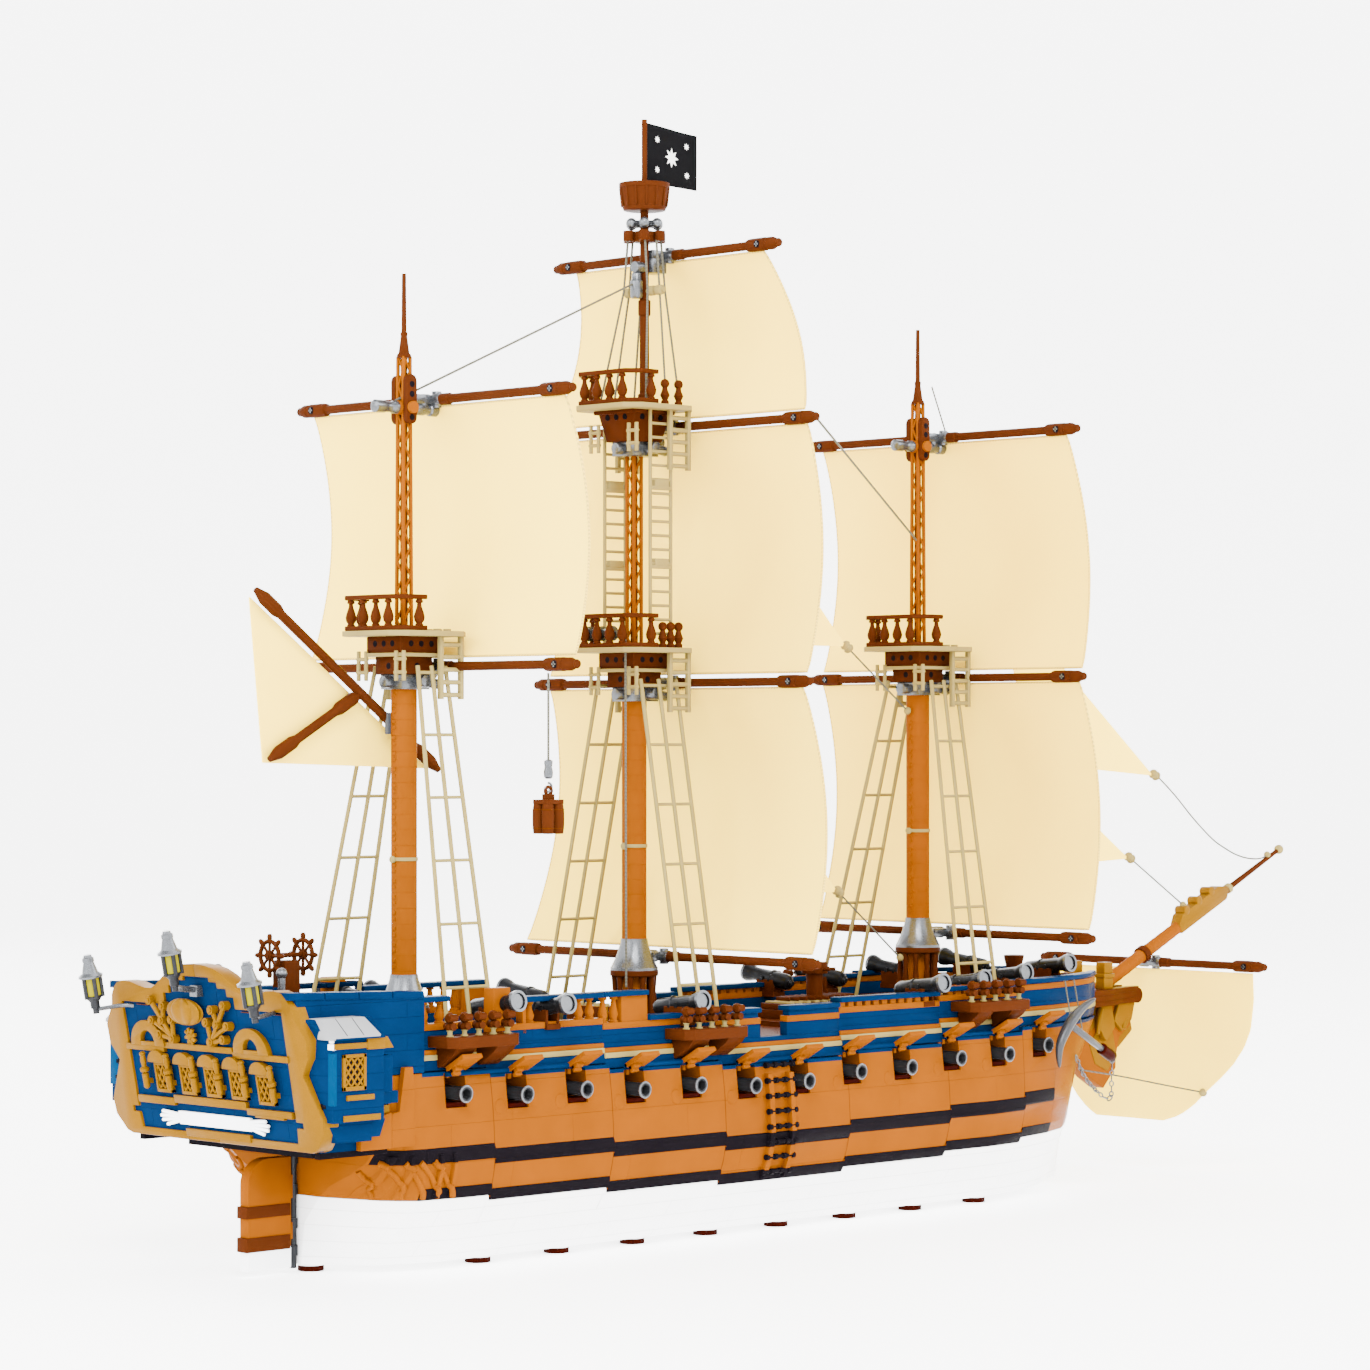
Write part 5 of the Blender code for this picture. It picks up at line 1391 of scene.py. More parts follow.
    def top(self, number: int, low: float, high: float) -> None:
        """Makes one top: its block, platform and rail.

        Args:
            number: Its number from below.
            low: The block's lower face.
            high: The platform's upper face.
        """
        x = self.station
        block, tan, holes, grey = Moulding(), Moulding(), Moulding(), Moulding()
        if number:
            sides = ((-1, -1), (1, -1), (1, 1), (-1, 1))
            block.rings([[block.point((x + half * p, half * q, z)) for p, q in sides]
                         for half, z in ((12.4, low), (12.8, low + 2), (16, high - 6), (16, high - PLATE))])
            block.box((x - 18.4, x + 18.4), (-18.4, 18.4), (high - 5.6, high - PLATE))
        else:
            block.box((x - 16, x + 16), (-16, 16), (high - 13.2, high - PLATE))
            block.box((x - 12.2, x + 12.2), (-12.2, 12.2), (low, high - 15))
            tan.plate(self.octagon(18.5, 5), Lie.LEVEL, high - 15.4, high - 13.2)
        tan.plate(self.octagon(30.5, 9), Lie.LEVEL, high - PLATE, high)
        for side in Side:
            # Painted shade: black discs in the block's pin holes, where their insides lie in shade.
            for p in (-8.0, 0.0, 8.0):
                spot = (x + p, side.value * 16.05, high - 7.6)
                holes.rod(spot, (spot[0], side.value * 15, spot[2]), 1.9, sides=12)
            # Painted shade in the block's side hole.
            holes.rod((x, side.value * 12.25, low + 5), (x, side.value * 11, low + 5), 2.0, sides=14)
            out = side.value * 24
            for p in (8.5, 24.5):
                tan.box((x + p - 1.4, x + p + 1.4), sorted((out - 1.5, out + 1.5)), (high - 41, high - PLATE))
            for k in range(5):
                tan.rod((x + 8.5, out, high - 8 - 7.6 * k), (x + 24.5, out, high - 8 - 7.6 * k), 1.5, sides=8)
            for k in range(2):
                tan.rod((x - 18, side.value * (14 + 7 * k), high - 12), (x - 18, side.value * (14 + 7 * k), high - 30),
                        1.3, sides=8)
                tan.rod((x - 18, side.value * 12.5, high - 17 - 8 * k), (x - 18, side.value * 22.5, high - 17 - 8 * k),
                        1.2, sides=8)
            grey.rod((x + 2, side.value * 8, low - 4), (x + 2, side.value * 19, low - 4), 3.8, sides=16)
            grey.rod((x + 2, side.value * 15.6, low - 4), (x + 13, side.value * 15.6, low - 6), 3.2, sides=14)
        # Painted shade: black discs in the aft pin holes and the block's aft hole.
        for q in (-8.0, 0.0, 8.0):
            holes.rod((x - 16.05, q, high - 7.6), (x - 15, q, high - 7.6), 1.9, sides=12)
        holes.rod((x - 12.25, 0, low + 5), (x - 11, 0, low + 5), 2.0, sides=14)
        grey.box((x - 10, x + 12), (-10, 10), (low - 9, low))
        grey.rod((x - 17, 0, low - 4.5), (x - 8, 0, low - 4.5), 3.6, sides=16)
        grey.rod((x + 12, 0, low + 1), (x + 24, 0, low + 1), 3.6, sides=16)
        rail = Moulding()
        half = [(x - 29, -21), (x - 21, -29), (x - 6, -29), (x - 6, -25), (x - 19.3, -25), (x - 25, -19.3),
                (x - 25, 19.3), (x - 19.3, 25), (x - 6, 25), (x - 6, 29), (x - 21, 29), (x - 29, 21)]
        rail.plate(half, Lie.LEVEL, high + 18.6, high + 21.4).plate(half, Lie.LEVEL, high + 0.05, high + 2.9)
        post = Moulding(local=True)
        post.turned((0, 0, 0), (0, 0, 1),
                    [(0, 2.5), (0.8, 2.5), (1.4, 1.9), (3.0, 3.0), (5.4, 3.4), (8, 2.7), (11.4, 1.5),
                                           (13.4, 1.3), (13.8, 2.3), (14.8, 2.3), (15.9, 1.6)], 14)
        spots = [(x - 27, q, high + 2.8) for q in (-17.4, -5.8, 5.8, 17.4)]
        spots += [(x - 11, side.value * 27, high + 2.8) for side in Side]
        post_name = f"{self.name}_{number}"
        REPEATS.set(f"top_posts_{post_name}", post, spots, BROWN)
        block.done(f"top_block_{post_name}", BROWN, bevel=0.4)
        tan.done(f"top_plate_{post_name}", TAN, bevel=0.3)
        holes.done(f"top_holes_{post_name}", BLACK)
        grey.done(f"top_elbows_{post_name}", SILVER, bevel=0.4)
        rail.done(f"top_rail_{post_name}", BROWN, bevel=0.5)
        knob = Moulding(local=True)
        knob.turned((0, 0, 0), (0, 0, 1), [(0, 2.4), (1.7, 2.4)], 12)
        REPEATS.set(f"top_studs_{post_name}", knob, [(x + p, q, high) for p in (24, 16) for q in (-12, -4, 4, 12)], TAN)

    def girder(self, low: float, high: float, thick: float, thin: float) -> None:
        """Makes the square topmast with its lattice, and the painted shade inside it.

        Args:
            low: Its foot.
            high: Its head.
            thick: Its width below.
            thin: Its width above.
        """
        x = self.station
        posts, braces, lattice_shade = Moulding(), Moulding(), Moulding()
        for sp in (-1, 1):
            for sq in (-1, 1):
                ends = []
                for z, wide in ((low, thick), (high, thin)):
                    a, b = wide / 2 - 1.9, wide / 2
                    ends.append([posts.point((x + sp * p, sq * q, z)) for p, q in ((a, a), (b, a), (b, b), (a, b))])
                posts.rings(ends)
        # Painted shade: a darker orange core inside the lattice, where shade falls between the posts.
        inner = [(low + 2, 2.4), (high - 0.5, 2.0)]
        lattice_shade.turned((x, 0, 0), (x, 0, 1), inner, 4, 0.5)
        parts = round((high - low) / 9.0)
        for k in range(parts):
            share = (k / parts, (k + 1) / parts)
            z = [low + (high - low) * t for t in share]
            wide = [(thick + (thin - thick) * t) / 2 - 0.9 for t in share]
            flip = 1 if k % 2 else -1
            for face in (-1, 1):
                braces.rod((x + face * wide[0], -flip * wide[0] * 0.8, z[0]),
                           (x + face * wide[1], flip * wide[1] * 0.8, z[1]),
                           0.75, sides=6)
                braces.rod((x - flip * wide[0] * 0.8, face * wide[0], z[0]),
                           (x + flip * wide[1] * 0.8, face * wide[1], z[1]),
                           0.75, sides=6)
        posts.done(f"girder_{self.name}", ORANGE, bevel=0.3)
        lattice_shade.done(f"girder_core_{self.name}", DARK_ORANGE)
        braces.done(f"girder_braces_{self.name}", ORANGE)

    def nest(self) -> None:
        """Makes the upper pole, the crow's nest and the flag pole."""
        x = self.station + 9
        pole, nest, grey = Moulding(), Moulding(), Moulding()
        pole.turned((x, 0, 524), (x, 0, 900),
                    [(0, 3.2), (2, 4.2), (10, 4.2), (11, 3.1), (60, 3.0), (61, 4.0), (70, 4.0),
                                               (71, 2.9), (129, 2.7)], 16)
        pole.rod((x, 0, 667), (x, 0, 709.8), 1.8, sides=12)
        nest.turned((x, 0, 651), (x, 0, 900), [(0, 9), (0.6, 13.4), (2.6, 14.2), (3, 13.8), (9, 14.8), (14.6, 15.6),
                                               (15, 16.3), (18, 16.3), (18, 14.4), (5, 12.2), (4.6, 2)], 28)
        for k in range(14):
            t = 2 * math.pi * k / 14
            nest.rod((x + 14.4 * math.cos(t), 14.4 * math.sin(t), 654),
                     (x + 15.7 * math.cos(t), 15.7 * math.sin(t), 666), 0.8,
                     sides=6)
        grey.turned((x - 7, 0, 595), (x - 7, 0, 700),
                    [(0, 3.2), (1.5, 4.0), (11, 4.0), (12, 3.2), (16, 3.0), (17, 1.6)], 18)
        grey.rod((x - 9, 0, 615), (x - 1, 0, 615), 3.6, sides=16)
        grey.box((x + 2, x + 14), (-6, 6), (612, 621))
        nest.rod((x, 0, 631.5), (x, 0, 638), 8.0, sides=24)
        for k in range(6):
            t = 2 * math.pi * k / 6 + 0.26
            nest.rod((x + 11.5 * math.cos(t), 11.5 * math.sin(t), 631.6),
                     (x + 11.5 * math.cos(t), 11.5 * math.sin(t), 638), 3.4,
                     sides=14)
            grey.ball((x + 9.5 * math.cos(t), 9.5 * math.sin(t), 643), 3.5, 14)
            grey.rod((x, 0, 643), (x + 12.4 * math.cos(t), 12.4 * math.sin(t), 643), 2.2, sides=12)
        pole.done("upper_pole", BROWN, nodes=["mast_main"])
        nest.done("crows_nest", BROWN, bevel=0.3)
        grey.done("pole_fittings", SILVER, bevel=0.3)
        beads = Moulding(local=True)
        beads.turned((0, -2.8, 0), (0, 2.8, 0), [(0, 2.0), (0.8, 3.2), (4.8, 3.2), (5.6, 2.0)], 14)
        beads.rod((0, -4.2, 0), (0, 4.2, 0), 1.6, sides=10)
        REPEATS.set("pole_beads", beads, [(x, q, 600.0) for q in (-14.0, -7.0, 7.0, 14.0)], TAN)
        ropes = Moulding()
        for side in Side:
            for p, q in ((7.0, 8.0), (-7.0, 8.0), (0.0, 11.0)):
                ropes.tube([(x + p, side.value * q, 632), (x + p * 1.1, side.value * (q + 3), 600),
                            (x - 4 + 2.1 * p, side.value * (q + 13), 529)], 0.8)
        ropes.done("pole_ropes", CORD)

    def ladders(self) -> None:
        """Makes the upright ladders between the tops."""
        x, low, high = self.station, 372.0, 523.0
        rails = Moulding()
        for side in Side:
            q = side.value * 21
            for p in (-6.0, 12.0):
                rails.rod((x + p, q, low), (x + p, q, high), 1.2, sides=8)
            for edge in (422.0, 472.0):
                rails.box((x - 6, x + 12), sorted((q - 1.4, q + 1.4)), (edge, edge + 2.4))
                rails.box((x - 3, x + 9), sorted((q - 1.6, q + 1.6)), (edge + 2, edge + 6.5))
        rails.done("top_ladder_rails", TAN, bevel=0.2)
        rung = Moulding(local=True)
        rung.rod((-9, 0, 0), (9, 0, 0), 0.95, sides=8)
        spots = [(x + 3, side.value * 21, low + 151 * k / 17) for k in range(1, 17) for side in Side]
        REPEATS.set("top_ladder_rungs", rung, spots, TAN)

    def winch(self) -> None:
        """Makes the winch and the pin posts on the lower top."""
        x, z = self.station, self.platform
        drum, posts = Moulding(), Moulding(local=True)
        drum.turned((x - 22, -22, z + 9), (x - 22, 30, z + 9),
                    [(0, 1.4), (3, 1.4), (3.2, 4.8), (5, 4.8), (5.2, 3.0), (14, 3.0),
                                                             (14.2, 4.8), (16, 4.8), (16.2, 3.0), (24, 3.0),
                                                             (24.2, 4.8),
                                                             (26, 4.8), (26.4, 1.5), (30, 1.5)], 18)
        drum.done("winch_drum", SILVER)
        posts.turned((0, 0, 0), (0, 0, 1), [(0, 2.6), (2, 2.6), (3, 1.8), (6, 3.2), (9, 2.0), (11, 1.6)], 12)
        posts.ball((0, 0, 13.4), 3.0, 12)
        spots = [(x + p, 24.0, z) for p in (2, 9, 16)] + [(x + p, 24.0, UPPER_TOP[1]) for p in (4, 16)]
        REPEATS.set("pin_posts", posts, spots, BROWN)


@dataclass
class Yard:
    """A square yard with its thick ends, pins and truss."""

    node: str
    station: float
    height: float
    half: float
    inner: float

    def build(self) -> None:
        """Makes the yard's pieces."""
        x, z, half = self.station, self.height, self.half
        wood, pins, heads, grey = Moulding(), Moulding(), Moulding(), Moulding()
        for side in Side:
            s = side.value
            wood.turned((x, s * 9, z), (x, s * 200, z), [
                (0, 3.6), (8, 3.6), (8.4, 2.9), (half - 37, 2.8), (half - 36.4, 3.9), (half - 34, 4.3),
                (half - 21, 4.3),
                (half - 20.6, 3.7), (half - 19.4, 3.7), (half - 19, 4.1), (half - 15, 4.1), (half - 10.6, 2.4),
                (half - 10, 2.8), (half - 9, 2.2)], 12)
            for face in (-1, 1):
                spot = (x + face * 4.5, s * (half - 16.5), z)
                pins.rod((x, spot[1], z), spot, 2.3, sides=14)
                heads.box(sorted((x + face * 4.2, x + face * 4.8)), (spot[1] - 1.7, spot[1] + 1.7), (z - 0.5, z + 0.5))
                heads.box(sorted((x + face * 4.2, x + face * 4.8)), (spot[1] - 0.5, spot[1] + 0.5), (z - 1.7, z + 1.7))
        grey.turned((x, -10, z), (x, 10, z),
                    [(0, 3.3), (1, 3.9), (7, 3.9), (8, 3.1), (12, 3.1), (13, 3.9), (19, 3.9), (20, 3.3)],
                    16)
        grey.box((min(self.inner, x), x), (-3.4, 3.4), (z - 2.8, z + 2.8))
        grey.rod((x + 0.5, 4, z - 5), (x + 0.5, 4, z + 5), 3.0, sides=12)
        wood.done(f"{self.node}_spar", BROWN, nodes=[self.node])
        pins.done(f"{self.node}_pins", BLACK)
        heads.done(f"{self.node}_crosses", SILVER)
        grey.done(f"{self.node}_truss", SILVER, bevel=0.3)


@dataclass
class SquareSail:
    """A square sail that bellies forward between two yards."""

    node: str
    yard: str
    top: Spot
    foot: Spot
    belly: float
    across: int = 40
    down: int = 30
    thick: float = 0.8

    def spot(self, u: float, v: float) -> Spot:
        """Gives a place of the sail.

        Args:
            u: The share across it.
            v: The share down it.

        Returns:
            The place.
        """
        mix = [a + (b - a) * v for a, b in zip(self.top, self.foot)]
        swell = self.belly * math.sin(math.pi * v) ** 0.8 * (0.55 + 0.45 * math.sin(math.pi * u))
        fold = 0.7 * math.sin(math.pi * v) * math.sin(19 * u + 1.3 * math.sin(4 * v))
        return (mix[0] + swell + fold, (1 - 2 * u) * mix[2], mix[1])

    def build(self) -> None:
        """Makes the cloth and its bolt rope."""
        grid = [[self.spot(i / self.across, j / self.down) for i in range(self.across + 1)]
                for j in range(self.down + 1)]
        cut = [[((2 * i / self.across - 1) * (self.top[2] + (self.foot[2] - self.top[2]) * j / self.down), 0.0)
                for i in range(self.across + 1)] for j in range(self.down + 1)]
        fallen = 0.0
        for j in range(self.down + 1):
            if j:
                a, b = grid[j - 1][self.across // 2], grid[j][self.across // 2]
                fallen += math.dist(a, b)
            cut[j] = [(u, -fallen) for u, _ in cut[j]]
        cloth, area = sheet_mesh(self.node + "_cloth", grid, cut, self.thick)
        settle(cloth, CREAM, "ship", [self.node])
        edge = [*grid[0], *[row[-1] for row in grid[1:]], *grid[-1][-2::-1], *[row[0] for row in grid[-2:0:-1]]]
        rope = Moulding().tube(edge, 0.75, 6, True).done(self.node + "_bolt_rope", CREAM_EDGE)


def sheet_mesh(name: str, grid: list[list[Spot]], cut: list[list[Pair]], thick: float) -> tuple[bpy.types.Object,
                                                                                                float]:
    """Makes a sheet of cloth from a grid of places.

    Args:
        name: The piece's name.
        grid: The places, row by row.
        cut: Where each lies on the flat cloth, in millimetres.
        thick: The cloth's thickness.

    Returns:
        The piece, and its area in square metres.
    """
    shape = bmesh.new()
    uv = shape.loops.layers.uv.new("cut")
    rows = [[shape.verts.new(((p - MIDDLE) * MM, -q * MM, z * MM)) for p, q, z in row] for row in grid]
    area = 0.0
    for j in range(len(rows) - 1):
        for i in range(len(rows[0]) - 1):
            keys = ((j, i), (j, i + 1), (j + 1, i + 1), (j + 1, i))
            face = shape.faces.new([rows[a][b] for a, b in keys])
            for loop, (a, b) in zip(face.loops, keys):
                loop[uv].uv = (cut[a][b][0] * MM, cut[a][b][1] * MM)
            area += face.calc_area()
    piece = cast(name, shape)
    wall = piece.modifiers.new("wall", "SOLIDIFY")
    wall.thickness = thick * MM
    wall.offset = 0.0
    return plain(piece), area


def corner_sheet(corners: Sequence[Spot], parts: int = 14, swell: float = 0.0) -> tuple[list[list[Spot]],
                                                                                        list[list[Pair]]]:
    """Fills three corners with a grid.

    Args:
        corners: The head, the after corner and the fore corner.
        parts: How many parts it has each way.
        swell: How far it bellies to port.

    Returns:
        The places, and where each lies on the flat cloth.
    """
    head, low, fore = corners
    grid, cut = [], []
    tall, wide = math.dist(head, low), math.dist(low, fore)
    for j in range(parts + 1):
        v = 0.004 + 0.996 * j / parts
        row, flat = [], []
        for i in range(parts + 1):
            u = i / parts
            spot = [h + (a - h) * v + (b - a) * u * v for h, a, b in zip(head, low, fore)]
            spot[1] -= swell * math.sin(math.pi * u) * math.sin(math.pi * v) ** 0.7
            row.append(tuple(spot))
            flat.append((u * v * wide, -v * tall))
        grid.append(row)
        cut.append(flat)
    return grid, cut


@dataclass
class StaySail:
    """A three-cornered sail with its stay, its bead and its line."""

    node: str
    corners: tuple[Pair, Pair, Pair]
    seat: Pair
    line: tuple[Pair, ...]

    def build(self) -> None:
        """Makes the cloth and what holds it."""
        places = [(s, 0.0, h) for s, h in self.corners]
        grid, cut = corner_sheet(places, 16, 1.2)
        cloth, area = sheet_mesh(self.node + "_cloth", grid, cut, 0.8)
        settle(cloth, CREAM, "ship", [self.node])
        holds = Moulding()
        line = [(s, 0.0, h) for s, h in self.line]
        holds.tube(smooth_line(line, 4) if len(line) > 2 else line, 0.6)
        holds.tube([(self.seat[0], 0.0, self.seat[1]), (places[0][0] + 0.3, 0.0, places[0][2] - 2)], 0.6)
        rope = holds.done(self.node + "_lines", CORD)
        bead = Moulding()
        first, after = Vector(line[0]), Vector(line[1])
        along = (after - first).normalized()
        bead.turned(tuple(first - along * 4), tuple(first + along * 4), [
            (0, 1.6), (0.8, 3.0), (2.2, 3.6), (2.8, 2.9), (5.2, 2.9), (5.8, 3.6), (7.2, 3.0), (8, 1.6)], 16)
        end = Vector(line[-1]) - (Vector(line[-1]) - Vector(line[-2])).normalized() * 2.4
        bead.ball(tuple(end), 2.6, 12)
        knob = bead.done(self.node + "_bead", TAN)
        width = math.dist(places[1], places[2]) * MM


@dataclass
class Lateen:
    """The lateen sail with its two crossed spars."""

    breadth: float = -12.0

    def build(self) -> None:
        """Makes the spars and the cloth."""
        q = self.breadth
        wood, grey = Moulding(), Moulding()
        for start, end in (((-104, q, 402), (38, q, 295)), ((-22.5, q - 0.9, 342.2), (-93, q - 0.9, 302))):
            long = math.dist(start, end)
            wood.turned(start, end,
                        [(0, 1.8), (3, 2.6), (8, 4.1), (20, 4.1), (24, 2.9), (long - 24, 2.9), (long - 20, 4.1),
                                     (long - 8, 4.1), (long - 3, 2.6), (long, 1.8)], 12)
        grey.box((-6, 6), sorted((q + 3.7, q + 1)), (317, 330))
        wood.done("lateen_wood", BROWN, nodes=["lateen_spars"])
        grey.done("lateen_saddle", STONE, bevel=0.4)
        grid, cut = corner_sheet([(-104.0, -18.2, 398.0), (-94.0, -18.2, 300.0), (34.0, -18.2, 296.0)], 16, 0.3)
        cloth, area = sheet_mesh("sail_lateen_cloth", grid, cut, 0.9)
        settle(cloth, CREAM, "ship", ["sail_lateen"])


@dataclass
class SpritSail:
    """The sail under the spritsail yard."""

    station: float = 713.0
    top: float = 147.2
    low: float = 37.0
    edges: tuple[tuple[float, float, float], ...] = (
        (36.0, 6.0, 50.0), (38.0, 15.0, 54.0), (42.0, 26.0, 61.0), (50.0, 38.5, 70.0), (60.0, 49.5, 78.0),
        (70.0, 62.0, 84.0),
        (81.0, 74.0, 89.0), (94.0, 84.0, 92.0), (107.0, 89.8, 93.6), (128.0, 92.6, 94.0), (148.0, 91.8, 92.0),
    )

    def half(self, height: float, side: int) -> float:
        """Reads how far the cloth reaches.

        Args:
            height: The height.
            side: 0 for starboard, 1 for port.

        Returns:
            The breadth.
        """
        for low, high in zip(self.edges, self.edges[1:]):
            if height <= high[0]:
                share = (height - low[0]) / (high[0] - low[0])
                return low[1 + side] + share * (high[1 + side] - low[1 + side])
        return self.edges[-1][1 + side]

    def across(self, height: float, share: float) -> float:
        """Gives the breadth at a share from starboard to port."""
        return self.half(height, 0) * (1 - share) - self.half(height, 1) * share

    def build(self) -> None:
        """Makes the cloth and its sheet."""
        parts = 32
        heights = [self.top + (self.low - self.top) * j / parts for j in range(parts + 1)]
        grid = [[(self.station + 3.2 * math.sin(math.pi * j / parts) * math.sin(math.pi * i / parts),
                  self.across(z, i / parts), z) for i in range(parts + 1)] for j, z in enumerate(heights)]
        cut = [[(-self.across(z, i / parts), z) for i in range(parts + 1)] for z in heights]
        cloth, area = sheet_mesh("sail_spritsail_cloth", grid, cut, 0.9)
        settle(cloth, CREAM, "ship", ["sail_spritsail"])
        line = Moulding()
        line.tube(smooth_line([(713, 46, 59.8), (690, 34, 65), (655, 18, 73), (622, 9, 79.0)], 4), 0.6)
        line.done("spritsail_sheet_line", CORD)
        knob = Moulding().ball((713, 47, 59.6), 3.0, 12)
        knob.done("spritsail_bead", TAN)


def mirrored(half: Sequence[Pair]) -> list[Pair]:
    """Closes half an outline, from the top's middle downwards, with its mirror image."""
    return [*half, *[(-a, b) for a, b in reversed(half) if a > 0.01]]


class Leaning(Moulding):
    """Shapes on the transom: stations count from its leaning middle plane."""

    def point(self, spot: Spot) -> Vector:
        """Gives the point of a spot in metres."""
        return super().point((transom_face(spot[2]) + spot[0], spot[1], spot[2]))


@dataclass
class Transom:
    """The leaning gold frame with its blue panels, windows and carvings."""

    windows: tuple[float, ...] = (-46.5, -22.5, 0.9, 24.1, 49.0)
    finials: tuple[float, ...] = (-59.0, -36.5, -12.5, 10.7, 34.5, 60.0)
    aft: float = -3.0

    def build(self) -> None:
        """Makes the transom's pieces."""
        rim = [(0.0, 184.6), (10.0, 184.0), (18.0, 182.4), (26.0, 179.2), (33.0, 175.0), (39.0, 171.0), (44.0, 168.8),
               (50.0, 168.6), (57.0, 169.8), (64.0, 171.6), (71.0, 172.0), (77.0, 170.6), (81.0, 167.6), (84.0, 163.0),
               (85.6, 157.0), (93.5, 145.0), (93.0, 134.0), (86.0, 124.0), (98.5, 100.0), (97.5, 91.0), (89.0, 81.6),
               (84.0, 80.0)]
        inner = [(0.0, 177.0), (12.0, 177.0), (12.0, 174.4), (19.0, 174.4), (19.0, 171.0), (27.0, 171.0), (27.0, 166.4),
                 (33.0, 166.4), (33.0, 159.6), (75.0, 159.6), (74.0, 97.0), (80.0, 97.0), (80.0, 93.6), (74.0, 93.6),
                 (73.0, 84.6), (0.0, 84.6)]
        frame_ring, back = Leaning(), Leaning()
        for sign in (1, -1):
            half = [(sign * a, b) for a, b in rim] + [(0.0, 80.0), (0.0, 84.6)] + [(sign * a, b) for a,
                                                                                   b in reversed(inner[:-1])]
            frame_ring.plate(half, Lie.ACROSS, self.aft, 8.4)
        back.plate(mirrored([(a * 0.985, b - 0.8) for a, b in rim[:-1]] + [(82.0, 80.6), (0.0, 80.6)]), Lie.ACROSS,
                   self.aft + 1.8, 2.9)
        frame_ring.done("transom_rim", GOLD, nodes=["transom_frame"], bevel=0.5)
        back.done("transom_panels", BLUE_SLABS)
        self.bands()
        self.lights()
        self.carvings()
        self.board()

    def bands(self) -> None:
        """Makes the bands and the two half-round arches."""
        gold, aft = Leaning(), self.aft
        for a, b, low, high in ((-76, -39.5, 131.0, 134.6), (-39.5, 25.5, 133.4, 137.0), (25.5, 76, 131.0, 134.6),
                                (-72, -37, 99.6, 104.0), (-37, 31, 101.2, 106.0), (31, 72, 98.6, 102.6),
                                (-30, 30, 82.0, 86.6), (38, 64, 97.4, 99.4)):
            gold.box((aft - 0.8, 1.0), (a, b), (low, high))
        for middle, foot in ((-53.5, 134.2), (43.5, 134.2)):
            outer = [(middle - 16 * math.cos(math.pi * k / 14), foot + 15 * math.sin(math.pi * k / 14))
                     for k in range(15)]
            hole = [(middle + 6.6 * math.cos(math.pi * k / 8), foot + 2.6 + 6.4 * math.sin(math.pi * k / 8))
                    for k in range(9)]
            gold.plate([*outer, (middle + 6.6, foot), (middle + 6.6, foot + 2.6), *hole[1:], (middle - 6.6, foot)],
                       Lie.ACROSS, aft - 1.6, 1.0)
            gold.box((aft - 1.5, 1.0), (middle - 6.7, middle + 6.7), (foot, foot + 2.4))
        gold.done("transom_bands", GOLD, bevel=0.3)

    def lights(self) -> None:
        """Makes the five lattice windows with painted shade behind them, their arches and the turned finials."""
        arch, lattice, dark = Leaning(), Leaning(), Leaning()
        for number, middle in enumerate(self.windows):
            foot = 124.4 - (1.5 if number == 4 else 0.0)
            hood = [(middle - 8.6 * math.cos(math.pi * k / 10), foot + 7.4 * math.sin(math.pi * k / 10))
                    for k in range(11)]
            arch.plate(hood, Lie.ACROSS, self.aft - 2.6, 0.0)
            low, x = foot - 17.5, middle + 2.0
            # Painted shade: a black sheet behind each lattice, where the cabin's inside lies in shade.
            dark.box((self.aft + 1.2, self.aft + 2.2), (x - 6, x + 6), (low, foot))
            for a, b, c, d in ((x - 7, x - 5.4, low, foot), (x + 5.4, x + 7, low, foot), (x - 7, x + 7, low, low + 2),
                               (x - 7, x + 7, foot - 1.6, foot + 0.1)):
                lattice.box((self.aft - 1.0, 0.5), (a, b), (c, d))
            for k in range(-3, 4):
                for lean in (-1, 1):
                    ends = []
                    for z in (low + 1, foot - 1):
                        ends.append((self.aft + 0.3, x + k * 4.2 + lean * (z - low - 8.7) * 0.62, z))
                    clipped = self.clip(ends[0], ends[1], x - 6.0, x + 6.0)
                    if clipped:
                        lattice.rod(*clipped, 0.8, sides=6)
        arch.done("window_hoods", GOLD, bevel=0.4)
        lattice.done("window_lattice", GOLD, bevel=0.15)
        dark.done("window_dark", BLACK)
        finial = Leaning()
        for number, q in enumerate(self.finials):
            low = 108.5 - (1.5 if number == 5 else 0.0)
            shape = [(0, 0.9), (1, 1.9), (9, 2.1), (9.6, 1.2), (10.4, 2.7), (12.2, 2.9), (13.4, 1.4), (17, 1.9),
                     (20, 1.5),
                     (20.6, 2.0), (21.8, 1.7), (22.4, 0.6)]
            finial.turned((self.aft - 2.4, q, low), (self.aft - 2.4, q, low + 22), shape, 12)
            finial.box((self.aft - 2, 0), (q - 1.2, q + 1.2), (low + 3, low + 6))
        finial.done("stern_finials", GOLD)

    @staticmethod
    def clip(start: Spot, end: Spot, low: float, high: float) -> tuple[Spot, Spot] | None:
        """Cuts a bar to the breadths of its window, or drops it.

        Args:
            start: The bar's start.
            end: Its end.
            low: The window's lower breadth.
            high: Its upper breadth.

        Returns:
            Both ends of what is left, or None where that is too short.
        """
        run = end[1] - start[1]
        shares = sorted(((low - start[1]) / run, (high - start[1]) / run))
        a, b = max(0.0, shares[0]), min(1.0, shares[1])
        if b - a < 0.06:
            return None
        return tuple(tuple(s + (e - s) * t for s, e in zip(start, end)) for t in (a, b))

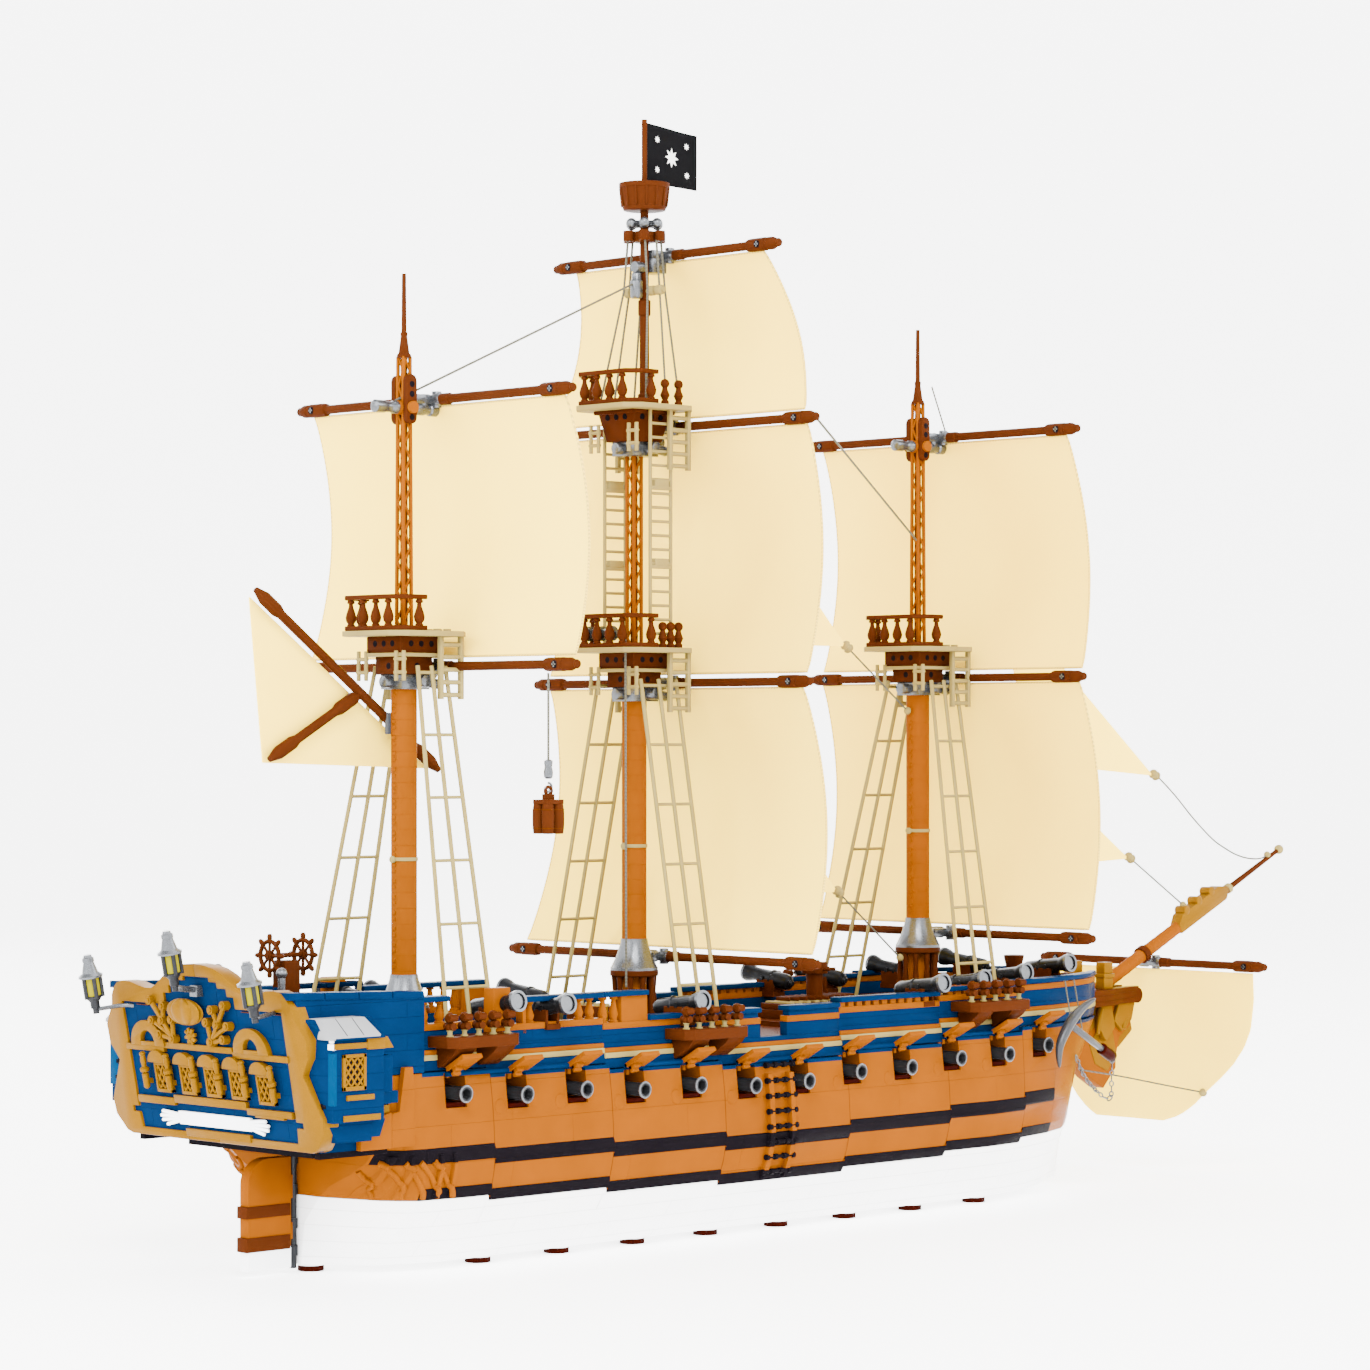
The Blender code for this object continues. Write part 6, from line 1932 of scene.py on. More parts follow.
    def carvings(self) -> None:
        """Makes the gourd, the star and the two branches."""
        gold, star = Leaning(), Leaning()
        middle, face = (self.aft - 2.6, -11.0, 156.2), self.aft
        rows = []
        for j in range(1, 12):
            t = math.pi * j / 12
            row = []
            for k in range(40):
                a = 2 * math.pi * k / 40
                lobe = 1 - 0.20 * abs(math.cos(4.0 * a)) ** 4
                row.append(gold.point((middle[0] - 4.6 * math.sin(t) * math.cos(a) * lobe,
                                       middle[1] + 16.2 * math.sin(t) * math.sin(a) * lobe,
                                       middle[2] - 8.0 * math.cos(t))))
            rows.append(row)
        gold.rings(rows)
        for sign, shift in ((-1, -11.0), (1, -7.0)):
            def at(q: float, z: float) -> Spot:
                """Places a point of the branch on its side."""
                return (face - 1.6, shift + sign * q, z)
            limbs = [((16, 139.5), (24, 150)), ((24, 150), (33, 161.5)), ((16, 139.5), (14.5, 151)),
                     ((24, 150), (21, 158.5)),
                     ((17, 141.5), (28, 147)), ((28, 147), (33.5, 149.5)), ((17, 139.5), (28, 141.5))]
            for a, b in limbs:
                gold.rod(at(*a), at(*b), 1.5, sides=8)
            for a in ((16, 139.5), (24, 150), (33, 161.5), (14.5, 151), (21, 158.5), (33.5, 149.5), (28, 141.5)):
                gold.rod((face - 3.6, *at(*a)[1:]), (face + 1, *at(*a)[1:]), 2.7, sides=12)
                star.rod((face - 4.4, *at(*a)[1:]), (face - 3, *at(*a)[1:]), 1.5, sides=10)
        for k in range(8):
            t = math.pi * k / 4 + 0.2
            star.rod((face - 1.4, -10.5, 142.0), (face - 1.4, -10.5 + 5.0 * math.cos(t), 142.0 + 5.0 * math.sin(t)),
                     1.6, 1.1, 8)
        star.ball((face - 1.8, -10.5, 142.0), 2.4, 12)
        gold.done("stern_carvings", GOLD)
        star.done("stern_star", GOLD, bevel=0.2)

    def board(self) -> None:
        """Makes the bare white name board with its split ends."""
        board, aft = Leaning(), self.aft
        board.plate([(-35, 96.6), (32, 96.6), (32, 88.8), (-35, 88.8)], Lie.ACROSS, aft - 0.6, 0.4)
        for sign, q in ((-1, -35.0), (1, 32.0)):
            for long, drop in ((15.0, 3.4), (17.0, 0.8), (16.0, -1.8), (12.0, -4.2)):
                root = (aft - 0.2, q - sign * 0.6, 92.8 + drop * 0.45)
                board.tube(smooth_line([root, (aft - 0.6, q + sign * long * 0.55, 92.6 + drop * 0.8),
                                        (aft - 0.4, q + sign * long, 92.2 + drop)], 3), 1.15, 6)
        board.done("name_board", PLAIN_WHITE, bevel=0.3)


@dataclass
class Lanterns:
    """The three stern lanterns on their arms."""

    places: tuple[Spot, ...] = ((-171.5, 0.0, 169.5), (-172.5, -75.0, 153.0), (-172.5, 75.0, 155.0))
    lean: float = -11.0

    def build(self) -> None:
        """Makes bodies, lenses and arms."""
        cap, cage, lens, arms = Moulding(local=True), Moulding(local=True), Moulding(local=True), Moulding()
        cap.turned((0, 0, 0), (0, 0, 1),
                   [(21.4, 5.0), (21.8, 7.2), (23.0, 7.2), (23.4, 6.4), (24.6, 4.8), (31.0, 3.1), (31.2, 3.6),
                                          (33.4, 3.4), (33.8, 2.6), (35.2, 2.2)], 24)
        cage.turned((0, 0, 0), (0, 0, 1),
                    [(0, 1.9), (3, 1.9), (3.4, 2.8), (7, 2.8), (9.4, 4.6), (10.6, 5.4), (11.4, 3.0)], 14)
        for k in range(5):
            t = math.pi * (k / 2.5 + 0.2)
            x, y = 5.2 * math.cos(t), 5.2 * math.sin(t)
            cage.rod((x, y, 9.6), (x, y, 21.8), 1.3, sides=8)
        lens.turned((0, 0, 0), (0, 0, 1), [(10.2, 3.9), (11, 4.5), (21.0, 4.5), (21.6, 3.9)], 18)
        turns = [(0.0, self.lean, 0.0)] * 3
        REPEATS.set("lantern_caps", cap, self.places, SILVER, turns=turns)
        REPEATS.set("lantern_cages", cage, self.places, GREY, turns=turns)
        # The lenses carry painted light: their finish glows, though the lanterns are no lamps.
        REPEATS.set("lantern_lenses", lens, self.places, YELLOW, turns=turns)
        for p, q, z in self.places:
            root = (transom_face(z) - 1.5, q, z)
            if q:
                arms.tube(smooth_line([(root[0], q * 0.88, z + 4), (root[0] - 5, q * 0.94, z + 4.2), (p, q, z + 2.4)],
                                      5), 1.3, 10)
            else:
                arms.box((root[0] - 4, root[0] + 1), (-3.4, 3.4), (z - 4, z + 2.6)).rod((root[0] - 3, 0, z),
                                                                                        (p, 0, z + 1.6), 1.8)
        arms.done("lantern_arms", SILVER, bevel=0.3)


@dataclass
class Castle:
    """The stern castle: its blue sides, the poop deck and the quarter galleries."""

    def build(self) -> None:
        """Makes the castle's pieces."""
        skin("stern_castle", CASTLE_BLUE, shift=self.settled)
        roof, gold, blue, orange, dark, white, light = (Moulding() for _ in range(7))
        for side in Side:
            s = side.value

            def pair(a: float, b: float) -> Pair:
                """Orders two breadths of this side."""
                return tuple(sorted((s * a, s * b)))
            eaves = [(-143.6, 83.0), (-107.0, 83.0), (-107.0, 106.0), (-143.6, 106.0)]
            ridge = [(-142.4, 83.0), (-110.0, 83.0), (-110.0, 95.0), (-142.4, 95.0)]
            roof.rings([[roof.point((p, s * q, z)) for p, q in ring]
                        for ring, z in ((eaves, 145.0), (eaves, 147.0), (ridge, 156.4))])
            for p in (-131.5, -119.5):
                # Dark joints between the roof's slopes.
                dark.rod((p, s * 106.0, 147.1), (p, s * 95.2, 156.2), 0.22, sides=6)
            gold.box((-140.6, -116), pair(103, 105.2), (139.6, 142.8)).box((-116, -103), pair(96, 105.2),
                                                                           (138.6, 145.2))
            gold.plate([(-103.2, 138.6), (-95, 138.6), (-99.5, 145.2), (-103.2, 145.2)], Lie.ALONG, *pair(84, 103))
            gold.box((-131, -111), pair(103, 105.4), (110.4, 113.4)).box((-133, -106), pair(96.5, 104.8), (98.6, 102))
            gold.box((-111, -84.0), pair(83, 86.2), (96.8, 104.2))
            x0, x1, z0, z1 = -134.0, -117.0, 116.0, 136.5
            for a, b, c, d in ((x0, x0 + 2, z0, z1), (x1 - 2, x1, z0, z1), (x0, x1, z0, z0 + 2.4),
                               (x0, x1, z1 - 2, z1)):
                gold.box((a, b), pair(103, 105.4), (c, d))
            for k in range(-3, 4):
                for lean in (-1, 1):
                    ends = [(0.0, (x0 + x1) / 2 + 4.4 * k + lean * (z - 126.4) * 0.8, z) for z in (z0 + 2, z1 - 1.6)]
                    bar = Transom.clip(*ends, x0 + 1.4, x1 - 1.4)
                    if bar:
                        gold.rod((bar[0][1], s * 104.5, bar[0][2]), (bar[1][1], s * 104.5, bar[1][2]), 0.75, sides=6)
            # Painted shade: a black sheet behind the gallery's lattice, where its inside lies in shade.
            dark.box((x0 + 1, x1 - 1), pair(103.4, 104.2), (z0 + 1, z1 - 1))
            light.box((-141.2, -138), pair(87, 104.6), (108, 137.5))
            # Painted shade: black slots on the gallery's aft face, where the holes lie in shade.
            for z, wide in ((141.2, 3.4), (136.0, 3.4), (130.6, 3.2), (122.0, 2.6), (112.6, 3.4), (107.2, 3.4)):
                dark.box((-141.5, -140), pair(95.4 - wide, 95.4 + wide), (z - 1.1, z + 1.1))
                dark.box((-141.55, -140), pair(94.6, 96.2), (z - 1.7, z + 1.7))
            white.box((-141.3, -139), pair(87, 105.0), (139.4, 142.8)).box((-141.0, -139), pair(88, 104.0),
                                                                           (143.2, 145.0))
            blue.plate([(-132, 98), (-96, 98), (-100, 88), (-126, 88)], Lie.ALONG, *pair(84, 97))
            blue.box((-104, -92), pair(90, 98.6), (113, 134)).box((-104, -84), pair(84, 94), (106, 113))
            orange.plate([(-107.2, 79.2), (-83.9, 79.2), (-83.9, 100.2), (-107.2, 94.2)], Lie.ALONG, *pair(84, 88.3))
            for a, b in ((-156, -131), (-130, -106), (-105, -81), (-80, -57)):
                low, high = self.wall_top(a), self.wall_top(b)
                blue.plate([(a, low - 3), (b, high - 3), (b, high + 1.2), (a, low + 1.2)], Lie.ALONG, *pair(75, 84.8))
            # Painted shade: a black strip under the gallery, where its overhang casts shade.
            dark.box((-134, -84), pair(80, 84.2), (76.0, 79.4))
        roof.done("gallery_roofs", PALE_GREY, bevel=0.3)
        gold.done("gallery_trims", GOLD, bevel=0.25)
        blue.done("gallery_blocks", BLUE, bevel=0.4)
        # Painted shade: a black band under the castle's overhang.
        dark.box((-118, -62), (-58, 58), (73.6, 77.0)).box((-112, -84), (-70, 70), (76.6, 78.6))
        orange.done("quarter_panels", ORANGE, bevel=0.4)
        dark.done("gallery_holes", BLACK)
        white.done("gallery_corners", PLAIN_WHITE, bevel=0.3)
        light.done("gallery_columns", LIGHT_BLUE, bevel=0.3)
        self.poop()

    @staticmethod
    def wall_top(station: float) -> float:
        """Gives the height of the wall's top."""
        return 167.0 - 0.03 * (station + 56.0)

    @staticmethod
    def settled(spot: Spot) -> Spot:
        """Lowers the castle's wall to the photograph's line and draws the gallery's aft end in.

        Args:
            spot: The node's place.

        Returns:
            The photograph's place.
        """
        p, q, z = spot
        if z > 163.0:
            z = min(z, Castle.wall_top(p))
        if abs(q) > 88.0 and p < -112.0:
            p = -132.0 if z < 97.5 else -140.0
        return (p, q, z)

    def poop(self) -> None:
        """Makes the planks and small fittings of the poop deck."""
        planks, silver, brown = Moulding(), Moulding(), Moulding()
        for k in range(12):
            planks.box((-154 if k % 2 else -150, -58), (-74 + 12.4 * k, -62 + 12.4 * k), (158.0, 158.5))
        for q in (-30.0, 30.0):
            silver.rod((-118, q, 158.5), (-118, q, 176), 2.2, sides=12).ball((-118, q, 178.5), 3.4, 14)
        for q in (-44.0, 44.0):
            brown.box((-76, -62), (q - 12, q + 12), (158.5, 163))
        brown.box((-96.4, -84.6), (-5.6, 5.6), (158, 184))
        planks.done("poop_planks", DECK_PLANKS, bevel=0.2)
        silver.done("poop_stands", SILVER)
        brown.done("poop_lockers", BROWN, bevel=0.4)


@dataclass
class Steering:
    """The rudder and the two wheels."""

    height: float = 187.0

    def build(self) -> None:
        """Makes the rudder and the wheels on their bodies."""
        blade, foot, straps, axle = (Moulding() for _ in range(4))
        curve = [(-107 - 15 * math.sin(t), 54 + 15 * math.cos(t)) for t in (k * math.pi / 20 for k in range(11))]
        blade.plate([(-90, 16.2), (-90, 69), *curve, (-122, 16.2)], Lie.ALONG, -4, 4)
        blade.box((-92, -87.6), (-2.6, 2.6), (20, 30)).box((-92, -87.6), (-2.6, 2.6), (44, 58))
        foot.box((-122, -90), (-4, 4), (3.6, 16.1))
        for low, high in ((14.9, 23.4), (34.5, 41.6)):
            straps.box((-123.6, -91), (-4.7, 4.7), (low, high))
        axle.rod((-85.7, 0, 2.6), (-85.7, 0, 75.5), 2.3, sides=14)
        for z in (10.0, 26.0, 46.0, 64.0):
            axle.rod((-85.7, 0, z), (-85.7, 0, z + 6), 3.0, sides=14).box((-91, -86), (-1.6, 1.6), (z + 1, z + 5))
        blade.done("rudder_blade", ORANGE, "rudder", ["rudder"], 0.5)
        foot.done("rudder_foot", PLAIN_WHITE, "rudder", bevel=0.5)
        straps.done("rudder_straps", BROWN, "rudder", bevel=0.3)
        axle.done("rudder_axle", GREY, "rudder")
        wheels = Moulding()
        z = self.height
        wheels.rod((-105, 0, z), (-76, 0, z), 1.5, sides=12)
        for p in (-103.0, -78.0):
            wheels.hoop((p, 0, z), Lie.ACROSS, 8.6, 1.35, 32, 8)
            wheels.rod((p - 1.6, 0, z), (p + 1.6, 0, z), 2.8, sides=14)
            for k in range(8):
                t = math.pi * k / 4
                out = (math.cos(t), math.sin(t))
                wheels.turned((p, 0, z), (p, out[0] * 12, z + out[1] * 12),
                              [(1, 0.9), (7.4, 0.9), (8.8, 1.3), (11.4, 1.6), (12.9, 1.0)], 8)
        wheels.done("helm_wheels", BROWN, "helm", ["helm"])


@dataclass
class Bow:
    """The bowsprit, the beakhead with its figurehead, and the anchors."""

    foot: Pair = (600.9, 112.0)
    rise: float = 0.452

    def along(self, station: float) -> Spot:
        """Gives a place on the bowsprit's axis."""
        return (station, 0.0, self.foot[1] + self.rise * (station - self.foot[0]))

    def build(self) -> None:
        """Makes the bow's pieces."""
        spar, boom, cap, bead = (Moulding() for _ in range(4))
        spar.turned(self.along(604), self.along(748),
                    [(0, 5.4)] + [(9.6 * k + d, 5.35 - 0.05 * k - (0.25 if d else 0)) for k in range(1, 16)
                                                                     for d in (0.0, 0.3)] + [(158, 4.6)], 18)
        boom.turned(self.along(742), self.along(866),
                    [(0, 2.6), (60, 2.5), (61, 3.2), (66, 3.2), (67, 2.2), (134, 1.6)], 14)
        boom.turned(self.along(700), self.along(706), [(0, 6.2), (5, 6.2)], 18)
        bead.ball(self.along(864), 3.6, 16)
        bead.turned(self.along(800), self.along(806), [(0, 3.0), (1, 3.8), (4, 3.8), (5, 3.0)], 14)
        lean = math.atan(self.rise)
        middle = self.along(770)

        def turned(p: float, z: float) -> Pair:
            """Leans a point of the cap with the bowsprit."""
            return (middle[0] + p * math.cos(lean) - z * math.sin(lean),
                    middle[2] + p * math.sin(lean) + z * math.cos(lean))
        cap.plate([turned(a, b) for a, b in ((-32, -4), (26, -4), (31, 1), (31, 4), (22, 8.4), (-26, 8.4), (-32, 3))],
                  Lie.ALONG, -4.6, 4.6)
        for a, b in ((-20, 9.0), (-4, 9.0), (12, 9.0)):
            p, z = turned(a, b)
            cap.rod((p, -4.8, z), (p, 4.8, z), 3.4, sides=14)
        spar.done("bowsprit_spar", ORANGE, nodes=["bowsprit"])
        boom.done("jib_boom", BROWN)
        cap.done("bowsprit_cap", GOLD, bevel=0.5)
        bead.done("bowsprit_bead", TAN)
        self.beakhead()
        self.figurehead()
        for side in Side:
            self.anchor(side)

    def beakhead(self) -> None:
        """Makes the platform, the knee, the bitts and the stepped bow."""
        wood, knee, gold, steps = (Moulding() for _ in range(4))
        half = [(600.4, 30.0), (618, 28.6), (640, 24.0), (658, 17.0), (670, 13.4), (680, 12.6), (685, 10.4), (686, 6.0)]
        for low, high, share in ((124.4, 128.4, 0.96), (128.5, 132.4, 0.985), (132.5, 136.0, 1.0)):
            for sign in (1, -1):
                piece = [(p, sign * q * share) for p, q in half] + [(686, sign * 5.9), (600.4, sign * 5.9)]
                wood.plate(piece, Lie.LEVEL, low, high)
        wood.rod((682, -5.9, 129.6), (682, -12.0, 129.6), 5.6, sides=18).rod((682, 5.9, 129.6), (682, 12.0, 129.6), 5.6,
                                                                             sides=18)
        wood.rod((652, 0, 124.2), (652, 0, 128), 12.0, sides=20)
        wood.done("beakhead_wood", BROWN, nodes=["beakhead"], bevel=0.5)
        knee.plate([(600.6, 127), (684, 127), (682, 118), (680, 108), (668, 100), (664, 86), (664, 78), (650, 64),
                    (636, 72),
                    (620, 86), (600.6, 92)], Lie.ALONG, -6.6, 6.6)
        knee.done("beakhead_knee", ORANGE, bevel=0.6)
        for sign in (1, -1):
            a, b = sorted((sign * 10, sign * 18))
            gold.box((637, 647), (a, b), (135.9, 144)).box((636, 648), (a - 1, b + 1),
                                                           (144, 147)).box((637.4, 646.6), (a, b), (147, 155))
            for k in range(4):
                steps.box((601, 617 - 4 * k), sorted((sign * 7, sign * (26 - 2 * k))),
                          (136.0 + 3.2 * k, 139.2 + 3.2 * k))
        gold.done("bitts", GOLD, bevel=0.4)
        steps.done("bow_steps", BROWN, bevel=0.3)

    def figurehead(self) -> None:
        """Makes the angular gold figurehead under the bowsprit."""
        gold = Moulding()
        gold.plate([(640, 127), (684, 127), (686, 120), (682, 112), (684, 104), (676, 98), (668, 92), (660, 100),
                    (646, 108)], Lie.ALONG, -5.4, 5.4)
        gold.plate([(628, 127), (650, 127), (644, 112), (634, 106), (626, 114)], Lie.ALONG, -8.4, 8.4)
        gold.plate([(646, 110), (660, 104), (664, 88), (654, 76), (640, 82), (634, 96)], Lie.ALONG, -7.4, 7.4)
        for side in Side:
            s = side.value
            gold.plate([(664, 126), (682, 126), (678, 112), (668, 104), (658, 112)], Lie.ALONG,
                       *sorted((s * 5, s * 10)))
            gold.plate([(640, 124), (652, 124), (656, 108), (646, 98), (638, 108)], Lie.ALONG, *sorted((s * 8, s * 13)))
            gold.rod((680, s * 5, 122), (668, s * 10, 106), 2.8, 2.0, 10).rod((640, s * 12, 122), (632, s * 16, 104),
                                                                              2.4, 1.6, 10)
        gold.done("figurehead", GOLD, bevel=0.8)

    def anchor(self, side: Side) -> None:
        """Makes an anchor, its red stock sleeve, its chain and its lines.

        Args:
            side: The side of the ship.
        """
        s, word = side.value, side.word
        iron, sleeve, lines = Moulding(), Moulding(), Moulding()
        crown, ring = (513.0, s * 90.5, 121.0), (583.0, s * 70.0, 94.0)
        iron.rod(crown, ring, 2.5, 2.2, 12)
        arms = smooth_line([(503, s * 90, 92), (503, s * 90.5, 107), crown, (526, s * 90.5, 131), (541, s * 90, 137)],
                           6)
        iron.tube(arms, 3.6, 12, taper=0.12)
        sleeve.turned(tuple(Vector(crown).lerp(Vector(ring), 0.74)), ring,
                      [(0, 3.0), (1, 4.0), (12, 4.2), (18.6, 4.2), (19.6, 3.4)], 14)
        iron.hoop(ring, Lie.ALONG, 3.2, 0.9, 16, 6)
        lines.tube([(516, s * 84, 150), (515, s * 90, 124)], 0.55).tube([(530, s * 80, 150), (528, s * 89, 117)], 0.55)
        iron.done(f"anchor_iron_{word}", STEEL, nodes=[f"anchor_{word}"], bevel=0.2)
        sleeve.done(f"anchor_sleeve_{word}", DARK_RED)
        lines.done(f"anchor_lines_{word}", CORD)
        path = smooth_line([ring, (592, s * 62, 78), (598, s * 56, 64), (590, s * 54, 66), (568, s * 58, 80),
                            (551, s * 64.5, 95)], 8)
        spots, turns, left = [], [], 0.0
        for a, b in zip(path, path[1:]):
            left += math.dist(a, b)
            if left >= 3.3:
                left = 0.0
                way = Vector((b[0] - a[0], -(b[1] - a[1]), b[2] - a[2]))
                turn = way.to_track_quat("X", "Z").to_matrix() @ Matrix.Rotation(math.pi / 2 * (len(spots) % 2), 3, "X")
                spots.append(b)
                turns.append(tuple(math.degrees(t) for t in turn.to_euler()))
        link = Moulding(local=True)
        link.tube([(2.3 * math.cos(t), 1.35 * math.sin(t), 0) for t in (k * math.pi / 6 for k in range(12))], 0.5, 6,
                  True)
        REPEATS.set(f"anchor_chain_{word}", link, spots, SILVER, turns=turns)


@dataclass
class Hoist:
    """The cargo hoist under the crossjack yard."""

    station: float = 23.0
    breadth: float = 104.0

    def build(self) -> None:
        """Makes the line, the hook and the bundle of casks."""
        p, q, body = self.station, self.breadth, "cargo_hoist"
        line, hook, casks, hoops = (Moulding() for _ in range(4))
        line.rod((p, q, 299), (p, q, 353), 0.7, sides=8)
        hook.turned((p, q, 290.6), (p, q, 400),
                    [(0, 1.6), (1, 2.6), (4, 2.9), (7, 2.2), (9, 2.6), (10.6, 2.6), (11.4, 1.2)], 14)
        hook.tube([(p + 2.6 * math.sin(t), q, 285.6 + 2.6 * math.cos(t)) for t in (k * math.pi / 8 for k in range(13))],
                  0.75, 8)
        for dp in (-4.0, 4.0):
            for dq in (-4.0, 4.0):
                casks.turned((p + dp, q + dq, 258.2), (p + dp, q + dq, 300), [
                    (0, 2.9), (0.6, 3.3), (5, 3.7), (9, 3.8), (13, 3.7), (17.2, 3.2), (17.8, 2.8)], 16)
                for z in (261.5, 272.5):
                    hoops.hoop((p + dp, q + dq, z), Lie.LEVEL, 3.55, 0.3, 18, 6)
        casks.box((p - 6.4, p + 6.4), (q - 6.4, q + 6.4), (275.8, 278.4))
        casks.box((p - 2.6, p + 2.6), (q - 2.6, q + 2.6), (278.2, 281.6))
        casks.hoop((p, q, 283.4), Lie.ALONG, 2.4, 1.1, 18, 8)
        line.done("hoist_line", CORD, body, ["cargo_hoist"])
        hook.done("hoist_hook", SILVER, body)
        casks.done("hoist_casks", BROWN, body)
        hoops.done("hoist_hoops", DARK_ORANGE, body)


@dataclass
class Flag:
    """The black flag with a plain pattern of its own."""

    pole: float = 201.0

    def spot(self, along: float, down: float, off: float = 0.0) -> Spot:
        """Gives a place on the flag.

        Args:
            along: The share along it from the pole.
            down: The share down it.
            off: How far off the cloth's middle it lies.

        Returns:
            The place.
        """
        top, low = 708.0 - 4 * along, 670.5 - 2.0 * along
        sway = 0.75 * math.sin(7.4 * along + 1.2 * down) * along
        return (self.pole + 2.3 + 43.7 * along, sway + off, top + (low - top) * down)

    def build(self) -> None:
        """Makes the flag and its printed devices."""
        across, down = 32, 20
        grid = [[self.spot(i / across, j / down) for i in range(across + 1)] for j in range(down + 1)]
        cut = [[(i / across * 44.0, -(j / down) * 36.0) for i in range(across + 1)] for j in range(down + 1)]
        cloth, area = sheet_mesh("flag_cloth", grid, cut, 0.5)
        settle(cloth, FLAG_CLOTH, "ship", ["flag"])
        ink = Moulding()
        devices = ((0.5, 0.5, 0.17), (0.2, 0.24, 0.06), (0.8, 0.24, 0.06), (0.2, 0.76, 0.06), (0.8, 0.76, 0.06))
        for face in (-1, 1):
            for cu, cv, size in devices:
                star = []
                for k in range(16):
                    t, reach = k * math.pi / 8, size * (0.5 if k % 2 else 1.0)
                    star.append(self.spot(cu + reach * math.cos(t) * 0.8, cv + reach * math.sin(t), face * 0.34))
                thin = [(p, q + face * 0.12, z) for p, q, z in star]
                ink.rings([[ink.point(s) for s in ring] for ring in (star, thin)])
        ink.done("flag_print", FLAG_INK)


@dataclass
class Rigging:
    """The ladders' shrouds and the loose lines between the masts."""

    lines: tuple[tuple[Spot, ...], ...] = (
        ((-7, 0, 518), (193, 0, 605)), ((223, 130, 514), (454, 4, 450)),
        ((171, 14, 377), (166, 20, 158)),
    )

    def build(self) -> None:
        """Makes shrouds and lines."""
        for mast in ("mizzen", "main", "fore"):
            for side in Side:
                skin(f"shrouds_{mast}_{side.word}", TAN, bevel=0.0, angle=60.0)
        rope = Moulding()
        for line in self.lines:
            rope.tube(line, 0.8, 6)
        rope.done("loose_lines", CORD)


@dataclass
class Studio:
    """The pale backdrop, the lights and the camera of the photograph."""

    place: Spot = (-1.9141, -1.8458, 0.3135)
    turn: float = -44.35
    lens: float = 105.109
    shift: float = 0.0401

    def build(self) -> None:
        """Sets the studio up."""
        self.backdrop()
        world = bpy.data.worlds.new("studio")
        bpy.context.scene.world = world
        world.use_nodes = True
        world.node_tree.nodes["Background"].inputs["Color"].default_value = (1.0, 1.0, 1.0, 1.0)
        world.node_tree.nodes["Background"].inputs["Strength"].default_value = 2.0
        self.lamp("key", (-1.6, -2.4, 2.6), 2.0, 230.0)
        self.lamp("front", (-2.6, 0.2, 1.4), 1.8, 90.0)
        self.lamp("fill", (1.8, -2.2, 1.6), 2.2, 90.0)
        self.lamp("top", (0.2, 0.2, 3.2), 2.6, 120.0)
        self.lamp("spark", (-2.2, -1.7, 2.3), 0.26, 40.0)
        self.lamp("back", (0.9, 2.8, 2.2), 2.4, 90.0)
        lens = bpy.data.cameras.new("photograph")
        lens.lens, lens.sensor_width, lens.shift_y = self.lens, 36.0, self.shift
        eye = placed("photograph", lens)
        eye.location, eye.rotation_euler = self.place, (math.radians(90.0), 0.0, math.radians(self.turn))
        bpy.context.scene.camera = eye

    def lamp(self, name: str, place: Spot, wide: float, power: float) -> None:
        """Hangs a soft lamp that looks at the ship.

        Args:
            name: The lamp's name.
            place: Where it hangs, in metres.
            wide: Its width in metres.
            power: Its power in watts.
        """
        light = bpy.data.lights.new(name, "AREA")
        light.energy, light.size, light.shape = power, wide, "DISK"
        lamp = placed(name, light)
        lamp.location = place
        lamp.rotation_euler = (Vector((0.0, 0.0, 0.3)) - Vector(place)).to_track_quat("-Z", "Y").to_euler()

    def backdrop(self) -> None:
        """Makes the bowl-shaped floor that turns up into a wall."""
        rings = [(0.05 + 5.0 * k / 8, 0.0) for k in range(9)]
        rings += [(5.05 + 2.6 * math.sin(t), 2.6 * (1 - math.cos(t))) for t in (k * math.pi / 20 for k in range(1, 11))]
        rings.append((7.65, 5.2))
        shape = bmesh.new()
        rows = [[shape.verts.new((r * math.cos(a), r * math.sin(a), z)) for a in (k * math.pi / 32 for k in range(64))]
                for r, z in rings]
        shape.faces.new(rows[0])
        for a, b in zip(rows, rows[1:]):
            for i in range(64):
                shape.faces.new((a[i - 1], b[i - 1], b[i], a[i]))
        bmesh.ops.recalc_face_normals(shape, faces=shape.faces)
        piece = cast("backdrop", shape)
        piece.data.shade_smooth()
        piece.data.flip_normals()
        tree = Tree("studio_paper")
        paper = tree.mix(tree.span(tree.noise(6.0), 0.0, 1.0), (0.90, 0.90, 0.90), (0.93, 0.93, 0.93))
        tree.put(tree.shader.inputs["Base Color"], paper)
        tree.put(tree.shader.inputs["Emission Color"], paper)
        tree.shader.inputs["Emission Strength"].default_value = 2.6
        tree.put(tree.shader.inputs["Roughness"], tree.span(tree.noise(12.0), 0.8, 0.9))
        piece.data.materials.append(tree.material)


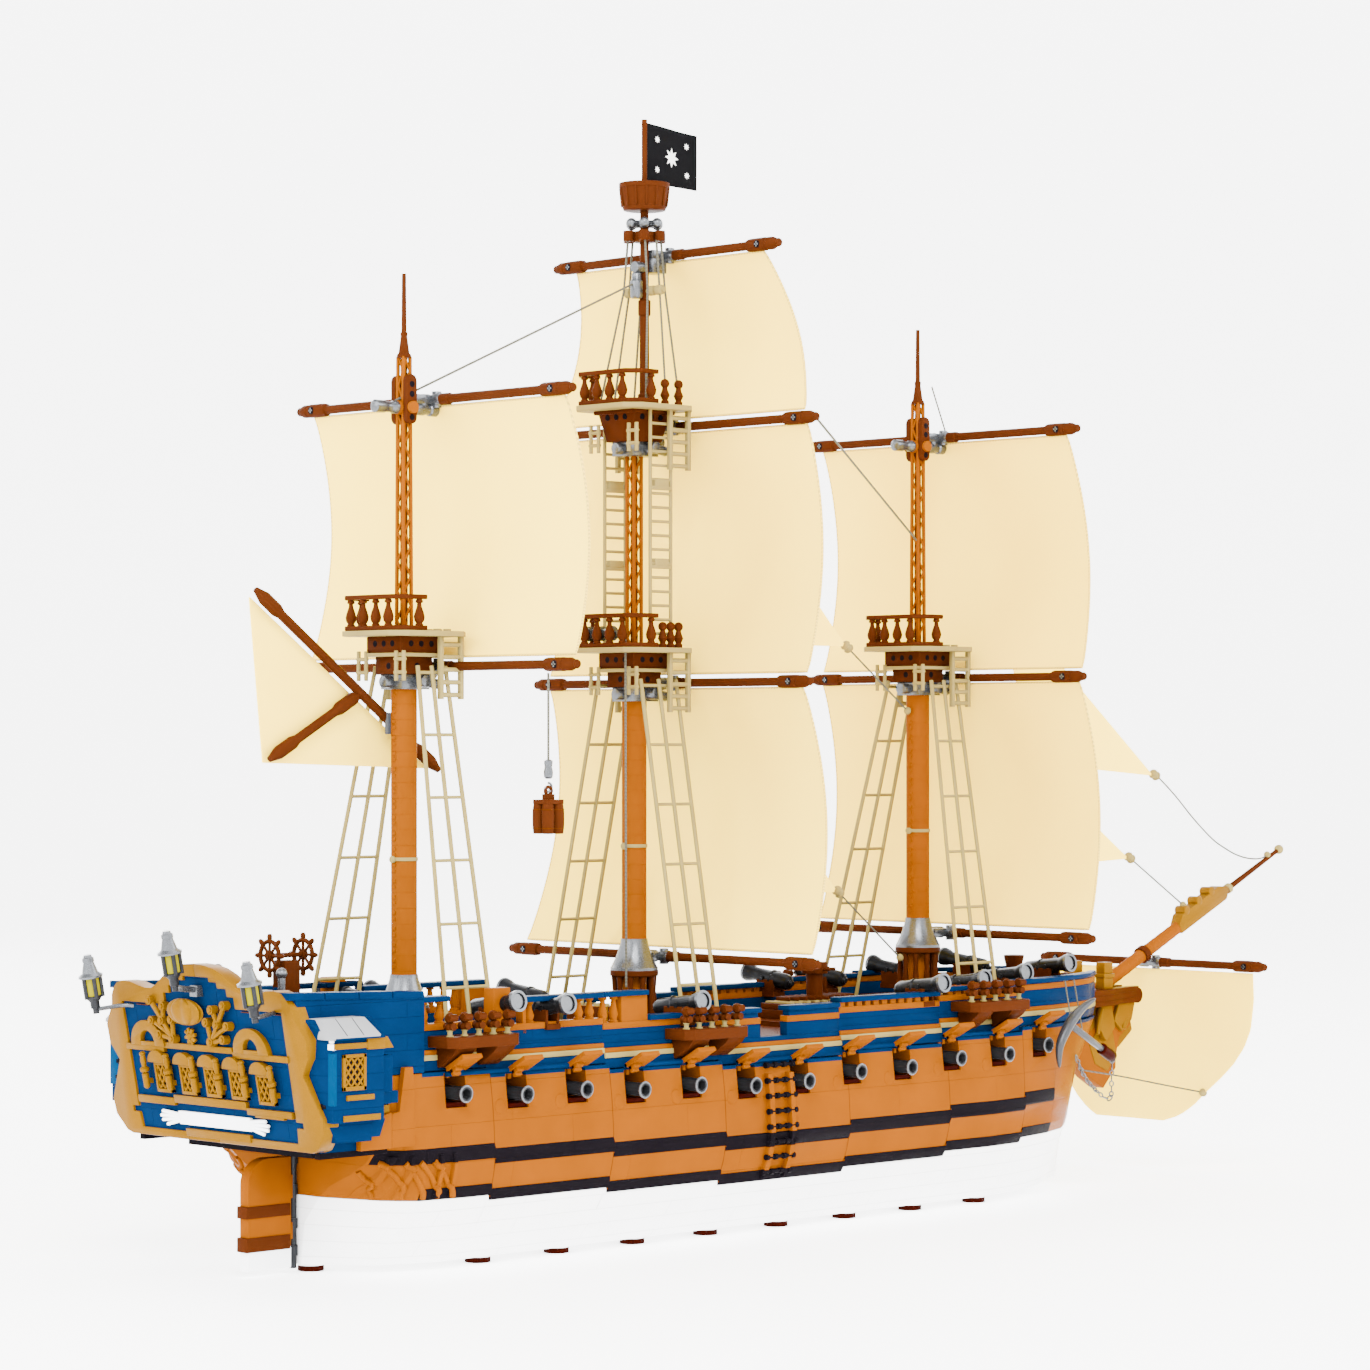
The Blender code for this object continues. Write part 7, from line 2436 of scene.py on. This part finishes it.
MIZZEN = Mast("mizzen", 0.0, 136.2, 172.0, 353.0, 379.0, 545.0)
MAIN = Mast("main", 192.0, 129.8, 187.0, 347.0, 372.0, 510.0, True)
FORE = Mast("fore", 460.0, 133.1, 192.0, 353.0, 377.0, 544.0)
YARDS = (
    Yard("yard_mizzen_topsail", 22.0, 520.0, 127.5, 4.2), Yard("yard_mizzen_crossjack", 23.0, 358.0, 130.0, 17.3),
    Yard("yard_main_royal", 219.0, 624.0, 103.5, 204.6), Yard("yard_main_topsail", 223.0, 514.0, 132.0, 209.4),
    Yard("yard_main_course", 223.0, 350.0, 127.0, 209.4), Yard("yard_main_boom", 214.0, 175.0, 142.0, 205.8),
    Yard("yard_fore_topsail", 481.0, 521.0, 125.5, 464.2), Yard("yard_fore_course", 487.0, 356.0, 126.0, 477.4),
    Yard("yard_fore_boom", 488.0, 181.0, 133.0, 473.6), Yard("yard_spritsail", 712.0, 152.0, 104.0, 709.5),
)
SAILS = (
    SquareSail("sail_mizzen_topsail", "yard_mizzen_topsail", (25.4, 516.15, 116), (28.2, 364, 122), 26),
    SquareSail("sail_main_royal", "yard_main_royal", (222.4, 620.15, 86), (228.2, 520, 116), 22),
    SquareSail("sail_main_topsail", "yard_main_topsail", (226.4, 510.15, 120), (228.2, 356, 118), 24),
    SquareSail("sail_main_course", "yard_main_course", (226.4, 346.15, 116), (219.2, 181, 131), 30),
    SquareSail("sail_fore_topsail", "yard_fore_topsail", (484.4, 517.15, 112), (492.2, 362, 119), 26),
    SquareSail("sail_fore_course", "yard_fore_course", (490.4, 352.15, 118), (493.2, 187, 124), 28),
    StaySail("staysail_main_upper", ((262, 505), (262, 376), (388, 376.4)), (227.3, 513.2),
             ((389.5, 376), (451.5, 332))),
    StaySail("staysail_main_lower", ((264, 334), (264, 211), (380, 211.6)), (227.3, 349.6),
             ((381, 211.6), (443.9, 163.8))),
    StaySail("staysail_fore_upper", ((536, 424), (585, 297), (714, 287.4)), (474.3, 556), (
        (716, 288), (722, 285.1), (739.8, 272.7), (761.3, 255.5), (783, 240.5), (797.6, 233.4), (812.3, 227.9),
        (827.1, 224.9), (842, 224.6), (852, 228))),
    StaySail("staysail_fore_lower", ((590, 290), (548, 222), (686, 227.6)), (491.2, 354.4),
             ((687.5, 228.2), (751, 191.1))),
    Lateen(), SpritSail(),
)


def main() -> None:
    """Builds each sub-assembly in order, and reports it."""
    logging.basicConfig(level=logging.INFO, format="%(message)s")
    parts = (Hull(), Bulwark(), Channels(), Lids(), Guns(), DeckFittings(), MIZZEN, MAIN, FORE, *YARDS, *SAILS,
             Transom(), Lanterns(), Castle(), Steering(), Bow(), Hoist(), Flag(), Rigging(), Studio())
    for part in parts:
        part.build()
        LOG.info("built %s", type(part).__name__)


if __name__ == "__main__":
    main()
